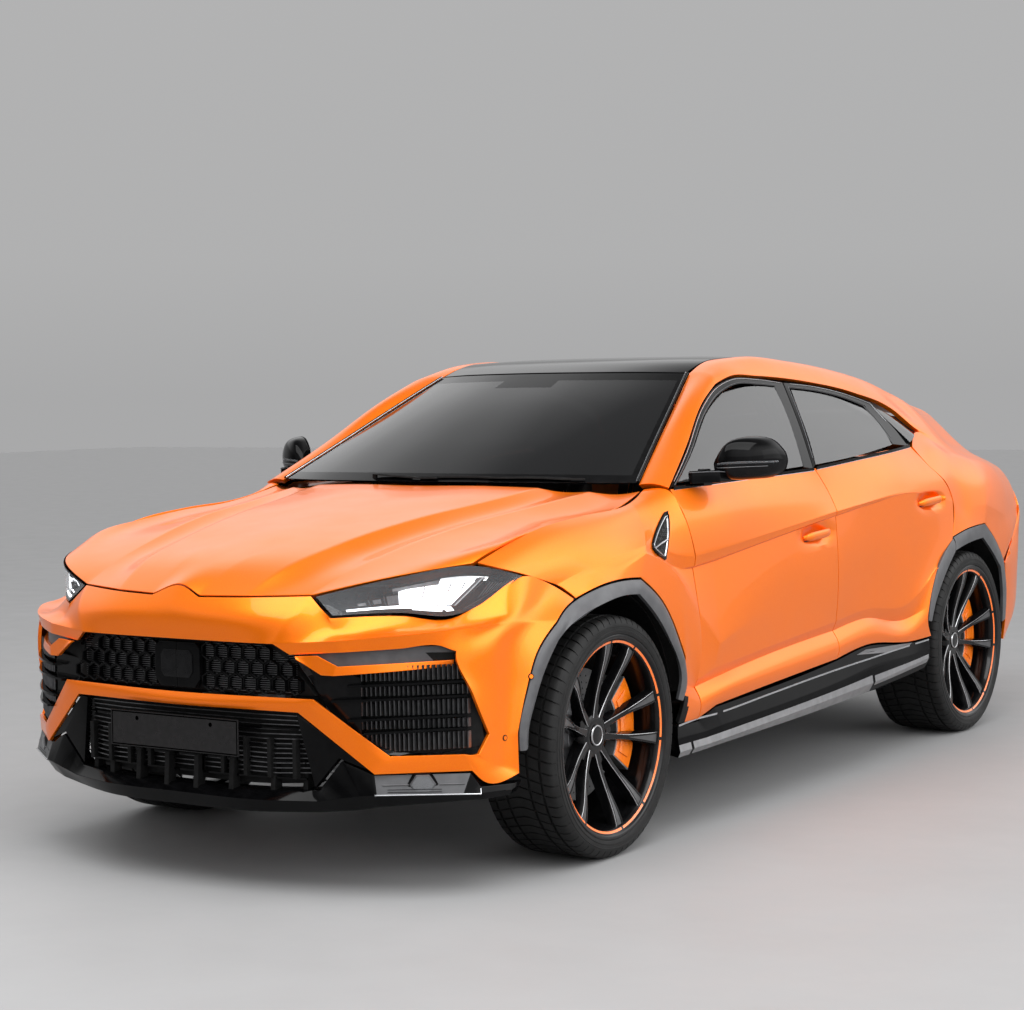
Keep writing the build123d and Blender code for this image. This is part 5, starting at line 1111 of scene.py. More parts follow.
def scoop(mesh, yc, zc, a, b, depth):
    """presses a hand cup into the outer skin"""
    V = mesh.v[0]
    q = 1 - ((V[:, 1] - yc) / a) ** 4 - ((V[:, 2] - zc) / b) ** 2
    q = np.clip(q, 0, 1)
    V[:, 0] -= depth * (q * q * (3 - 2 * q)) * (V[:, 0] > 900)


fdoor = panel(FDOOR, off(FDOOR, direction=(-88, 0, 0), inset=20), N=14)
scoop(fdoor, 0, 945, 132, 40, 20)
fdoor.join(panel(FFRAME, off(FFRAME, direction=(-40, 0, -28), inset=5), N=8, mo=3, mi=2))
split_sides(fdoor, "front_door", PAINT, "front_door_{}", "front_door_{}", "paint")
rdoor = panel(RDOOR, off(RDOOR, direction=(-88, 0, 0), inset=20), N=14)
scoop(rdoor, 1066, 1022, 138, 42, 20)
rdoor.join(panel(RFRAME, off(RFRAME, direction=(-40, 0, -28), inset=5), N=8, mo=3, mi=2))
rdoor.join(panel(RTRIM_D, off(RTRIM_D, direction=(-16, 0, 0)), N=8, mo=5, mi=2))
split_sides(rdoor, "rear_door", PAINT, "rear_door_{}", "rear_door_{}", "paint")
split_sides(panel(FGLASS, off(FGLASS, direction=(-4, 0, 0)), N=8, r=0.4, rn=0.8), "front_door_glass", ["side_glass", "side_glass"], "front_door_{}", "front_door_glass_{}", "dark_glass")
split_sides(panel(RGLASS, off(RGLASS, direction=(-4, 0, 0)), N=8, r=0.4, rn=0.8), "rear_door_glass", ["side_glass", "side_glass"], "rear_door_{}", "rear_door_glass_{}", "dark_glass")
# ---------------------------------------------------------------- wheels
# light grey metal for the edge chamfers of the spokes and the hub cap: a painted highlight standing in for the glints
# along those edges
finish_mat("wheel_edge_painted_highlight", (0.42, 0.42, 0.43), (0.52, 0.52, 0.53), (0.2, 0.28), 0.9, 60.0, 0.4, 0.05)
TR = 392.0


def tyre_mesh(cx, cy, h):
    half = [(h - 9, 322.5, 0), (h - 5.5, 330, 0), (h - 2.4, 333.5, 0), (h - 1.6, 338, 0), (h - 0.6, 341, 0), (h - 0.6, 344, 0), (h - 2.2, 345.5, 0), (h - 1.8, 351, 0), (h - 1.9, 356, 0),
            (h - 1.0, 357, 0), (h - 1.3, 359, 0), (h - 2.8, 360, 0), (h - 3.6, 365, 0), (h - 5.2, 369, 1), (h - 7.6, 374.5, 1), (h - 10.5, 379.5, 1), (h - 15, 384.5, 2), (h - 21, 387.8, 2), (h - 30, 389.8, 2), (h - 40, 390.9, 2)]
    gw, wall = 5.0, 0.6
    gr = [h - 44, h * 0.36]
    prof = list(half)
    for gx in gr:
        prof += [(gx, 391.2, 2), (gx - wall, 384.5, 0), (gx - 2 * gw + wall, 384.5, 0), (gx - 2 * gw, 391.4, 2)]
        if gx == gr[0]:
            prof += [((gx - 2 * gw) * 0.5 + gr[1] * 0.5, 391.8, 3)]
    prof += [(8, 392.0, 3)]
    full = prof + [(-x, r, k) for x, r, k in prof[::-1]]
    full += [(-h + 12, 320.5, 0), (h - 12, 320.5, 0)]
    pr = np.array(full)
    nb = 64
    an, slot_ = [], []
    for b in range(nb):
        a0 = 2 * np.pi * b / nb
        w_ = 2 * np.pi / nb
        for f, s in ((0.0, 0), (0.80, 0), (0.815, 1), (0.94, 1), (0.955, 0)):
            an.append(a0 + f * w_)
            slot_.append(s)
    an = np.array(an); slot_ = np.array(slot_)
    na, k = len(an), len(pr)
    V = np.zeros((na, k, 3))
    for j in range(k):
        x, r, kind = pr[j]
        skew = (x / h) * 0.10 * (1 if kind == 3 else 1)
        d = np.zeros(na)
        if kind == 2:
            d = slot_ * 5.0
        elif kind == 3:
            d = slot_ * 4.5
        elif kind == 1:
            d = slot_ * 1.6
        a = an + (abs(skew) if kind in (1, 2, 3) else abs(skew))
        rr = r - d * (1.0 if kind != 1 else 0.8)
        xx = x - (np.sign(x) * d * 0.7 if kind == 1 else 0)
        V[:, j, 0] = cx + xx
        V[:, j, 1] = cy + rr * np.cos(a)
        V[:, j, 2] = TR + rr * np.sin(a)
    F = []
    for i in range(na):
        i2 = (i + 1) % na
        for j in range(k):
            j2 = (j + 1) % k
            F.append((i * k + j, i * k + j2, i2 * k + j2, i2 * k + j))
    return Mesh().add(V.reshape(-1, 3), F, 0)


RM = ["wheel_black", "wheel_grey", "wheel_edge_painted_highlight", "pin_orange", "carbon_ceramic", "dark_metal", "matt_black", "silver"]


def at_wheel(M_, cx, cy):
    return M_.moved(lambda V: V + np.array([cx, cy, TR]))


def spoke(h, c, sgn):
    st = [(38, 13), (56, 11), (90, 8.4), (130, 7.0), (170, 7.4), (205, 10), (240, 13.5), (272, 17), (297, 20)]
    tw = lambda q: max(0.0, (q - 168) / (297 - 168)) * 14.5
    xf = lambda q: np.interp(q, [38, 60, 95, 130, 170, 205, 240, 272, 300], [h - 80, h - 79, h - 75, h - 68, h - 57, h - 45, h - 33, h - 25, h - 21])
    dep = lambda q: np.interp(q, [38, 120, 297], [46, 40, 26])
    u = np.array([0, math.cos(c), math.sin(c)])
    v = np.array([0, -math.sin(c), math.cos(c)]) * sgn
    V = []
    for q, w in st:
        l = 12 + (q - 38) * (61.0 / 259.0)
        x, d, t = xf(q), dep(q), tw(q)
        rec = 2.2 * min(1.0, t / 9.0)
        row = [(-w - 9, x - d), (-w - 6.5, x - 15), (-w - 1.7, x - 1.6), (-w, x), (-t - 0.6, x + 0.2), (-t, x - rec), (t, x - rec), (t + 0.6, x + 0.2), (w, x), (w + 1.7, x - 1.6), (w + 6.5, x - 15), (w + 9, x - d)]
        for a, xx in row:
            V.append(u * q + v * (l + a) + np.array([xx, 0, 0]))
    k = 12
    F, ms = [], []
    # slots 2 and 8 are the chamfers along the spoke face edges, given the painted edge highlight metal
    mt = [0, 0, 2, 0, 0, 1, 0, 0, 2, 0, 0, 0]
    for i in range(len(st) - 1):
        for j in range(k):
            j2 = (j + 1) % k
            f = (i * k + j, i * k + j2, (i + 1) * k + j2, (i + 1) * k + j)
            F.append(f if sgn > 0 else f[::-1])
            ms.append(mt[j] if not (mt[j] == 1 and st[i][0] < 165) else 0)
    for base in (0, (len(st) - 1) * k):
        f = tuple(base + j for j in range(k))
        F.append(f); ms.append(0)
    return Mesh().add(V, F, ms)


def rim_mesh(h):
    me = Mesh()
    # barrel and lip; the orange line is broken at the ten spoke tips
    prof = [(-h + 4, 321.5), (-h + 4, 329), (-h + 9, 329), (-h + 11, 320), (-h + 13, 306), (-h + 30, 297), (h - 60, 291), (h - 34, 295), (h - 21, 299.5), (h - 17.5, 301.5), (h - 15.5, 303.2), (h - 12.5, 310.6),
            (h - 11, 312.5), (h - 7, 315), (h - 4.5, 318), (h - 2.6, 323), (h - 2.4, 328), (h - 4.0, 330), (h - 6, 329), (h - 7, 321.5), (0, 316)]
    mt = [0] * len(prof)
    nseg = 360
    rg = lathe(prof, 0, 0, 0, n=nseg, mats=mt)
    kk = len(prof)
    tips = [math.radians(5 + 72 * p + s * 13.8) for p in range(5) for s in (-1, 1)]
    ms = list(rg.m)
    for i in range(nseg):
        a = 2 * math.pi * (i + 0.5) / nseg
        near = min(abs((a - t + math.pi) % (2 * math.pi) - math.pi) for t in tips)
        if near > math.radians(0.9):
            ms[i * kk + 10] = 3
    rg.m = ms
    me.join(rg)
    for p in range(5):
        c = math.radians(5 + 72 * p)
        for s in (-1, 1):
            me.join(spoke(h, c, s))
        # small web between the two spokes of a pair near the hub
        me.join(at_dir(prism([(44, -15), (96, -13), (104, 0), (96, 13), (44, 15)], "x", h - 112, h - 84, 3.0), c))
    # hub
    me.join(lathe([(h - 120, 0.5), (h - 120, 70), (h - 100, 78), (h - 84, 70), (h - 79.5, 60), (h - 78, 46), (h - 80, 37), (h - 80, 0.5)], 0, 0, 0, n=96, mats=[0] * 8))
    # the centre cap's rim faces take the painted edge highlight metal too
    me.join(lathe([(h - 81, 0.5), (h - 81, 34), (h - 77, 35), (h - 74, 33.5), (h - 73.4, 31), (h - 74.4, 29), (h - 74.0, 27.5), (h - 72.8, 15), (h - 72.6, 0.5)], 0, 0, 0, n=72, mats=[0, 0, 2, 2, 2, 0, 0, 0, 0]))
    for p in range(5):
        a = math.radians(41 + 72 * p)
        me.join(lathe([(h - 96, 0.5), (h - 96, 9), (h - 81, 9), (h - 79.5, 8), (h - 79.5, 5.2), (h - 84, 5.0), (h - 84, 0.5)], 0, 52 * math.cos(a), 52 * math.sin(a), n=6, mats=[5] * 7))
    return me


def at_dir(M_, c):
    ca, sa = math.cos(c), math.sin(c)
    R = np.array([[1, 0, 0], [0, ca, sa], [0, -sa, ca]])
    return M_.moved(lambda V: V @ R)


def disc_mesh(h):
    me = lathe([(h - 178, 212), (h - 176, 215), (h - 166, 215), (h - 164.5, 213), (h - 164.5, 150), (h - 155.5, 150), (h - 155.5, 213), (h - 154, 215), (h - 144, 215), (h - 142, 212), (h - 142, 112),
                (h - 135, 106), (h - 124, 100), (h - 122, 96), (h - 122, 42), (h - 150, 42), (h - 150, 104), (h - 178, 112)], 0, 0, 0, n=120, mats=[4] * 10 + [5] * 8)
    # drilled spots on the outer face as shallow rings
    for k in range(36):
        for q, rr in enumerate((128, 148, 168, 190)):
            a = 2 * math.pi * (k + q * 0.25) / 36
            me.join(lathe([(h - 142.4, 3.2), (h - 141.6, 3.2), (h - 141.6, 0.3), (h - 142.4, 0.3)], 0, rr * math.cos(a), rr * math.sin(a), n=8, mats=[6] * 4))
    return me


def caliper_mesh(h):
    bm = []
    a = np.radians(np.linspace(-33, 39, 15))
    ro, ri = 262.5, 156.0
    outer = [(ro * math.cos(t), ro * math.sin(t)) for t in a]
    inner = [(ri * math.cos(t), ri * math.sin(t)) for t in a[::-1]]
    me = prism(outer + inner, "x", h - 127, h - 90.5, 5.0, seg=3)
    # ribs and pads on the outside face
    for a0, a1, r0, r1, e in ((-26, -8, 172, 236, 4.5), (-4, 12, 168, 240, 5.5), (16, 32, 172, 236, 4.5)):
        t = np.radians(np.linspace(a0, a1, 6))
        pp = [(r1 * math.cos(q), r1 * math.sin(q)) for q in t] + [(r0 * math.cos(q), r0 * math.sin(q)) for q in t[::-1]]
        me.join(prism(pp, "x", h - 95, h - 90.5 + e, 3.0, seg=2))
    # bridge over the disc
    for a0, a1 in ((-31, -20), (-6, 12), (26, 37)):
        t = np.radians(np.linspace(a0, a1, 5))
        pp = [(262.5 * math.cos(q), 262.5 * math.sin(q)) for q in t] + [(236 * math.cos(q), 236 * math.sin(q)) for q in t[::-1]]
        me.join(prism(pp, "x", h - 206, h - 110, 3.0, seg=2))
    return me


for tag, cx, cy, w_ in (("front", 848.0, -1551.0, 285.0), ("rear", 838.0, 1452.0, 315.0)):
    h = w_ / 2
    ty = tyre_mesh(cx, cy, h)
    rm = at_wheel(rim_mesh(h), cx, cy)
    dm = at_wheel(disc_mesh(h), cx, cy)
    cal = at_wheel(caliper_mesh(h), cx, cy)
    for sd in ("left", "right"):
        f = (lambda q: q) if sd == "left" else (lambda q: q.mirrored())
        bd = "wheel_%s_%s" % (tag, sd)
        f(ty).make("vis_tyre_%s_%s" % (tag, sd), ["tyre"], bd, "tyre_%s_%s" % (tag, sd), "tyre", sharp=28)
        f(rm).make("vis_rim_%s_%s" % (tag, sd), RM, bd, "rim_%s_%s" % (tag, sd), "wheel_black", sharp=25)
        f(dm).make("vis_brake_disc_%s_%s" % (tag, sd), RM, bd, sharp=30)
        f(cal).make("vis_caliper_%s_%s" % (tag, sd), ["caliper_paint"], "steer_" + sd if tag == "front" else "body", sharp=30)
# ---------------------------------------------------------------- front end details


def bil(g, i0, u, v):
    """point on the grid's first cells: v runs 0..1 over all columns of row i0 + u"""
    n, m = g.P.shape[:2]
    q = v * (m - 1)
    j = min(int(q), m - 2)
    f = q - j
    A = g.P[i0, j] * (1 - f) + g.P[i0, j + 1] * f
    B = g.P[i0 + 1, j] * (1 - f) + g.P[i0 + 1, j + 1] * f
    return A * (1 - u) + B * u


def sheet_from(f, nu, nv, m=0, flip=False):
    V = np.array([[f(i / nu, j / nv) for j in range(nv + 1)] for i in range(nu + 1)])
    F = []
    for i in range(nu):
        for j in range(nv):
            q = (i * (nv + 1) + j, i * (nv + 1) + j + 1, (i + 1) * (nv + 1) + j + 1, (i + 1) * (nv + 1) + j)
            F.append(q[::-1] if flip else q)
    return Mesh().add(V.reshape(-1, 3), F, m)


# --- head lamp: bowl, bezel frame, light modules, light line and clear cover
def hl(v, u, d=0.0):
    """v along the lamp 0..1, u from upper to lower edge, d behind the cover"""
    P = bil(HLAMP, 0, u, v)
    D = bil(HLAMP.like(np.array(HLAMP_IN)), 0, u, v)
    return P + D / 60.0 * d


LM = ["lens_clear", "gloss_black", "lamp_white", "drl_white", "reflector", "satin_trim", "dark_metal", "piano_dark"]
L_, M_ = lattice(HLAMP, 14)


def lampp(v, u, d):
    """point on the curved cover surface, moved back by d"""
    a = u * (L_.shape[0] - 1)
    b = v * (L_.shape[1] - 1)
    i = min(int(a), L_.shape[0] - 2); j = min(int(b), L_.shape[1] - 2)
    fa, fb_ = a - i, b - j
    p = (L_[i, j] * (1 - fa) * (1 - fb_) + L_[i + 1, j] * fa * (1 - fb_) + L_[i, j + 1] * (1 - fa) * fb_ + L_[i + 1, j + 1] * fa * fb_)
    D = HLAMP_IN[0, 0] * (1 - u) + HLAMP_IN[1, 0] * u
    return p + D / np.linalg.norm(D) * d


def lamp_strip(v0, v1, u0, u1, d0, d1, m, nv=24, nu=2, thick=None):
    """band on the lamp; u0,u1 may be functions of v; closed with sides when thick is given"""
    g0 = u0 if callable(u0) else (lambda v: u0)
    g1 = u1 if callable(u1) else (lambda v: u1)
    f = lambda a, b: lampp(v0 + (v1 - v0) * b, g0(v0 + (v1 - v0) * b) * (1 - a) + g1(v0 + (v1 - v0) * b) * a, d0 * (1 - a) + d1 * a)
    s = sheet_from(f, nu, nv, m)
    if thick:
        f2 = lambda a, b: lampp(v0 + (v1 - v0) * b, g0(v0 + (v1 - v0) * b) * (1 - a) + g1(v0 + (v1 - v0) * b) * a, d0 * (1 - a) + d1 * a + thick)
        s.join(sheet_from(f2, nu, nv, m, True))
        for a in (0.0, 1.0):
            s.join(sheet_from(lambda q, b: f(a, b) * (1 - q) + f2(a, b) * q, 1, nv, m, a == 1.0))
        for b in (0.0, 1.0):
            s.join(sheet_from(lambda q, a: f(a, b) * (1 - q) + f2(a, b) * q, 1, nu, m, b == 0.0))
    return s


hm = Mesh()
# cover glass and black rim band
hm.join(sheet_from(lambda u, v: lampp(v, u, 0.0), 14, 56, 0))
hm.join(lamp_strip(0, 1, 0.0, lambda v: 0.055 + 0.02 * v, 0.6, 0.6, 1, 56, 1, 14))
hm.join(lamp_strip(0, 1, lambda v: 1 - 0.075 - 0.03 * v, 1.0, 0.6, 0.6, 1, 56, 1, 14))
hm.join(lamp_strip(0, 0.035, 0.0, 1.0, 0.7, 0.7, 1, 2, 8, 20))
hm.join(lamp_strip(0.975, 1.0, 0.0, 1.0, 0.7, 0.7, 1, 2, 8, 12))
# bowl
hm.join(lamp_strip(0.0, 1.0, 0.02, 0.98, 58, 50, 7, 40, 8))
for a, b in ((0.0, 0.03), (0.97, 1.0)):
    pass
hm.join(sheet_from(lambda q, v: lampp(v, 0.02, 3 + q * 56), 3, 40, 7))
hm.join(sheet_from(lambda q, v: lampp(v, 0.98, 3 + q * 48), 3, 40, 7, True))
hm.join(sheet_from(lambda q, u: lampp(0.01, u, 3 + q * 52), 3, 8, 7, True))
# light line along the lower edge, then up across to the fender
hm.join(lamp_strip(0.075, 0.60, lambda v: 0.80 - 0.02 * v, lambda v: 0.885 - 0.02 * v, 10, 7, 3, 30, 2, 9))
hm.join(lamp_strip(0.075, 0.60, lambda v: 0.775 - 0.02 * v, lambda v: 0.797 - 0.02 * v, 9, 9, 6, 30, 1, 12))
dg = lambda a: (0.60 + 0.118 * a, 0.80 - 0.68 * a)


def slash(v0, u0, v1, u1, wv, d, m, thick):
    f = lambda a, b: lampp(v0 + (v1 - v0) * b + wv * (a - 0.5), u0 + (u1 - u0) * b, d)
    f2 = lambda a, b: lampp(v0 + (v1 - v0) * b + wv * (a - 0.5), u0 + (u1 - u0) * b, d + thick)
    s = sheet_from(f, 2, 10, m, True)
    s.join(sheet_from(f2, 2, 10, m))
    for a in (0.0, 1.0):
        s.join(sheet_from(lambda q, b: f(a, b) * (1 - q) + f2(a, b) * q, 1, 10, m, a == 0.0))
    return s


hm.join(slash(0.64, 0.80, 0.745, 0.20, 0.030, 8, 5, 22))
hm.join(slash(0.655, 0.80, 0.760, 0.20, 0.012, 6, 4, 10))
hm.join(slash(0.60, 0.80, 0.66, 0.97, 0.05, 9, 3, 8))
# inner light modules: a row of lit bowls under a reflector band, its inboard half in darker metal as painted shade and
# its outboard half bright, dark projector housings inboard
u_div = lambda v: min(0.77, 0.80 - (v - 0.64) / 0.105 * 0.60 - 0.05)
hm.join(lamp_strip(0.325, 0.722, lambda v: 0.27 + 1.1 * max(0.0, 0.36 - v), lambda v: max(u_div(v), 0.28), 20, 14, 2, 40, 4, 18))
# reflector band over the bowls: the inboard half in mid-grey dark metal is painted shade on the same reflector whose
# outboard half stays bright
hm.join(lamp_strip(0.30, 0.52, lambda v: 0.105, lambda v: 0.255, 30, 22, 6, 20, 3, 16))
hm.join(lamp_strip(0.52, 0.775, lambda v: 0.095, lambda v: 0.245, 26, 17, 4, 20, 3, 14))
hm.join(lamp_strip(0.27, 0.33, 0.36, 0.74, 30, 24, 6, 6, 4, 20))
for va in (0.455, 0.585, 0.655):
    hm.join(slash(va, 0.30, va - 0.008, 0.70 if va < 0.6 else 0.55, 0.0035, 12, 6, 6))
for k, (va, vb, ua, ub, dd, mm) in enumerate(((0.125, 0.185, 0.44, 0.72, 34, 7), (0.195, 0.255, 0.40, 0.72, 30, 7))):
    hm.join(lamp_strip(va, vb, ua, ub, dd, dd - 4, mm, 6, 4, 20))
    hm.join(lamp_strip(va + 0.012, vb - 0.012, ua + 0.06, ub - 0.07, dd - 5, dd - 8, 6, 6, 4, 6))
    hm.join(slash(vb + 0.004, ua - 0.02, vb + 0.004, ub + 0.02, 0.004, dd - 9, 6, 24))
hm.join(slash(0.70, 0.93, 0.925, 0.62, 0.008, 4, 5, 4))
# low module under the light line
hm.join(lamp_strip(0.40, 0.585, lambda v: 0.90, lambda v: 0.965, 12, 8, 2, 10, 2, 10))
# dark outer part with fine ribs
for k in range(9):
    va = 0.77 + k * 0.019
    hm.join(slash(va, 0.72 - k * 0.02, va + 0.035, 0.30 + k * 0.01, 0.005, 14, 6, 6))
both_sides(hm).make("vis_headlights", LM, "body", "headlights", "lamp", sharp=28)

# --- grilles: frames, honeycomb and vanes behind the openings
GM = ["matt_black", "gloss_black", "dark_metal", "piano_dark", "plate_blank", "silver", "satin_trim"]
gm = Mesh()
# dark back walls
for g, d in ((UGRILLE, (0, 24, 0)), (LGRILLE, (0, 24, 0)), (SGRILLE, (-16, 22, 0))):
    gm.join(panel(g, off(g, direction=d), N=4, mo=0, mi=0))


def hexcell(cx, cz, y, r, t, depth, ang=0.0, squash=1.0):
    """one honeycomb wall ring facing the front"""
    a = np.radians(np.arange(6) * 60 + ang)
    o = np.stack([cx + r * np.cos(a), np.full(6, y), cz + r * np.sin(a) * squash], 1)
    i = np.stack([cx + (r - t) * np.cos(a), np.full(6, y + 1.5), cz + (r - t) * np.sin(a) * squash], 1)
    ib = i + np.array([0, depth, 0])
    ob = o + np.array([0, depth, 0])
    V = np.concatenate([o, i, ib, ob])
    F = []
    for k in range(6):
        k2 = (k + 1) % 6
        F += [(k, k2, 6 + k2, 6 + k), (6 + k, 6 + k2, 12 + k2, 12 + k), (18 + k2, 18 + k, 12 + k, 12 + k2), (k2, k, 18 + k, 18 + k2)]
    return Mesh().add(V, F, 1)


# upper opening: large honeycomb with fine slats behind, either side of a smooth sensor cover
half = Mesh()
ysurf = lambda x: np.interp(abs(x), [0, 200, 376, 474], [-2528, -2524, -2508, -2482])
for r_ in range(3):
    for c_ in range(9):
        cx = 118 + c_ * 52 + (26 if r_ % 2 else 0)
        cz = 728 - r_ * 46
        lim = 372 if cz > 700 else (410 if cz > 660 else 440)
        if cx < lim and cx > 100:
            half.join(hexcell(cx, cz, ysurf(cx) + 4, 29.5, 3.6, 16, 30))
for k in range(22):
    z = 752 - k * 6.6
    half.join(sweep([(100, -2508, z), (250, -2506, z), (430, -2474, z)], [(-2, -0.8), (2, -0.8), (2, 0.8), (-2, 0.8)], m=2, up=(0, 0, 1)))
# sensor cover in the middle
half.join(prism([(0, 752), (72, 752), (92, 735), (92, 640), (70, 612), (0, 612)], "y", -2530, -2508, 4.0, m=1))
half.join(prism([(0, 728), (52, 728), (64, 712), (64, 660), (50, 642), (0, 642)], "y", -2534, -2526, 3.0, m=3))
# thin frame under the bumper's upper lip
half.join(sweep([(0, -2520, 760), (200, -2517, 760), (374, -2510, 760), (446, -2472, 716)], [(-4, -3), (4, -3), (4, 3), (-4, 3)], m=1))
gm_half = half
# side intake: vertical slats, horizontal vanes and a sloping cheek
ys = lambda x, z: np.interp(x, [430, 560, 700, 806, 862], [-2462, -2372, -2272, -2176, -2128])
for k in range(23):
    x = 590 + k * 11.2
    z1 = 668 if k < 19 else 650
    z0 = np.interp(x, [590, 665, 860], [470, 432, 436])
    for za, zb in ((645, 690), (600, 628), (540, 585), (500, 526), (z0, 486)):
        if zb - za < 8:
            continue
        half.join(prism([(x - 2.0, za), (x + 2.0, za), (x + 2.0, zb), (x - 2.0, zb)], "y", ys(x, 0) - 20, ys(x, 0) - 6, 0.0, m=2))
for z, xa in ((636, 560), (592, 520), (533, 560), (493, 600)):
    p = [(xa, ys(xa, 0) - 30, z - 4), (700, ys(700, 0) - 28, z), (828, ys(828, 0) - 10, z + 2)]
    half.join(sweep(smooth_line(p, 5), [(-15, -1.0), (-9, -4.2), (12, -3.5), (12, 3.5), (-9, 4.2), (-15, 1.0)], m=1))
half.join(prism([(448, 664), (560, 668), (585, 655), (585, 480), (560, 455), (500, 560)], "y", -2420, -2398, 4.0, m=3).moved(lambda V: np.stack([V[:, 0], V[:, 1] + (V[:, 0] - 500) * 0.62, V[:, 2]], 1)))
# lower opening: mesh of thin bars, uprights and brackets
for k in range(13):
    z = 540 - k * 14.5
    xe = np.interp(z, [352, 552], [600, 440]) - 8
    half.join(sweep([(0, -2488, z), (xe * 0.6, -2478, z), (xe, np.interp(xe, [434, 612], [-2462, -2330]), z)], [(-2.5, -1.3), (2.5, -1.3), (2.5, 1.3), (-2.5, 1.3)], m=2))
for x in (62, 150, 238, 326, 414):
    half.join(box_mesh(x - 7, x + 7, -2504, -2482, 352, 470, 2.0).moved(lambda V, x=x: V + np.array([0, (abs(x) / 414) ** 3 * 24, 0])))
half = half.moved(corner_out)
gm = both_sides(half).join(Mesh().join(gm).both())
for m_ in [gm]:
    m_.make("vis_front_grilles", GM, "body", "front_grilles", "gloss_black", sharp=30)

# --- blank number plates with a thin rim
pm = Mesh()
for y0, y1, z0, z1 in ((-2554, -2549.5, 418, 530), (2485.5, 2490, 740, 852)):
    sgn = -1 if y0 < 0 else 1
    pm.join(prism([(-260, z0), (260, z0), (260, z1), (-260, z1)], "y", y0 if sgn < 0 else y0, y1, 1.2, m=0))
    yo = y0 if sgn < 0 else y1
    for za, zb, xa, xb in ((z1 - 7, z1 - 3, -256, 256), (z0 + 3, z0 + 7, -256, 256), (z0 + 3, z1 - 3, -256, -252), (z0 + 3, z1 - 3, 252, 256)):
        pm.join(prism([(xa, za), (xb, za), (xb, zb), (xa, zb)], "y", yo - 0.5 if sgn > 0 else yo + 0.0, yo + 0.0 if sgn > 0 else yo + 0.5, 0.0, m=1))
    for x in (-150, 150):
        pm.join(prism([(x + 7 * math.cos(t), (z0 + z1) / 2 + 34 + 7 * math.sin(t)) for t in np.linspace(0, 2 * np.pi, 12, endpoint=False)], "y", min(yo, yo + sgn * -1.2), max(yo, yo + sgn * -1.2), 0.0, m=1))
pm.make("vis_number_plates", ["plate_blank", "silver"], "body", "number_plates", "plate")
# ---------------------------------------------------------------- exterior details
class Surf:
    """a grid as a height field: position along one axis from the other two"""

    def __init__(self, g, N=14, axes=(1, 2), out=0):
        L, M = lattice(g, N)
        self.P = L[~np.isnan(L[:, :, 0])]
        self.a, self.o = list(axes), out

    def at(self, a, b, d=0.0):
        q = np.array([a, b], float)
        r = self.P[:, self.a] - q
        d2 = (r ** 2).sum(1)
        k = np.argsort(d2)[:7]
        w = 1.0 / (4.0 + d2[k])
        A = np.c_[np.ones(len(k)), r[k]] * w[:, None]
        c = np.linalg.lstsq(A, self.P[k, self.o] * w, rcond=None)[0]
        n = np.zeros(3)
        n[self.o] = 1.0
        n[self.a[0]], n[self.a[1]] = -c[1], -c[2]
        n /= np.linalg.norm(n)
        p = np.zeros(3)
        p[self.o], p[self.a[0]], p[self.a[1]] = c[0], a, b
        return p + n * d

    def line(self, pts, d=0.0):
        return np.array([self.at(p[0], p[1], d) for p in pts])


def seg_pts(pts, step=20.0, closed=False):
    P = [np.asarray(p, float) for p in pts]
    if closed:
        P.append(P[0])
    out = []
    for a, b in zip(P[:-1], P[1:]):
        n = max(1, int(np.linalg.norm(b - a) / step))
        out += [a + (b - a) * k / n for k in range(n)]
    if not closed:
        out.append(P[-1])
    return out


def plate(outer, back, m=0, m_side=None, rim=0.0):
    """closed plate between two matching rings of points, with a fan on each face"""
    A, B = np.asarray(outer, float), np.asarray(back, float)
    n = len(A)
    me = Mesh()
    V = np.concatenate([A, B, [A.mean(0)], [B.mean(0)]])
    F = [(i, (i + 1) % n, 2 * n) for i in range(n)]
    F += [(n + (i + 1) % n, n + i, 2 * n + 1) for i in range(n)]
    F += [(i, n + i, n + (i + 1) % n, (i + 1) % n) for i in range(n)]
    me.add(V, F, [m] * (2 * n) + [m if m_side is None else m_side] * n)
    return me


def tidy(mesh):
    """outward faces on every closed shell"""
    bm = bmesh.new()
    V = np.concatenate(mesh.v)
    vs = [bm.verts.new(v) for v in V]
    keep = []
    for f, m in zip(mesh.f, mesh.m):
        try:
            q = bm.faces.new([vs[i] for i in f])
            q.material_index = m
            keep.append(q)
        except ValueError:
            pass
    bmesh.ops.recalc_face_normals(bm, faces=bm.faces[:])
    bm.verts.index_update()
    o = Mesh()
    o.add([tuple(v.co) for v in bm.verts], [tuple(v.index for v in f.verts) for f in bm.faces], [f.material_index for f in bm.faces])
    bm.free()
    return o


# mirrors: swept shell in two halves, arm, lens strip and glass
Lm, _ = lattice(MIRR, 12)
mm = panel(MIRR, mirror_back(12.0), N=12, r=2.5, rn=5.0, mo=0, mi=0, sel=lambda u, v: 0 if u < 2.0 else 1, x0=False)
ring = np.concatenate([Lm[0, :-1], Lm[:-1, -1], Lm[-1, :0:-1], Lm[:0:-1, 0]])
cen = ring.mean(0)
pl = lambda s, d: np.stack([cen[0] + (ring[:, 0] - cen[0]) * s, RIM_Y(cen[0] + (ring[:, 0] - cen[0]) * s) + d, cen[2] + (ring[:, 2] - cen[2]) * s], 1)
mm.join(tidy(plate(pl(0.90, 10.0), pl(0.88, 15.5), 2, 1)))
mm.join(tidy(plate(pl(1.0, 9.0), pl(0.97, 13.0), 1)))
s_row = smooth_line(Lm[25, 6:46:4], 3)
mm.join(sweep(s_row + np.array([0.6, -1.2, 0.0]), circ(2.6, 8, 1.4), m=3))
mm.join(sweep(smooth_line(Lm[29, 4:40:4], 3) + np.array([0.4, -0.8, 0.0]), circ(1.5, 6), m=4))
mm.join(prism(ARM, "z", 1177, 1221, 7.0, 0, 3))
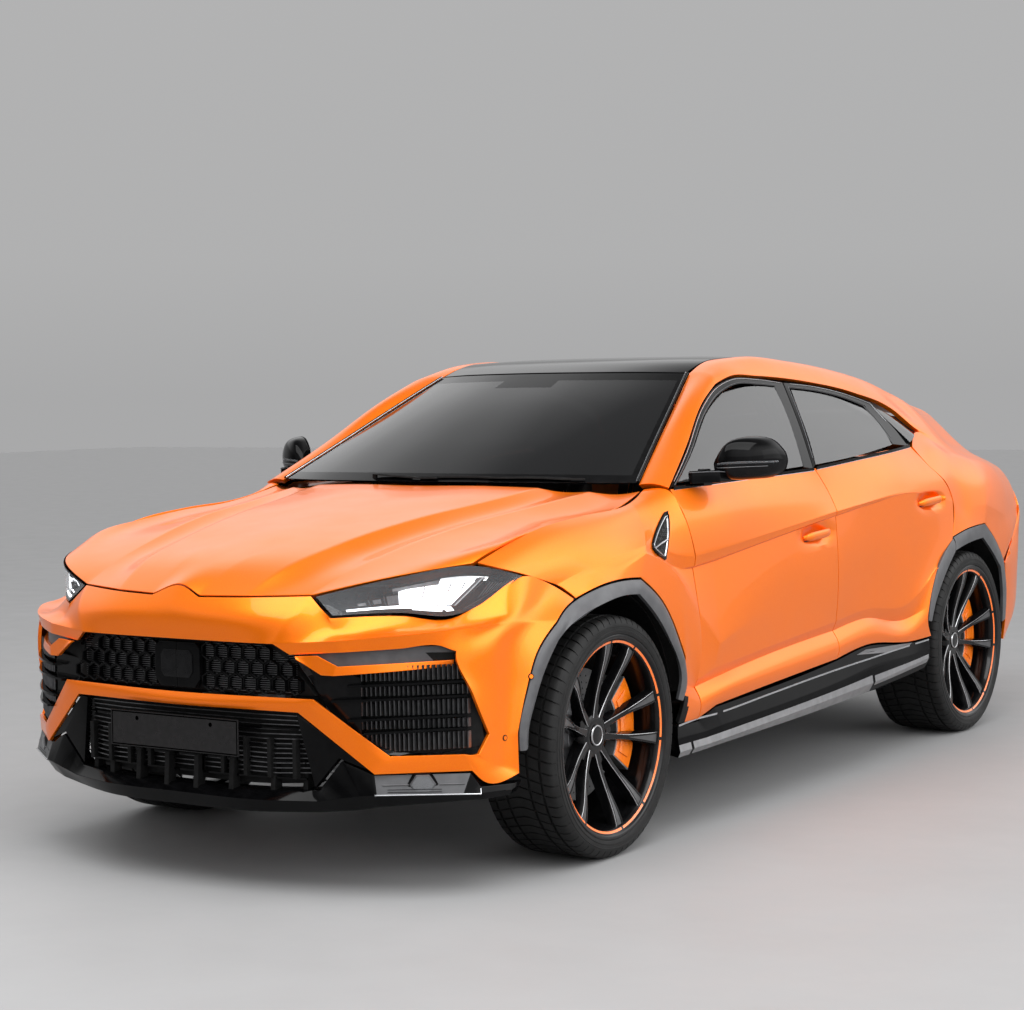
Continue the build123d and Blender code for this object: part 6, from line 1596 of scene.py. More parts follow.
mm.join(prism([(-842, 1167), (-782, 1167), (-790, 1226), (-836, 1226)], "x", 903, 930, 2.0, 1))
mm.join(sweep([(902, -898, 1216), (916, -898, 1216), (940, -846, 1217), (966, -790, 1216), (968, -730, 1212)], circ(1.6, 6), m=4))
split_sides(mm, "mirror", ["gloss_black", "piano_dark", "mirror_glass", "lens_clear", "satin_trim"], "front_door_{}", "mirror_{}", "gloss_black")

# fin across the outer air intake, and the dark panel above it
fin_o = Grid([
    [(452, -2513, 728), (508, -2479, 728), (556, -2441, 694), (690, -2300, 697), (797, -2182, 700)],
    [(458, -2516, 722), (517, -2472, 672), (548, -2450, 669), (690, -2306, 676), (794, -2184, 684)],
], cv=[1, 2])
fin_o.P = corner_out(fin_o.P)
fin = panel(fin_o, off(fin_o, direction=(-7, 10, 0)), N=6, r=1.5, rn=2.5, x0=False)
slot_o = Grid([
    [(474, -2480, 738), (600, -2364, 740), (700, -2270, 744), (800, -2170, 742)],
    [(534, -2432, 690), (600, -2368, 688), (700, -2272, 690), (792, -2176, 694)],
])
slot_o.P = corner_out(slot_o.P)
slot = panel(slot_o, off(slot_o, direction=(-7, 9, 0)), N=4, r=1.0, rn=1.5, mo=5, mi=2, x0=False)
both_sides(fin.join(slot)).make("vis_intake_fins", PAINT, "body", (), None)

# corner panel below the bumper: six-sided lamp, ribs and a bright lower line
pil = panel(PILL, off(PILL, direction=(0, 22, 0)), N=6, r=1.5, rn=2.5, mo=0, mi=1, x0=False)
Ls, _ = lattice(SPLIT, 8)
nf = np.array([0.617, -0.787, 0.0])
tf = np.array([0.787, 0.617, 0.0])
zf = np.array([0.0, 0.0, 1.0])
c0 = Ls[4, 36] + tf * 4


def hexa(rx, rz, d):
    k = [(1, 0), (0.5, 1), (-0.5, 1), (-1, 0), (-0.5, -1), (0.5, -1)]
    return np.array([c0 + tf * a * rx + zf * b * rz + nf * d for a, b in k])


fog = Mesh()
fog.join(tidy(plate(hexa(46, 33, 1.5), hexa(50, 36, -6), 0)))
fog.join(tidy(plate(hexa(37, 27, 5.0), hexa(41, 30, 0), 2)))
fog.join(tidy(plate(hexa(33, 24, 6.5), hexa(35, 25.5, 3), 3)))
edge = Ls[8, 31:49] + nf * 2.0
fog.join(sweep(seg_pts(edge, 12), circ(2.4, 8), m=4))
edge2 = [Ls[8, 48] + nf * 2, Ls[0, 48] + nf * 2.0 + np.array([0, 0, -4])]
fog.join(sweep(seg_pts(edge2, 12), circ(2.0, 8), m=4))
for j0, j1 in ((32.6, 34.9), (37.6, 39.8)):
    ln = []
    for q in np.linspace(j0, j1, 6):
        a = int(q)
        ln.append(Ls[4, a] * (1 - q + a) + Ls[4, a + 1] * (q - a) + nf * 1.5)
    fog.join(sweep(ln, circ(2.2, 6), m=2))
for dz in (13, 26):
    fog.join(sweep(seg_pts([Ls[8, j] + nf * 0.6 + zf * dz * 0.6 for j in range(33, 39)], 20), circ(0.9, 6), m=0))
# brackets and ribs between the blade and the bumper bar
for xx in (60, 190, 330, 430):
    yy = -2528 + 0.00042 * xx * xx
    fog.join(prism([(yy, 300), (yy + 8, 405), (yy + 34, 405), (yy + 38, 300)], "x", xx - 9, xx + 9, 2.0, 1))
for zz in (350, 400, 450, 500):
    fog.join(sweep(seg_pts([(0, -2494, zz), (200, -2488, zz), (330, -2470, zz), (440, -2450, zz)], 40), np.array([(-5, -3), (5, -3), (5, 3), (-5, 3)]), m=0))
blade_line = seg_pts([Ls[8, j] + np.array([0, -0.8, 0.5]) for j in range(0, 24, 2)], 40)
fog.join(sweep(blade_line, circ(1.2, 6), m=0))
both_sides(pil.join(fog)).make("vis_splitter_details", ["gloss_black", "matt_black", "satin_trim", "lens_clear", "silver"], "body", (), None)

# triangular fender vent: dark mesh in a satin frame with a cross bar
fs = Surf(FENDER, 16)
vent = Mesh()
VT = [(-1074, 1090), (-1090, 1086), (-1252, 992), (-1262, 980), (-1246, 966), (-1180, 936), (-1166, 938), (-1118, 1012)]
VC = (-1160.0, 1002.0)
sc = lambda pts, k: [(VC[0] + (p[0] - VC[0]) * k, VC[1] + (p[1] - VC[1]) * k) for p in pts]


def conform(sf, pts, d, m, rings=5, step=12):
    """skin over a closed outline, laid on a surface ring by ring"""
    P = seg_pts(pts, step, True)
    n = len(P)
    k = np.linspace(1, 0, rings + 1)
    cy, cz = np.mean([p[0] for p in P]), np.mean([p[1] for p in P])
    V, F = [], []
    for i in range(rings):
        V += [sf.at(cy + (p[0] - cy) * k[i], cz + (p[1] - cz) * k[i], d) for p in P]
    V.append(sf.at(cy, cz, d))
    for i in range(rings - 1):
        for j in range(n):
            F.append((i * n + j, i * n + (j + 1) % n, (i + 1) * n + (j + 1) % n, (i + 1) * n + j))
    for j in range(n):
        F.append(((rings - 1) * n + j, (rings - 1) * n + (j + 1) % n, rings * n))
    V += [sf.at(p[0], p[1], -10) for p in P]
    o = rings * n + 1
    for j in range(n):
        F.append((o + j, o + (j + 1) % n, (j + 1) % n, j))
    me = Mesh()
    me.add(np.array(V, float), F, m)
    return tidy(me)


on = lambda pts, d: np.array([fs.at(p[0], p[1], d) for p in pts])
vent.join(conform(fs, VT, 2.2, 2))
vent.join(sweep(on(seg_pts(VT, 14, True), 3.0), circ(4.4, 8, 0.8), closed=True, m=3))
vent.join(sweep(on(seg_pts(sc(VT, 0.84), 12, True), 3.4), circ(3.2, 8, 0.8), closed=True, m=6))
vent.join(sweep(on(seg_pts([(-1236, 980), (-1132, 1000)], 10), 4.4), circ(5.0, 8, 0.7), m=6))
for k in range(8):
    for j in range(10):
        y_, z_ = -1226 + 14 * k + (7 if j % 2 else 0), 952 + 13 * j
        if z_ < 1064 - 0.62 * (-1100 - y_) and z_ > 950 + 0.44 * (-1178 - y_) and abs(z_ - (980 + (y_ + 1236) * 0.19)) > 10 and z_ > 948 + 1.55 * (y_ + 1166):
            vent.join(sweep(on([(y_ + 5 * math.cos(t), z_ + 5 * math.sin(t)) for t in np.linspace(0, 2 * math.pi, 6, endpoint=False)], 3.2), circ(0.8, 4), closed=True, m=5))
both_sides(vent).make("vis_fender_vents", PAINT, "body", (), None)

# sill: bright line, satin insert
sk = Surf(SKIRT, 16)
sl = sweep(sk.line(smooth_line([(-1106, 366), (-905, 372), (-700, 379), (102, 415), (500, 430), (820, 438), (995, 445)], 8), 1.5), np.array([(-1.5, -3.2), (1.5, -3.2), (1.5, 3.2), (-1.5, 3.2)]), m=6)
INS = seg_pts([(330, 451), (423, 463), (850, 446), (826, 441), (591, 434)], 30, True)
sl.join(tidy(plate(sk.line(INS, 2.0), sk.line(INS, -6), 5)))
both_sides(sl).make("vis_skirt_lines", PAINT, "body", (), None)

# body-coloured pull handles over the scooped cups, each with a gloss black strip below it as painted shadow
fd_s, rd_s = Surf(FDOOR, 14), Surf(RDOOR, 14)


def handle(sf, yc, zc, half, slope):
    me = Mesh()
    t = np.linspace(-1, 1, 25)
    rings = []
    for q in t:
        e = (1 - q ** 6)
        y_, z_ = yc + half * q, zc + slope * half * q
        base = sf.at(y_, z_, 0.0)
        lift = -5 + 14 * (1 - abs(q) ** 5)
        a = np.linspace(0, 2 * np.pi, 14, endpoint=False)
        hz = 5 + 11 * e
        hx = 3 + 5.5 * e
        rings.append(np.stack([base[0] + lift + hx * np.cos(a), np.full(14, y_), base[2] + hz * np.sin(a)], 1))
    V = np.concatenate(rings)
    F = []
    for i in range(24):
        for j in range(14):
            a, b = i * 14 + j, i * 14 + (j + 1) % 14
            F.append((a, b, b + 14, a + 14))
    F.append(tuple(range(14))[::-1])
    F.append(tuple(range(24 * 14, 25 * 14)))
    me.add(V, F, 0)
    me = tidy(me)
    # gloss black strip in the cup below the bar: painted shadow under the handle
    me.join(sweep(sf.line([(yc + half * q, zc - 15 + slope * half * q) for q in np.linspace(-0.9, 0.9, 15)], -7), circ(2.5, 6), m=3))
    return me


HF, HR = (0.0, 946.0, 112.0, 0.05), (1066.0, 1022.0, 118.0, 0.05)
for tag in ("left", "right"):
    for nm, sf, h_, bd in (("front", fd_s, HF, "front_door_"), ("rear", rd_s, HR, "rear_door_")):
        o = handle(sf, *h_)
        (o if tag == "left" else o.mirrored()).make("vis_%s_handle_%s" % (nm, tag), PAINT, bd + tag, (), None)

# bright and satin lines round the side windows
Lff, _ = lattice(FFRAME, 6)
Lrf, _ = lattice(RFRAME, 6)
n_out = np.array([0.8, 0, 0.35])


def trim_line(L, i, j0, j1, d, r, m, a=0.6):
    P = [L[i, j] + n_out * d for j in range(j0, j1 + 1) if not np.isnan(L[i, j, 0])]
    return sweep(P, circ(r, 8, a), m=m)


for tag in ("left", "right"):
    a = trim_line(Lff, 1, 1, 36, 0.6, 2.0, 6)
    a.join(trim_line(Lff, 5, 0, 36, 0.6, 1.6, 5))
    belt = fd_s.line([(y, 1166 + (y + 1000) * 0.024) for y in np.linspace(-985, 88, 24)], 2.0)
    a.join(sweep(belt + np.array([0, 0, -2.0]), np.array([(-3, -6), (3, -6), (3, 6), (-3, 6)]), m=3))
    a.join(sweep(belt + np.array([2.2, 0, -8.5]), circ(1.3, 6), m=6))
    b = trim_line(Lrf, 1, 13, 35, 0.6, 2.0, 6)
    b.join(trim_line(Lrf, 5, 1, 40, 0.6, 1.6, 5))
    belt = rd_s.line([(y, 1193 + (y - 102) * 0.056) for y in np.linspace(112, 1090, 24)], 2.0)
    b.join(sweep(belt + np.array([0, 0, 0.0]), np.array([(-3, -6), (3, -6), (3, 6), (-3, 6)]), m=3))
    b.join(sweep(belt + np.array([2.2, 0, -6.5]), circ(1.3, 6), m=6))
    (a if tag == "left" else a.mirrored()).make("vis_front_window_trim_" + tag, PAINT, "front_door_" + tag, (), None)
    (b if tag == "left" else b.mirrored()).make("vis_rear_window_trim_" + tag, PAINT, "rear_door_" + tag, (), None)

# windscreen surround, sensor pod and wipers
ws = Surf(WSCREEN, 10, (0, 1), 2)
wp = Mesh()
Lw, _ = lattice(WSCREEN, 8)
wp.join(sweep([Lw[j, 24] + np.array([4, -3, 3]) for j in range(0, 25)], circ(5.0, 8, 0.7), m=0))
wp.join(sweep([Lw[j, 24] + np.array([-3, -3, 5]) for j in range(0, 25)], circ(1.6, 6), m=2))
wside = wp.both()
pod = prism([(-560, 1500), (-470, 1548), (-430, 1556), (-470, 1520), (-540, 1484)], "x", -55, 55, 8.0, 1, 3)
wside.join(pod)
wside.join(box_mesh(-120, 120, -540, -528, 1430, 1486, 5.0))


def wiper(x0, xa, xb):
    """parked along the foot of the glass"""
    yb = lambda q: float(np.interp(abs(q), [0, 300, 560, 776], [-1225, -1205, -1140, -1036]))
    me = Mesh()
    pts = [ws.at(q, yb(q) + 17, 5.0) for q in np.linspace(xa, xb, 14)]
    me.join(sweep(pts, np.array([(-5, -3.5), (5, -3.5), (4, 2.5), (-4, 2.5)]), m=1))
    arm = [ws.at(q, yb(q) + 12 - 6 * k / 5, 8.0) for k, q in enumerate(np.linspace((xa + xb) / 2, x0, 6))]
    me.join(sweep(arm, np.array([(-6, -2.5), (6, -2.5), (5, 2.5), (-5, 2.5)]), m=1))
    return me


wside.join(wiper(610, -20, 560))
wside.join(wiper(60, -520, -60))
wside.make("vis_windscreen_details", ["gloss_black", "matt_black", "silver"], "body", (), None)
# ---------------------------------------------------------------- cabin
def pad(P0, ey, ez, w, l, t, tb, bol=0.0, seams=(0.56,), chans=0, crown=14.0, m=0, nu=38, nv=36, taper=0.0, p=5.0):
    """crowned pad: X across, ey along, ez out of the seating face"""
    P0, ey, ez = (np.array(q, float) for q in (P0, ey, ez))
    ey, ez = ey / np.linalg.norm(ey), ez / np.linalg.norm(ez)
    u = np.sin(np.linspace(-1, 1, nu + 1) * np.pi / 2)
    u = 0.45 * u + 0.55 * np.linspace(-1, 1, nu + 1)
    v = np.sin(np.linspace(-1, 1, nv + 1) * np.pi / 2)
    v = 0.45 * v + 0.55 * np.linspace(-1, 1, nv + 1)
    U, V = np.meshgrid(u, v, indexing="ij")
    e = (np.clip(1 - np.abs(U) ** p, 0, 1) * np.clip(1 - np.abs(V) ** p, 0, 1)) ** (1 / 2.6)
    H = t * e + crown * (1 - U ** 2) * (1 - V ** 2) * e
    if bol:
        s = np.clip((np.abs(U) - 0.5) / 0.22, 0, 1)
        H += bol * s * s * (3 - 2 * s) * e * (1 - 0.3 * V ** 2)
    inner = 1.0
    for q in seams:
        H -= 9.0 * np.exp(-((np.abs(U) - q) / 0.022) ** 2) * e
        inner = np.minimum(inner, np.clip((q - np.abs(U)) / 0.03, 0, 1))
    for k in range(chans):
        c = -0.72 + 1.44 * (k + 0.5) / chans
        H -= 6.0 * np.exp(-((V - c) / 0.020) ** 2) * e * inner
    B = -tb * (np.clip(1 - np.abs(U) ** p, 0, 1) * np.clip(1 - np.abs(V) ** p, 0, 1)) ** (1 / 2.6)
    W = w * (1 - taper * (V * 0.5 + 0.5))
    top = P0 + np.stack([U * W, 0 * U, 0 * U], 2) + V[:, :, None] * l * ey + H[:, :, None] * ez
    bot = P0 + np.stack([U * W, 0 * U, 0 * U], 2) + V[:, :, None] * l * ey + B[:, :, None] * ez
    n1, n2 = U.shape
    ix = np.arange(n1 * n2).reshape(n1, n2)
    F, Fb = [], []
    for i in range(n1 - 1):
        for j in range(n2 - 1):
            q = (ix[i, j], ix[i + 1, j], ix[i + 1, j + 1], ix[i, j + 1])
            F.append(q)
            Fb.append(tuple(a + n1 * n2 for a in q[::-1]))
    me = Mesh()
    me.add(np.concatenate([top.reshape(-1, 3), bot.reshape(-1, 3)]), F + Fb, m)
    me.seam_pts = (top, U, V, ez)
    return me


def stitches(pd, qs, m, r=1.3, lo=-0.82, hi=0.82):
    """twin rows of thread either side of a seam"""
    top, U, V, ez = pd.seam_pts
    o = Mesh()
    for q in qs:
        i = int(np.argmin(np.abs(U[:, 0] - q)))
        js = [j for j in range(U.shape[1]) if lo <= V[0, j] <= hi]
        o.join(sweep([top[i, j] + ez * 0.8 for j in js], circ(r, 5), m=m))
    return o


def weldclean(me):
    return tidy(me)


def seat_mesh(cx):
    s = Mesh()
    cu = pad((cx, -200, 468), (0, 1, 0.10), (0, -0.10, 1), 238, 262, 62, 34, bol=34, chans=6)
    ba = pad((cx, 175, 818), (0, 0.205, 0.98), (0, -0.98, 0.205), 232, 330, 60, 62, bol=40, chans=8, taper=0.16)
    hd = pad((cx, 286, 1238), (0, 0.16, 0.987), (0, -0.987, 0.16), 118, 72, 34, 36, seams=(0.7,), crown=10, taper=0.12, nu=24, nv=20, p=3.5)
    for q in (cu, ba, hd):
        s.join(q)
    for q in (cu, ba):
        s.join(stitches(q, (-0.6, -0.52, 0.52, 0.6), 1))
    for dx in (-45, 45):
        s.join(sweep([(cx + dx, 262, 1120), (cx + dx, 280, 1200)], circ(7, 12), m=2))
    s.join(box_mesh(cx - 195, cx - 160, -400, 60, 281, 330, 6))
    s.join(box_mesh(cx + 160, cx + 195, -400, 60, 281, 330, 6))
    s.join(prism([(-420, 330), (-440, 430), (40, 452), (70, 380), (30, 330)], "x", cx - 238, cx - 214, 6, 3))
    s.join(prism([(-420, 330), (-440, 430), (40, 452), (70, 380), (30, 330)], "x", cx + 214, cx + 238, 6, 3))
    s.join(box_mesh(cx - 210, cx + 210, -380, 40, 326, 436, 12))
    return s


st = seat_mesh(385.0)
seats = both_sides(st)
seats.make("vis_front_seats", ["hide", "stitch", "silver", "matt_black"], "body", "front_seats", "hide", sharp=60, weld=0.05, wn=False)

rs = Mesh()
for cx, w in ((-390, 192), (0, 186), (390, 192)):
    cu = pad((cx, 790, 512), (0, 1, -0.10), (0, 0.10, 1), w, 222, 66, 60, bol=10 if cx else 0, chans=5)
    ba = pad((cx, 1092, 842), (0, 0.20, 0.98), (0, -0.98, 0.20), w, 292, 38, 48, bol=14 if cx else 0, chans=7)
    hd = pad((cx, 1152, 1198), (0, 0.12, 0.99), (0, -0.99, 0.12), 104, 62, 26, 30, seams=(0.7,), crown=8, nu=24, nv=20, p=3.5)
    for q in (cu, ba, hd):
        rs.join(q)
    for q in (cu, ba):
        rs.join(stitches(q, (-0.6, -0.52, 0.52, 0.6), 1))
rs.join(prism([(575, 284), (575, 470), (1000, 440), (1066, 520), (1074, 284)], "x", -580, 580, 14, 2))
rs.make("vis_rear_seat", ["hide", "stitch", "matt_black"], "body", "rear_seat", "hide", sharp=60, weld=0.05, wn=False)

# dashboard, binnacle, centre console
db = Mesh()
db.join(prism([(-1000, 704), (-998, 1082), (-950, 1091), (-785, 1062), (-712, 1010), (-696, 905), (-762, 804), (-860, 722)], "x", -726, 726, 22, 0, 4))
db.join(prism([(-862, 404), (-862, 800), (-700, 858), (-560, 618), (200, 598), (258, 556), (258, 404)], "x", -124, 124, 10, 0, 3))
db.join(prism([(-810, 1040), (-700, 1082), (-676, 1076), (-690, 1010), (-790, 1000)], "x", 235, 535, 14, 0, 3))
db.join(prism([(-700, 985), (-684, 1062), (-678, 1061), (-694, 984)], "x", 252, 518, 2, 1, 2))
db.join(prism([(-704, 862), (-676, 990), (-668, 988), (-696, 860)], "x", -118, 118, 3, 1, 2))
db.join(prism([(-690, 720), (-640, 850), (-632, 847), (-682, 717)], "x", -110, 110, 3, 1, 2))
for sx in (-1, 1):
    for cx in (150, 650) if sx > 0 else (-150, -650):
        hx = [(cx + 44 * math.cos(a), -693, 968 + 34 * math.sin(a)) for a in np.linspace(0, 2 * np.pi, 6, endpoint=False)]
        db.join(sweep(seg_pts(hx, 20, True), circ(4, 8), closed=True, m=2, up=(0, 1, 0)))
        for dz in (-16, 0, 16):
            db.join(box_mesh(cx - 34, cx + 34, -702, -690, 966 + dz, 970 + dz, 1.0))
for zz, yy in ((1068, -800), (905, -700)):
    db.join(sweep([(x, yy, zz) for x in np.linspace(-700, 700, 30)], circ(1.6, 6), m=3))
db.join(prism([(-420, 612), (-440, 700), (-400, 706), (-372, 620)], "x", -34, 34, 10, 4, 3))
db.join(box_mesh(-96, 96, -300, 180, 600, 640, 16))
db.make("vis_dashboard", ["dash", "gloss_black", "silver", "stitch", "hide"], "body", "dashboard", "dash")

# steering wheel
cR, sR = math.cos(math.radians(-68)), math.sin(math.radians(-68))
T_sw = lambda V: np.stack([V[:, 0] + 385, V[:, 1] * cR - V[:, 2] * sR - 545, V[:, 1] * sR + V[:, 2] * cR + 925], 1)
sw = Mesh()
ring_p = []
for a in np.linspace(0, 2 * np.pi, 72, endpoint=False):
    x_, y_ = 178 * math.cos(a), 178 * math.sin(a)
    ring_p.append((x_, min(y_, 158), 0))
sw.join(sweep(ring_p, circ(14.5, 14), closed=True, m=0))
sw.join(sweep([(p[0] * 0.93, p[1] * 0.93, 10) for p in ring_p], circ(1.2, 5), closed=True, m=3))
hub = [(70 * math.cos(a) * (1.05 if abs(math.cos(a)) > 0.7 else 1), 58 * math.sin(a)) for a in np.linspace(0, 2 * np.pi, 24, endpoint=False)]
sw.join(prism([(p[0], p[1]) for p in hub], "z", -16, 18, 8, 1, 3))
for pts in ([(-168, -20), (-60, -26), (-60, 18), (-168, 10)], [(60, -26), (168, -20), (168, 10), (60, 18)], [(-26, 50), (26, 50), (18, 156), (-18, 156)]):
    sw.join(prism(pts, "z", -8, 8, 4, 1, 2))
    sw.join(prism([(p[0] * 0.9, p[1] * 0.9) for p in pts], "z", -4, 10, 2, 2, 2))
sw.join(sweep([(0, 0, -204), (0, 0, -14)], circ(34, 24), m=1))
sw.moved(T_sw).make("vis_steering_wheel", ["hide", "dash", "dark_metal", "stitch"], "body", "steering_wheel", "hide")

# door cards
for tag, sg in (("left", 1), ("right", -1)):
    for nm, y0, y1, z0, z1 in (("front", -905, 70, 470, 1140), ("rear", 205, 900, 500, 1160)):
        dc = Mesh()
        dc.join(prism([(y0 + 30, z0), (y0, z0 + 90), (y0 + 20, z1), (y1 - 10, z1), (y1, z0 + 60), (y1 - 50, z0)], "x", 862, 872, 3, 0, 2))
        dc.join(prism([(y0 + 120, 742), (y0 + 140, 790), (y1 - 90, 812), (y1 - 60, 760), (y1 - 90, 735)], "x", 832, 866, 10, 0, 3))
        dc.join(prism([(y0 + 90, 520), (y0 + 110, 620), (y1 - 120, 640), (y1 - 90, 540)], "x", 842, 866, 8, 1, 3))
        dc.join(sweep([(861, y, 842 + 0.03 * (y - y0)) for y in np.linspace(y0 + 60, y1 - 60, 20)], circ(1.4, 5), m=2))
        dc.join(sweep([(852, y1 - 240, 900), (840, y1 - 225, 902), (840, y1 - 130, 906), (852, y1 - 115, 908)], circ(6, 8), m=3))
        (dc if sg > 0 else dc.mirrored()).make("vis_%s_door_card_%s" % (nm, tag), ["dash", "matt_black", "stitch", "silver"], "%s_door_%s" % (nm, tag), (), None)
# ---------------------------------------------------------------- rear end
def tube_y(prof, cx, cz, n=48, m=0):
    """profile of (y, radius) turned about an axis along Y"""
    pr = np.asarray(prof, float)
    k = len(pr)
    t = np.linspace(0, 2 * np.pi, n, endpoint=False)
    V = np.zeros((n, k, 3))
    V[:, :, 0] = cx + pr[None, :, 1] * np.cos(t)[:, None]
    V[:, :, 1] = pr[None, :, 0]
    V[:, :, 2] = cz + pr[None, :, 1] * np.sin(t)[:, None]
    F = []
    for i in range(n):
        i2 = (i + 1) % n
        for j in range(k):
            j2 = (j + 1) % k
            F.append((i * k + j, i * k + j2, i2 * k + j2, i2 * k + j))
    me = Mesh().add(V.reshape(-1, 3), F, m)
    return tidy(me)


# tail lamps: dark lens with a forked red light guide
Lt, Mt = lattice(TLAMP, 14)
tsel = lambda u, v: 1 if (0.16 < u < 0.84 and 0.12 < v < 2.82) else 0
tl = panel(TLAMP, off(TLAMP, direction=(-16, -32, 0)), N=14, r=1.2, rn=2.0, sel=tsel)
ti = lambda r, c, d=1.2: Lt[int(round(r * 14)), int(round(c * 14))] + np.array([0.45, 0.85, 0.1]) * d
for pts in ([(0.5, 0.15), (0.5, 0.6), (0.5, 1.1), (0.5, 1.6)], [(0.5, 1.6), (0.36, 2.0), (0.22, 2.4), (0.16, 2.8)], [(0.5, 1.6), (0.64, 2.0), (0.78, 2.4), (0.84, 2.8)]):
    tl.join(sweep(np.array([ti(a, b) for a, b in pts]), circ(3.6, 10, 0.8), m=2))
both_sides(tl).make("vis_taillights", ["piano_dark", "red_lens", "tail_lit"], "body", "taillights", "red_lamp")

# exhaust tips: rolled rim, dark bore, inner sleeve
et = Mesh()
for x_, y_ in ((640, 2345), (510, 2400)):
    y0, y1 = y_ - 74, y_ + 74.5
    et.join(tube_y([(y0, 50.5), (y1 - 14, 51.6), (y1 - 4, 51.9), (y1, 50.2), (y1 + 0.3, 48.4), (y1 - 3, 46.6), (y1 - 30, 46.2), (y0, 46.2)], x_, 350, 56, 0))
    et.join(tube_y([(y0 + 2, 44), (y1 - 38, 44.5), (y1 - 38, 41), (y0 + 2, 41)], x_, 350, 40, 1))
    et.join(tube_y([(y0 + 6, 40), (y0 + 10, 40), (y0 + 10, 4), (y0 + 6, 4)], x_, 350, 32, 2))
both_sides(et).make("vis_exhaust_tips", ["dark_metal", "matt_black", "underbody"], "body", "exhaust_tips", "tips")

# diffuser fins, reflectors and rear corner vents
rb = Surf(RBUMP, 8, (0, 2), 1)
df = Surf(DIFF, 8, (0, 2), 1)
rr = Mesh()
for x_ in (95, 265, 395):
    top = df.at(x_, 400)[1]
    rr.join(prism([(top - 40, 410), (top + 4, 408), (top + 10, 345), (top - 40, 262), (top - 120, 258)], "x", x_ - 4, x_ + 4, 1.6, 0))
for k in range(2):
    rr.join(sweep(df.line(smooth_line([(0.5, 388 - 34 * k), (240, 386 - 34 * k), (440, 380 - 34 * k), (600, 366 - 34 * k)], 8), 3), circ(4, 8), m=0))
OUTL = [(560, 566), (700, 560), (800, 548), (872, 520), (850, 486), (760, 478), (640, 484), (574, 496)]
rr.join(conform(rb, OUTL, 2.0, 1, 6, 20))
rr.join(sweep(rb.line(seg_pts(OUTL, 16, True), 3.0), circ(4.2, 8, 0.8), closed=True, m=0))
for i_ in range(9):
    for j_ in range(4):
        a_, b_ = 600 + 30 * i_ + (15 if j_ % 2 else 0), 500 + 16 * j_
        if b_ < 550 - 0.10 * (a_ - 600) and a_ < 838:
            rr.join(sweep(rb.line([(a_ + 11 * math.cos(t), b_ + 7.5 * math.sin(t)) for t in np.linspace(0, 2 * math.pi, 6, endpoint=False)], 3.4), circ(1.5, 5), closed=True, m=2))
rr.join(conform(rb, [(640, 466), (640, 456), (760, 446), (764, 454), (760, 462)], 3.0, 3, 3, 20))
both_sides(rr).make("vis_rear_details", ["gloss_black", "matt_black", "satin_trim", "red_lens"], "body", (), None)

# filled seam between the quarter panel and the rear bumper
SEAM = smooth_line([(880, 2272, 1006), (914, 2246, 943), (932, 2150, 866), (958, 2040, 782), (975, 1950, 742), (988, 1880, 714)], 6)
sm = sweep(np.array([np.array(p) + np.array([-15.0, 0, 4]) for p in SEAM]), np.array([(-34, -2.0), (34, -2.0), (34, 2.0), (-34, 2.0)]), m=1, up=(1, 0.25, 0))
both_sides(sm).make("vis_quarter_seam", ["paint_inside", "paint"], "body", (), None)

# tailgate: lamp band, plate frame with the black plate light bar above it, high brake light
gt = Surf(GATE, 8, (0, 2), 1)
tg_ = Mesh()
bl = gt.line(smooth_line([(0.5, 1020), (230, 1019), (465, 1017), (664, 1015)], 10), 1.6)
tg_.join(sweep(bl, np.array([(-1.8, -17), (1.8, -17), (1.8, 17), (-1.8, 17)]), m=3))
tg_.join(sweep(bl + np.array([0, 2.2, 0]), circ(2.6, 8), m=7))
for i_ in range(22):
    for j_ in (-1, 1):
        a_ = 30 + 28 * i_
        tg_.join(sweep(np.array([p + np.array([0, 2.0, 0]) for p in gt.line([(a_ + 7 * math.cos(t), 1019 - 0.006 * a_ + 9.5 * j_ + 5 * math.sin(t)) for t in np.linspace(0, 2 * math.pi, 6, endpoint=False)], 1.6)]), circ(0.8, 4), closed=True, m=5))
FR = [(0.5, 866), (262, 866), (274, 858), (274, 734), (262, 726), (0.5, 726)]
tg_.join(sweep(gt.line(seg_pts(FR, 30), 4.0), circ(3.2, 8), m=3))
tg_ = both_sides(tg_)
tg_.join(prism([(2452, 872), (2478, 874), (2482, 884), (2478, 896), (2452, 900)], "x", -150, 150, 3, 3, 3))
tg_.join(prism([(2000, 1399), (2010, 1399), (2011, 1404), (2004, 1407), (2000, 1406)], "x", -170, 170, 0.8, 8, 2))
tg_.make("vis_tailgate_details", PAINT + ["tail_lit", "red_lens"], "tailgate", (), None)

# fuel flap line, bumper sensors
ff = Mesh()
sd = Surf(SIDE, 10)
ff.join(sweep(sd.line([(1700 + 84 * abs(math.cos(t)) ** 0.7 * np.sign(math.cos(t)), 1040 + 78 * abs(math.sin(t)) ** 0.7 * np.sign(math.sin(t))) for t in np.linspace(0, 2 * np.pi, 48, endpoint=False)], 0.4), circ(1.3, 5), closed=True, m=2))
ff.mirrored().make("vis_fuel_flap_line", PAINT, "body", (), None)
fbs = Surf(FBUMP, 10)
sn = Mesh()
for y_, z_ in ((-2106, 463), (-2010, 640)):
    try:
        c_ = fbs.at(y_, z_, 0.8)
    except Exception:
        continue
    n_ = fbs.at(y_, z_, 1.8) - c_
    sn.join(sweep([c_ - n_ * 6, c_ + n_ * 0.6, c_ + n_ * 0.9], np.array([circ(9.5, 20), circ(9.5, 20), circ(8.6, 20)]), m=0, up=(0, 0.3, 1)))
    sn.join(sweep([c_ - n_ * 2, c_ + n_ * 1.6], circ(6.5, 18), m=1, up=(0, 0.3, 1)))
both_sides(sn).make("vis_bumper_sensors", ["matt_black", "paint"], "body", (), None)

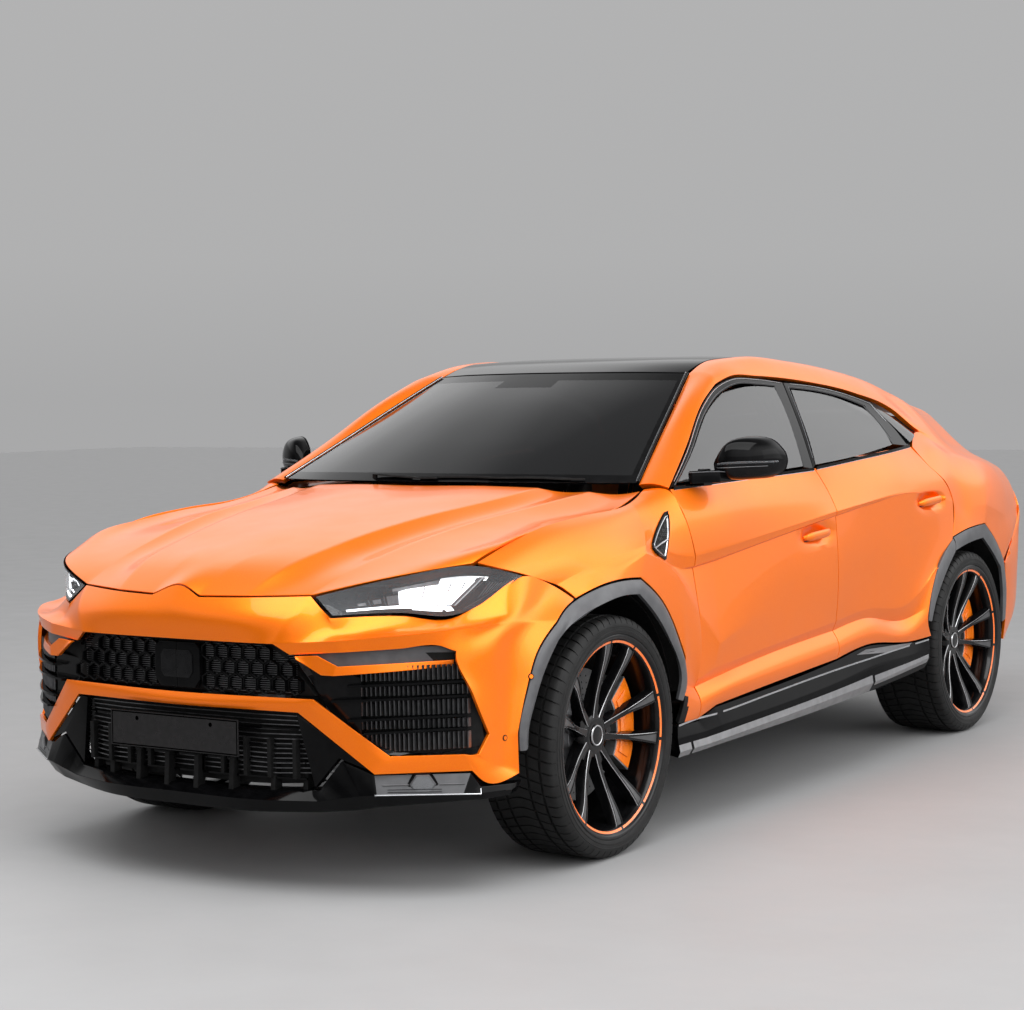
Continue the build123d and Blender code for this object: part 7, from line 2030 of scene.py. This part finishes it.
# engine bay: cover with ribs, reservoirs, brace; seen with the hood up
eb = Mesh()
eb.join(prism([(-1850, 962), (-1850, 990), (-1800, 1006), (-1260, 1030), (-1200, 1012), (-1196, 962)], "x", -300, 300, 14, 0, 3))
for k in range(-4, 5):
    eb.join(prism([(-1800, 1002), (-1790, 1012), (-1290, 1035), (-1270, 1028)], "x", k * 58 - 9, k * 58 + 9, 3, 1, 2))
for x_, y_, r_, h_ in ((420, -1300, 48, 70), (-430, -1320, 42, 60), (470, -1700, 36, 50), (-470, -1640, 52, 80)):
    pr_ = [(-h_, 0.5), (-h_, r_ * 0.96), (0, r_), (4, r_ * 0.9), (4, r_ * 0.62), (18, r_ * 0.58), (20, r_ * 0.4), (20, 0.5)]
    t_ = tube_y([(q[0], q[1]) for q in pr_], 0, 0, 28, 2).moved(lambda V: np.stack([V[:, 0] + x_, V[:, 2] + y_, V[:, 1] + 940], 1))
    eb.join(tidy(t_))
for sg in (-1, 1):
    eb.join(sweep(smooth_line([(sg * 200, -1860, 930), (sg * 240, -1960, 905), (sg * 300, -2050, 880), (sg * 360, -2120, 840)], 6), circ(36, 20), m=2))
    eb.join(sweep([(sg * 320, -1230, 1000), (sg * 560, -1290, 980)], circ(11, 12), m=3))
eb.make("vis_engine_bay", ["matt_black", "dark_metal", "dash", "silver"], "body", (), None)

# wheelhouse flanges that close the gap between liner and arch
for nm, y_, r0, r1, x0_, x1_, a0, a1 in (("front", -1551.0, 481, 500, 905, 958, 14, 170), ("rear", 1452.0, 474, 500, 880, 960, 10, 172)):
    t_ = np.radians(np.linspace(a0, a1, 60))
    V, F = [], []
    for q in t_:
        for x_, r_ in ((x0_, r0), (x1_, r1), (x1_, r1 + 3), (x0_, r0 + 3)):
            V.append((x_, y_ - r_ * math.cos(q), 392 + r_ * math.sin(q)))
    for i_ in range(59):
        for j_ in range(4):
            j2 = (j_ + 1) % 4
            F.append((i_ * 4 + j_, i_ * 4 + j2, i_ * 4 + 4 + j2, i_ * 4 + 4 + j_))
    F += [(0, 1, 2, 3), (239, 238, 237, 236)]
    both_sides(tidy(Mesh().add(np.array(V, float), F, 0))).make("vis_arch_flange_" + nm, ["matt_black"], "body", (), None)
# ---------------------------------------------------------------- CAD nodes that stay, with their materials
KEEP = {"front_axle": "cast_alu", "rear_axle": "cast_alu", "floor_pan": "underbody", "cowl": "matt_black", "sills_and_pillars": "piano_dark", "engine_block": "cast_alu",
        "wheel_liners": "matt_black", "knuckle_front_left": "cast_alu", "knuckle_front_right": "cast_alu", "number_plates": "plate_blank"}
for n_, ob in NODES.items():
    if ob.hide_render:
        continue
    k = KEEP.get(n_, "matt_black")
    ob.data.materials.clear()
    ob.data.materials.append(MATS[k])

# ---------------------------------------------------------------- floor, light and camera


def stage_mat(name, col, rough):
    m, nt, b = new_mat(name)
    v = coords(nt)
    nt.links.new(ramp(nt, noise(nt, v, 2.0, 4.0), tuple(c * 0.97 for c in col), col), b.inputs["Base Color"])
    nt.links.new(rng(nt, noise(nt, v, 5.0, 4.0), rough, rough + 0.08), b.inputs["Roughness"])
    return m


stage_mat("stage_floor", (0.32, 0.32, 0.323), 0.55)
bm = bmesh.new()
bmesh.ops.create_grid(bm, x_segments=2, y_segments=2, size=40.0)
me = bpy.data.meshes.new("floor")
bm.to_mesh(me)
bm.free()
me.materials.append(MATS["stage_floor"])
fl_ob = bpy.data.objects.new("floor", me)
bpy.context.scene.collection.objects.link(fl_ob)

w = bpy.data.worlds.new("studio")
bpy.context.scene.world = w
w.use_nodes = True
wn = w.node_tree
bg = wn.nodes["Background"]
tc = wn.nodes.new("ShaderNodeTexCoord")
sp = wn.nodes.new("ShaderNodeSeparateXYZ")
wn.links.new(tc.outputs["Generated"], sp.inputs["Vector"])
cr = wn.nodes.new("ShaderNodeValToRGB")
els = cr.color_ramp.elements
els[0].position = 0.0
els[0].color = (0.60, 0.60, 0.605, 1)
els[1].position = 1.0
els[1].color = (0.40, 0.40, 0.40, 1)
for p_, c_ in ((0.06, 0.66), (0.19, 0.68), (0.25, 1.45), (0.45, 1.75), (0.62, 1.40), (0.80, 0.45)):
    e = els.new(p_)
    e.color = (c_, c_, c_ * 1.005, 1)
wn.links.new(sp.outputs["Z"], cr.inputs["Fac"])
wn.links.new(cr.outputs["Color"], bg.inputs["Color"])


def wmath(op, a, b):
    n = wn.nodes.new("ShaderNodeMath")
    n.operation = op
    for k_, q in enumerate((a, b)):
        if isinstance(q, float):
            n.inputs[k_].default_value = q
        else:
            wn.links.new(q, n.inputs[k_])
    return n.outputs[0]


# brighter wall on the car's left, dimmer in front
side_ = wmath("MULTIPLY", wmath("MAXIMUM", sp.outputs["X"], 0.0), 2.2)
front_ = wmath("MULTIPLY", wmath("MAXIMUM", wmath("MULTIPLY", sp.outputs["Y"], -1.0), 0.0), -0.65)
gain = wmath("ADD", wmath("ADD", side_, front_), 1.0)
wn.links.new(wmath("MULTIPLY", gain, 0.66), bg.inputs["Strength"])


def area(name, loc, target, sx, sy, power, col=(1, 1, 1)):
    d = bpy.data.lights.new(name, "AREA")
    d.shape = "RECTANGLE"
    d.size, d.size_y = sx, sy
    d.energy = power
    d.color = col
    o = bpy.data.objects.new(name, d)
    bpy.context.scene.collection.objects.link(o)
    o.location = loc
    o.rotation_mode = "QUATERNION"
    o.rotation_quaternion = (Vector(target) - Vector(loc)).to_track_quat("-Z", "Y")
    return o


area("key_top", (1.2, -3.4, 6.0), (0.2, -0.6, 0.5), 7.0, 5.0, 520)
area("side_left", (8.0, 1.0, 3.2), (0.5, 0.0, 0.8), 7.0, 3.5, 70)
area("front_fill", (-3.5, -9.0, 3.0), (0, -2.0, 0.7), 5.0, 3.0, 12)

cam_d = bpy.data.cameras.new("camera")
cam = bpy.data.objects.new("camera", cam_d)
bpy.context.scene.collection.objects.link(cam)
yaw, pitch, roll = math.radians(33.1567), math.radians(3.1499), math.radians(-0.8191)
dv = Vector((-math.sin(yaw) * math.cos(pitch), math.cos(yaw) * math.cos(pitch), -math.sin(pitch)))
rv = dv.cross(Vector((0, 0, 1))).normalized()
uv = rv.cross(dv)
r2 = rv * math.cos(roll) + uv * math.sin(roll)
u2 = -rv * math.sin(roll) + uv * math.cos(roll)
mw = Matrix((r2, u2, -dv)).transposed().to_4x4()
mw.translation = Vector((4.603138, -7.613010, 1.511336))
cam.matrix_world = mw
cam_d.sensor_width = 36.0
cam_d.lens = 2210.498 * 36.0 / 1024.0
cam_d.shift_x = -(523.50 - 512.0) / 1024.0
cam_d.shift_y = (511.18 - 505.0) / 1024.0
cam_d.clip_start, cam_d.clip_end = 0.1, 200.0
bpy.context.scene.camera = cam
bpy.context.scene.view_settings.view_transform = "Standard"
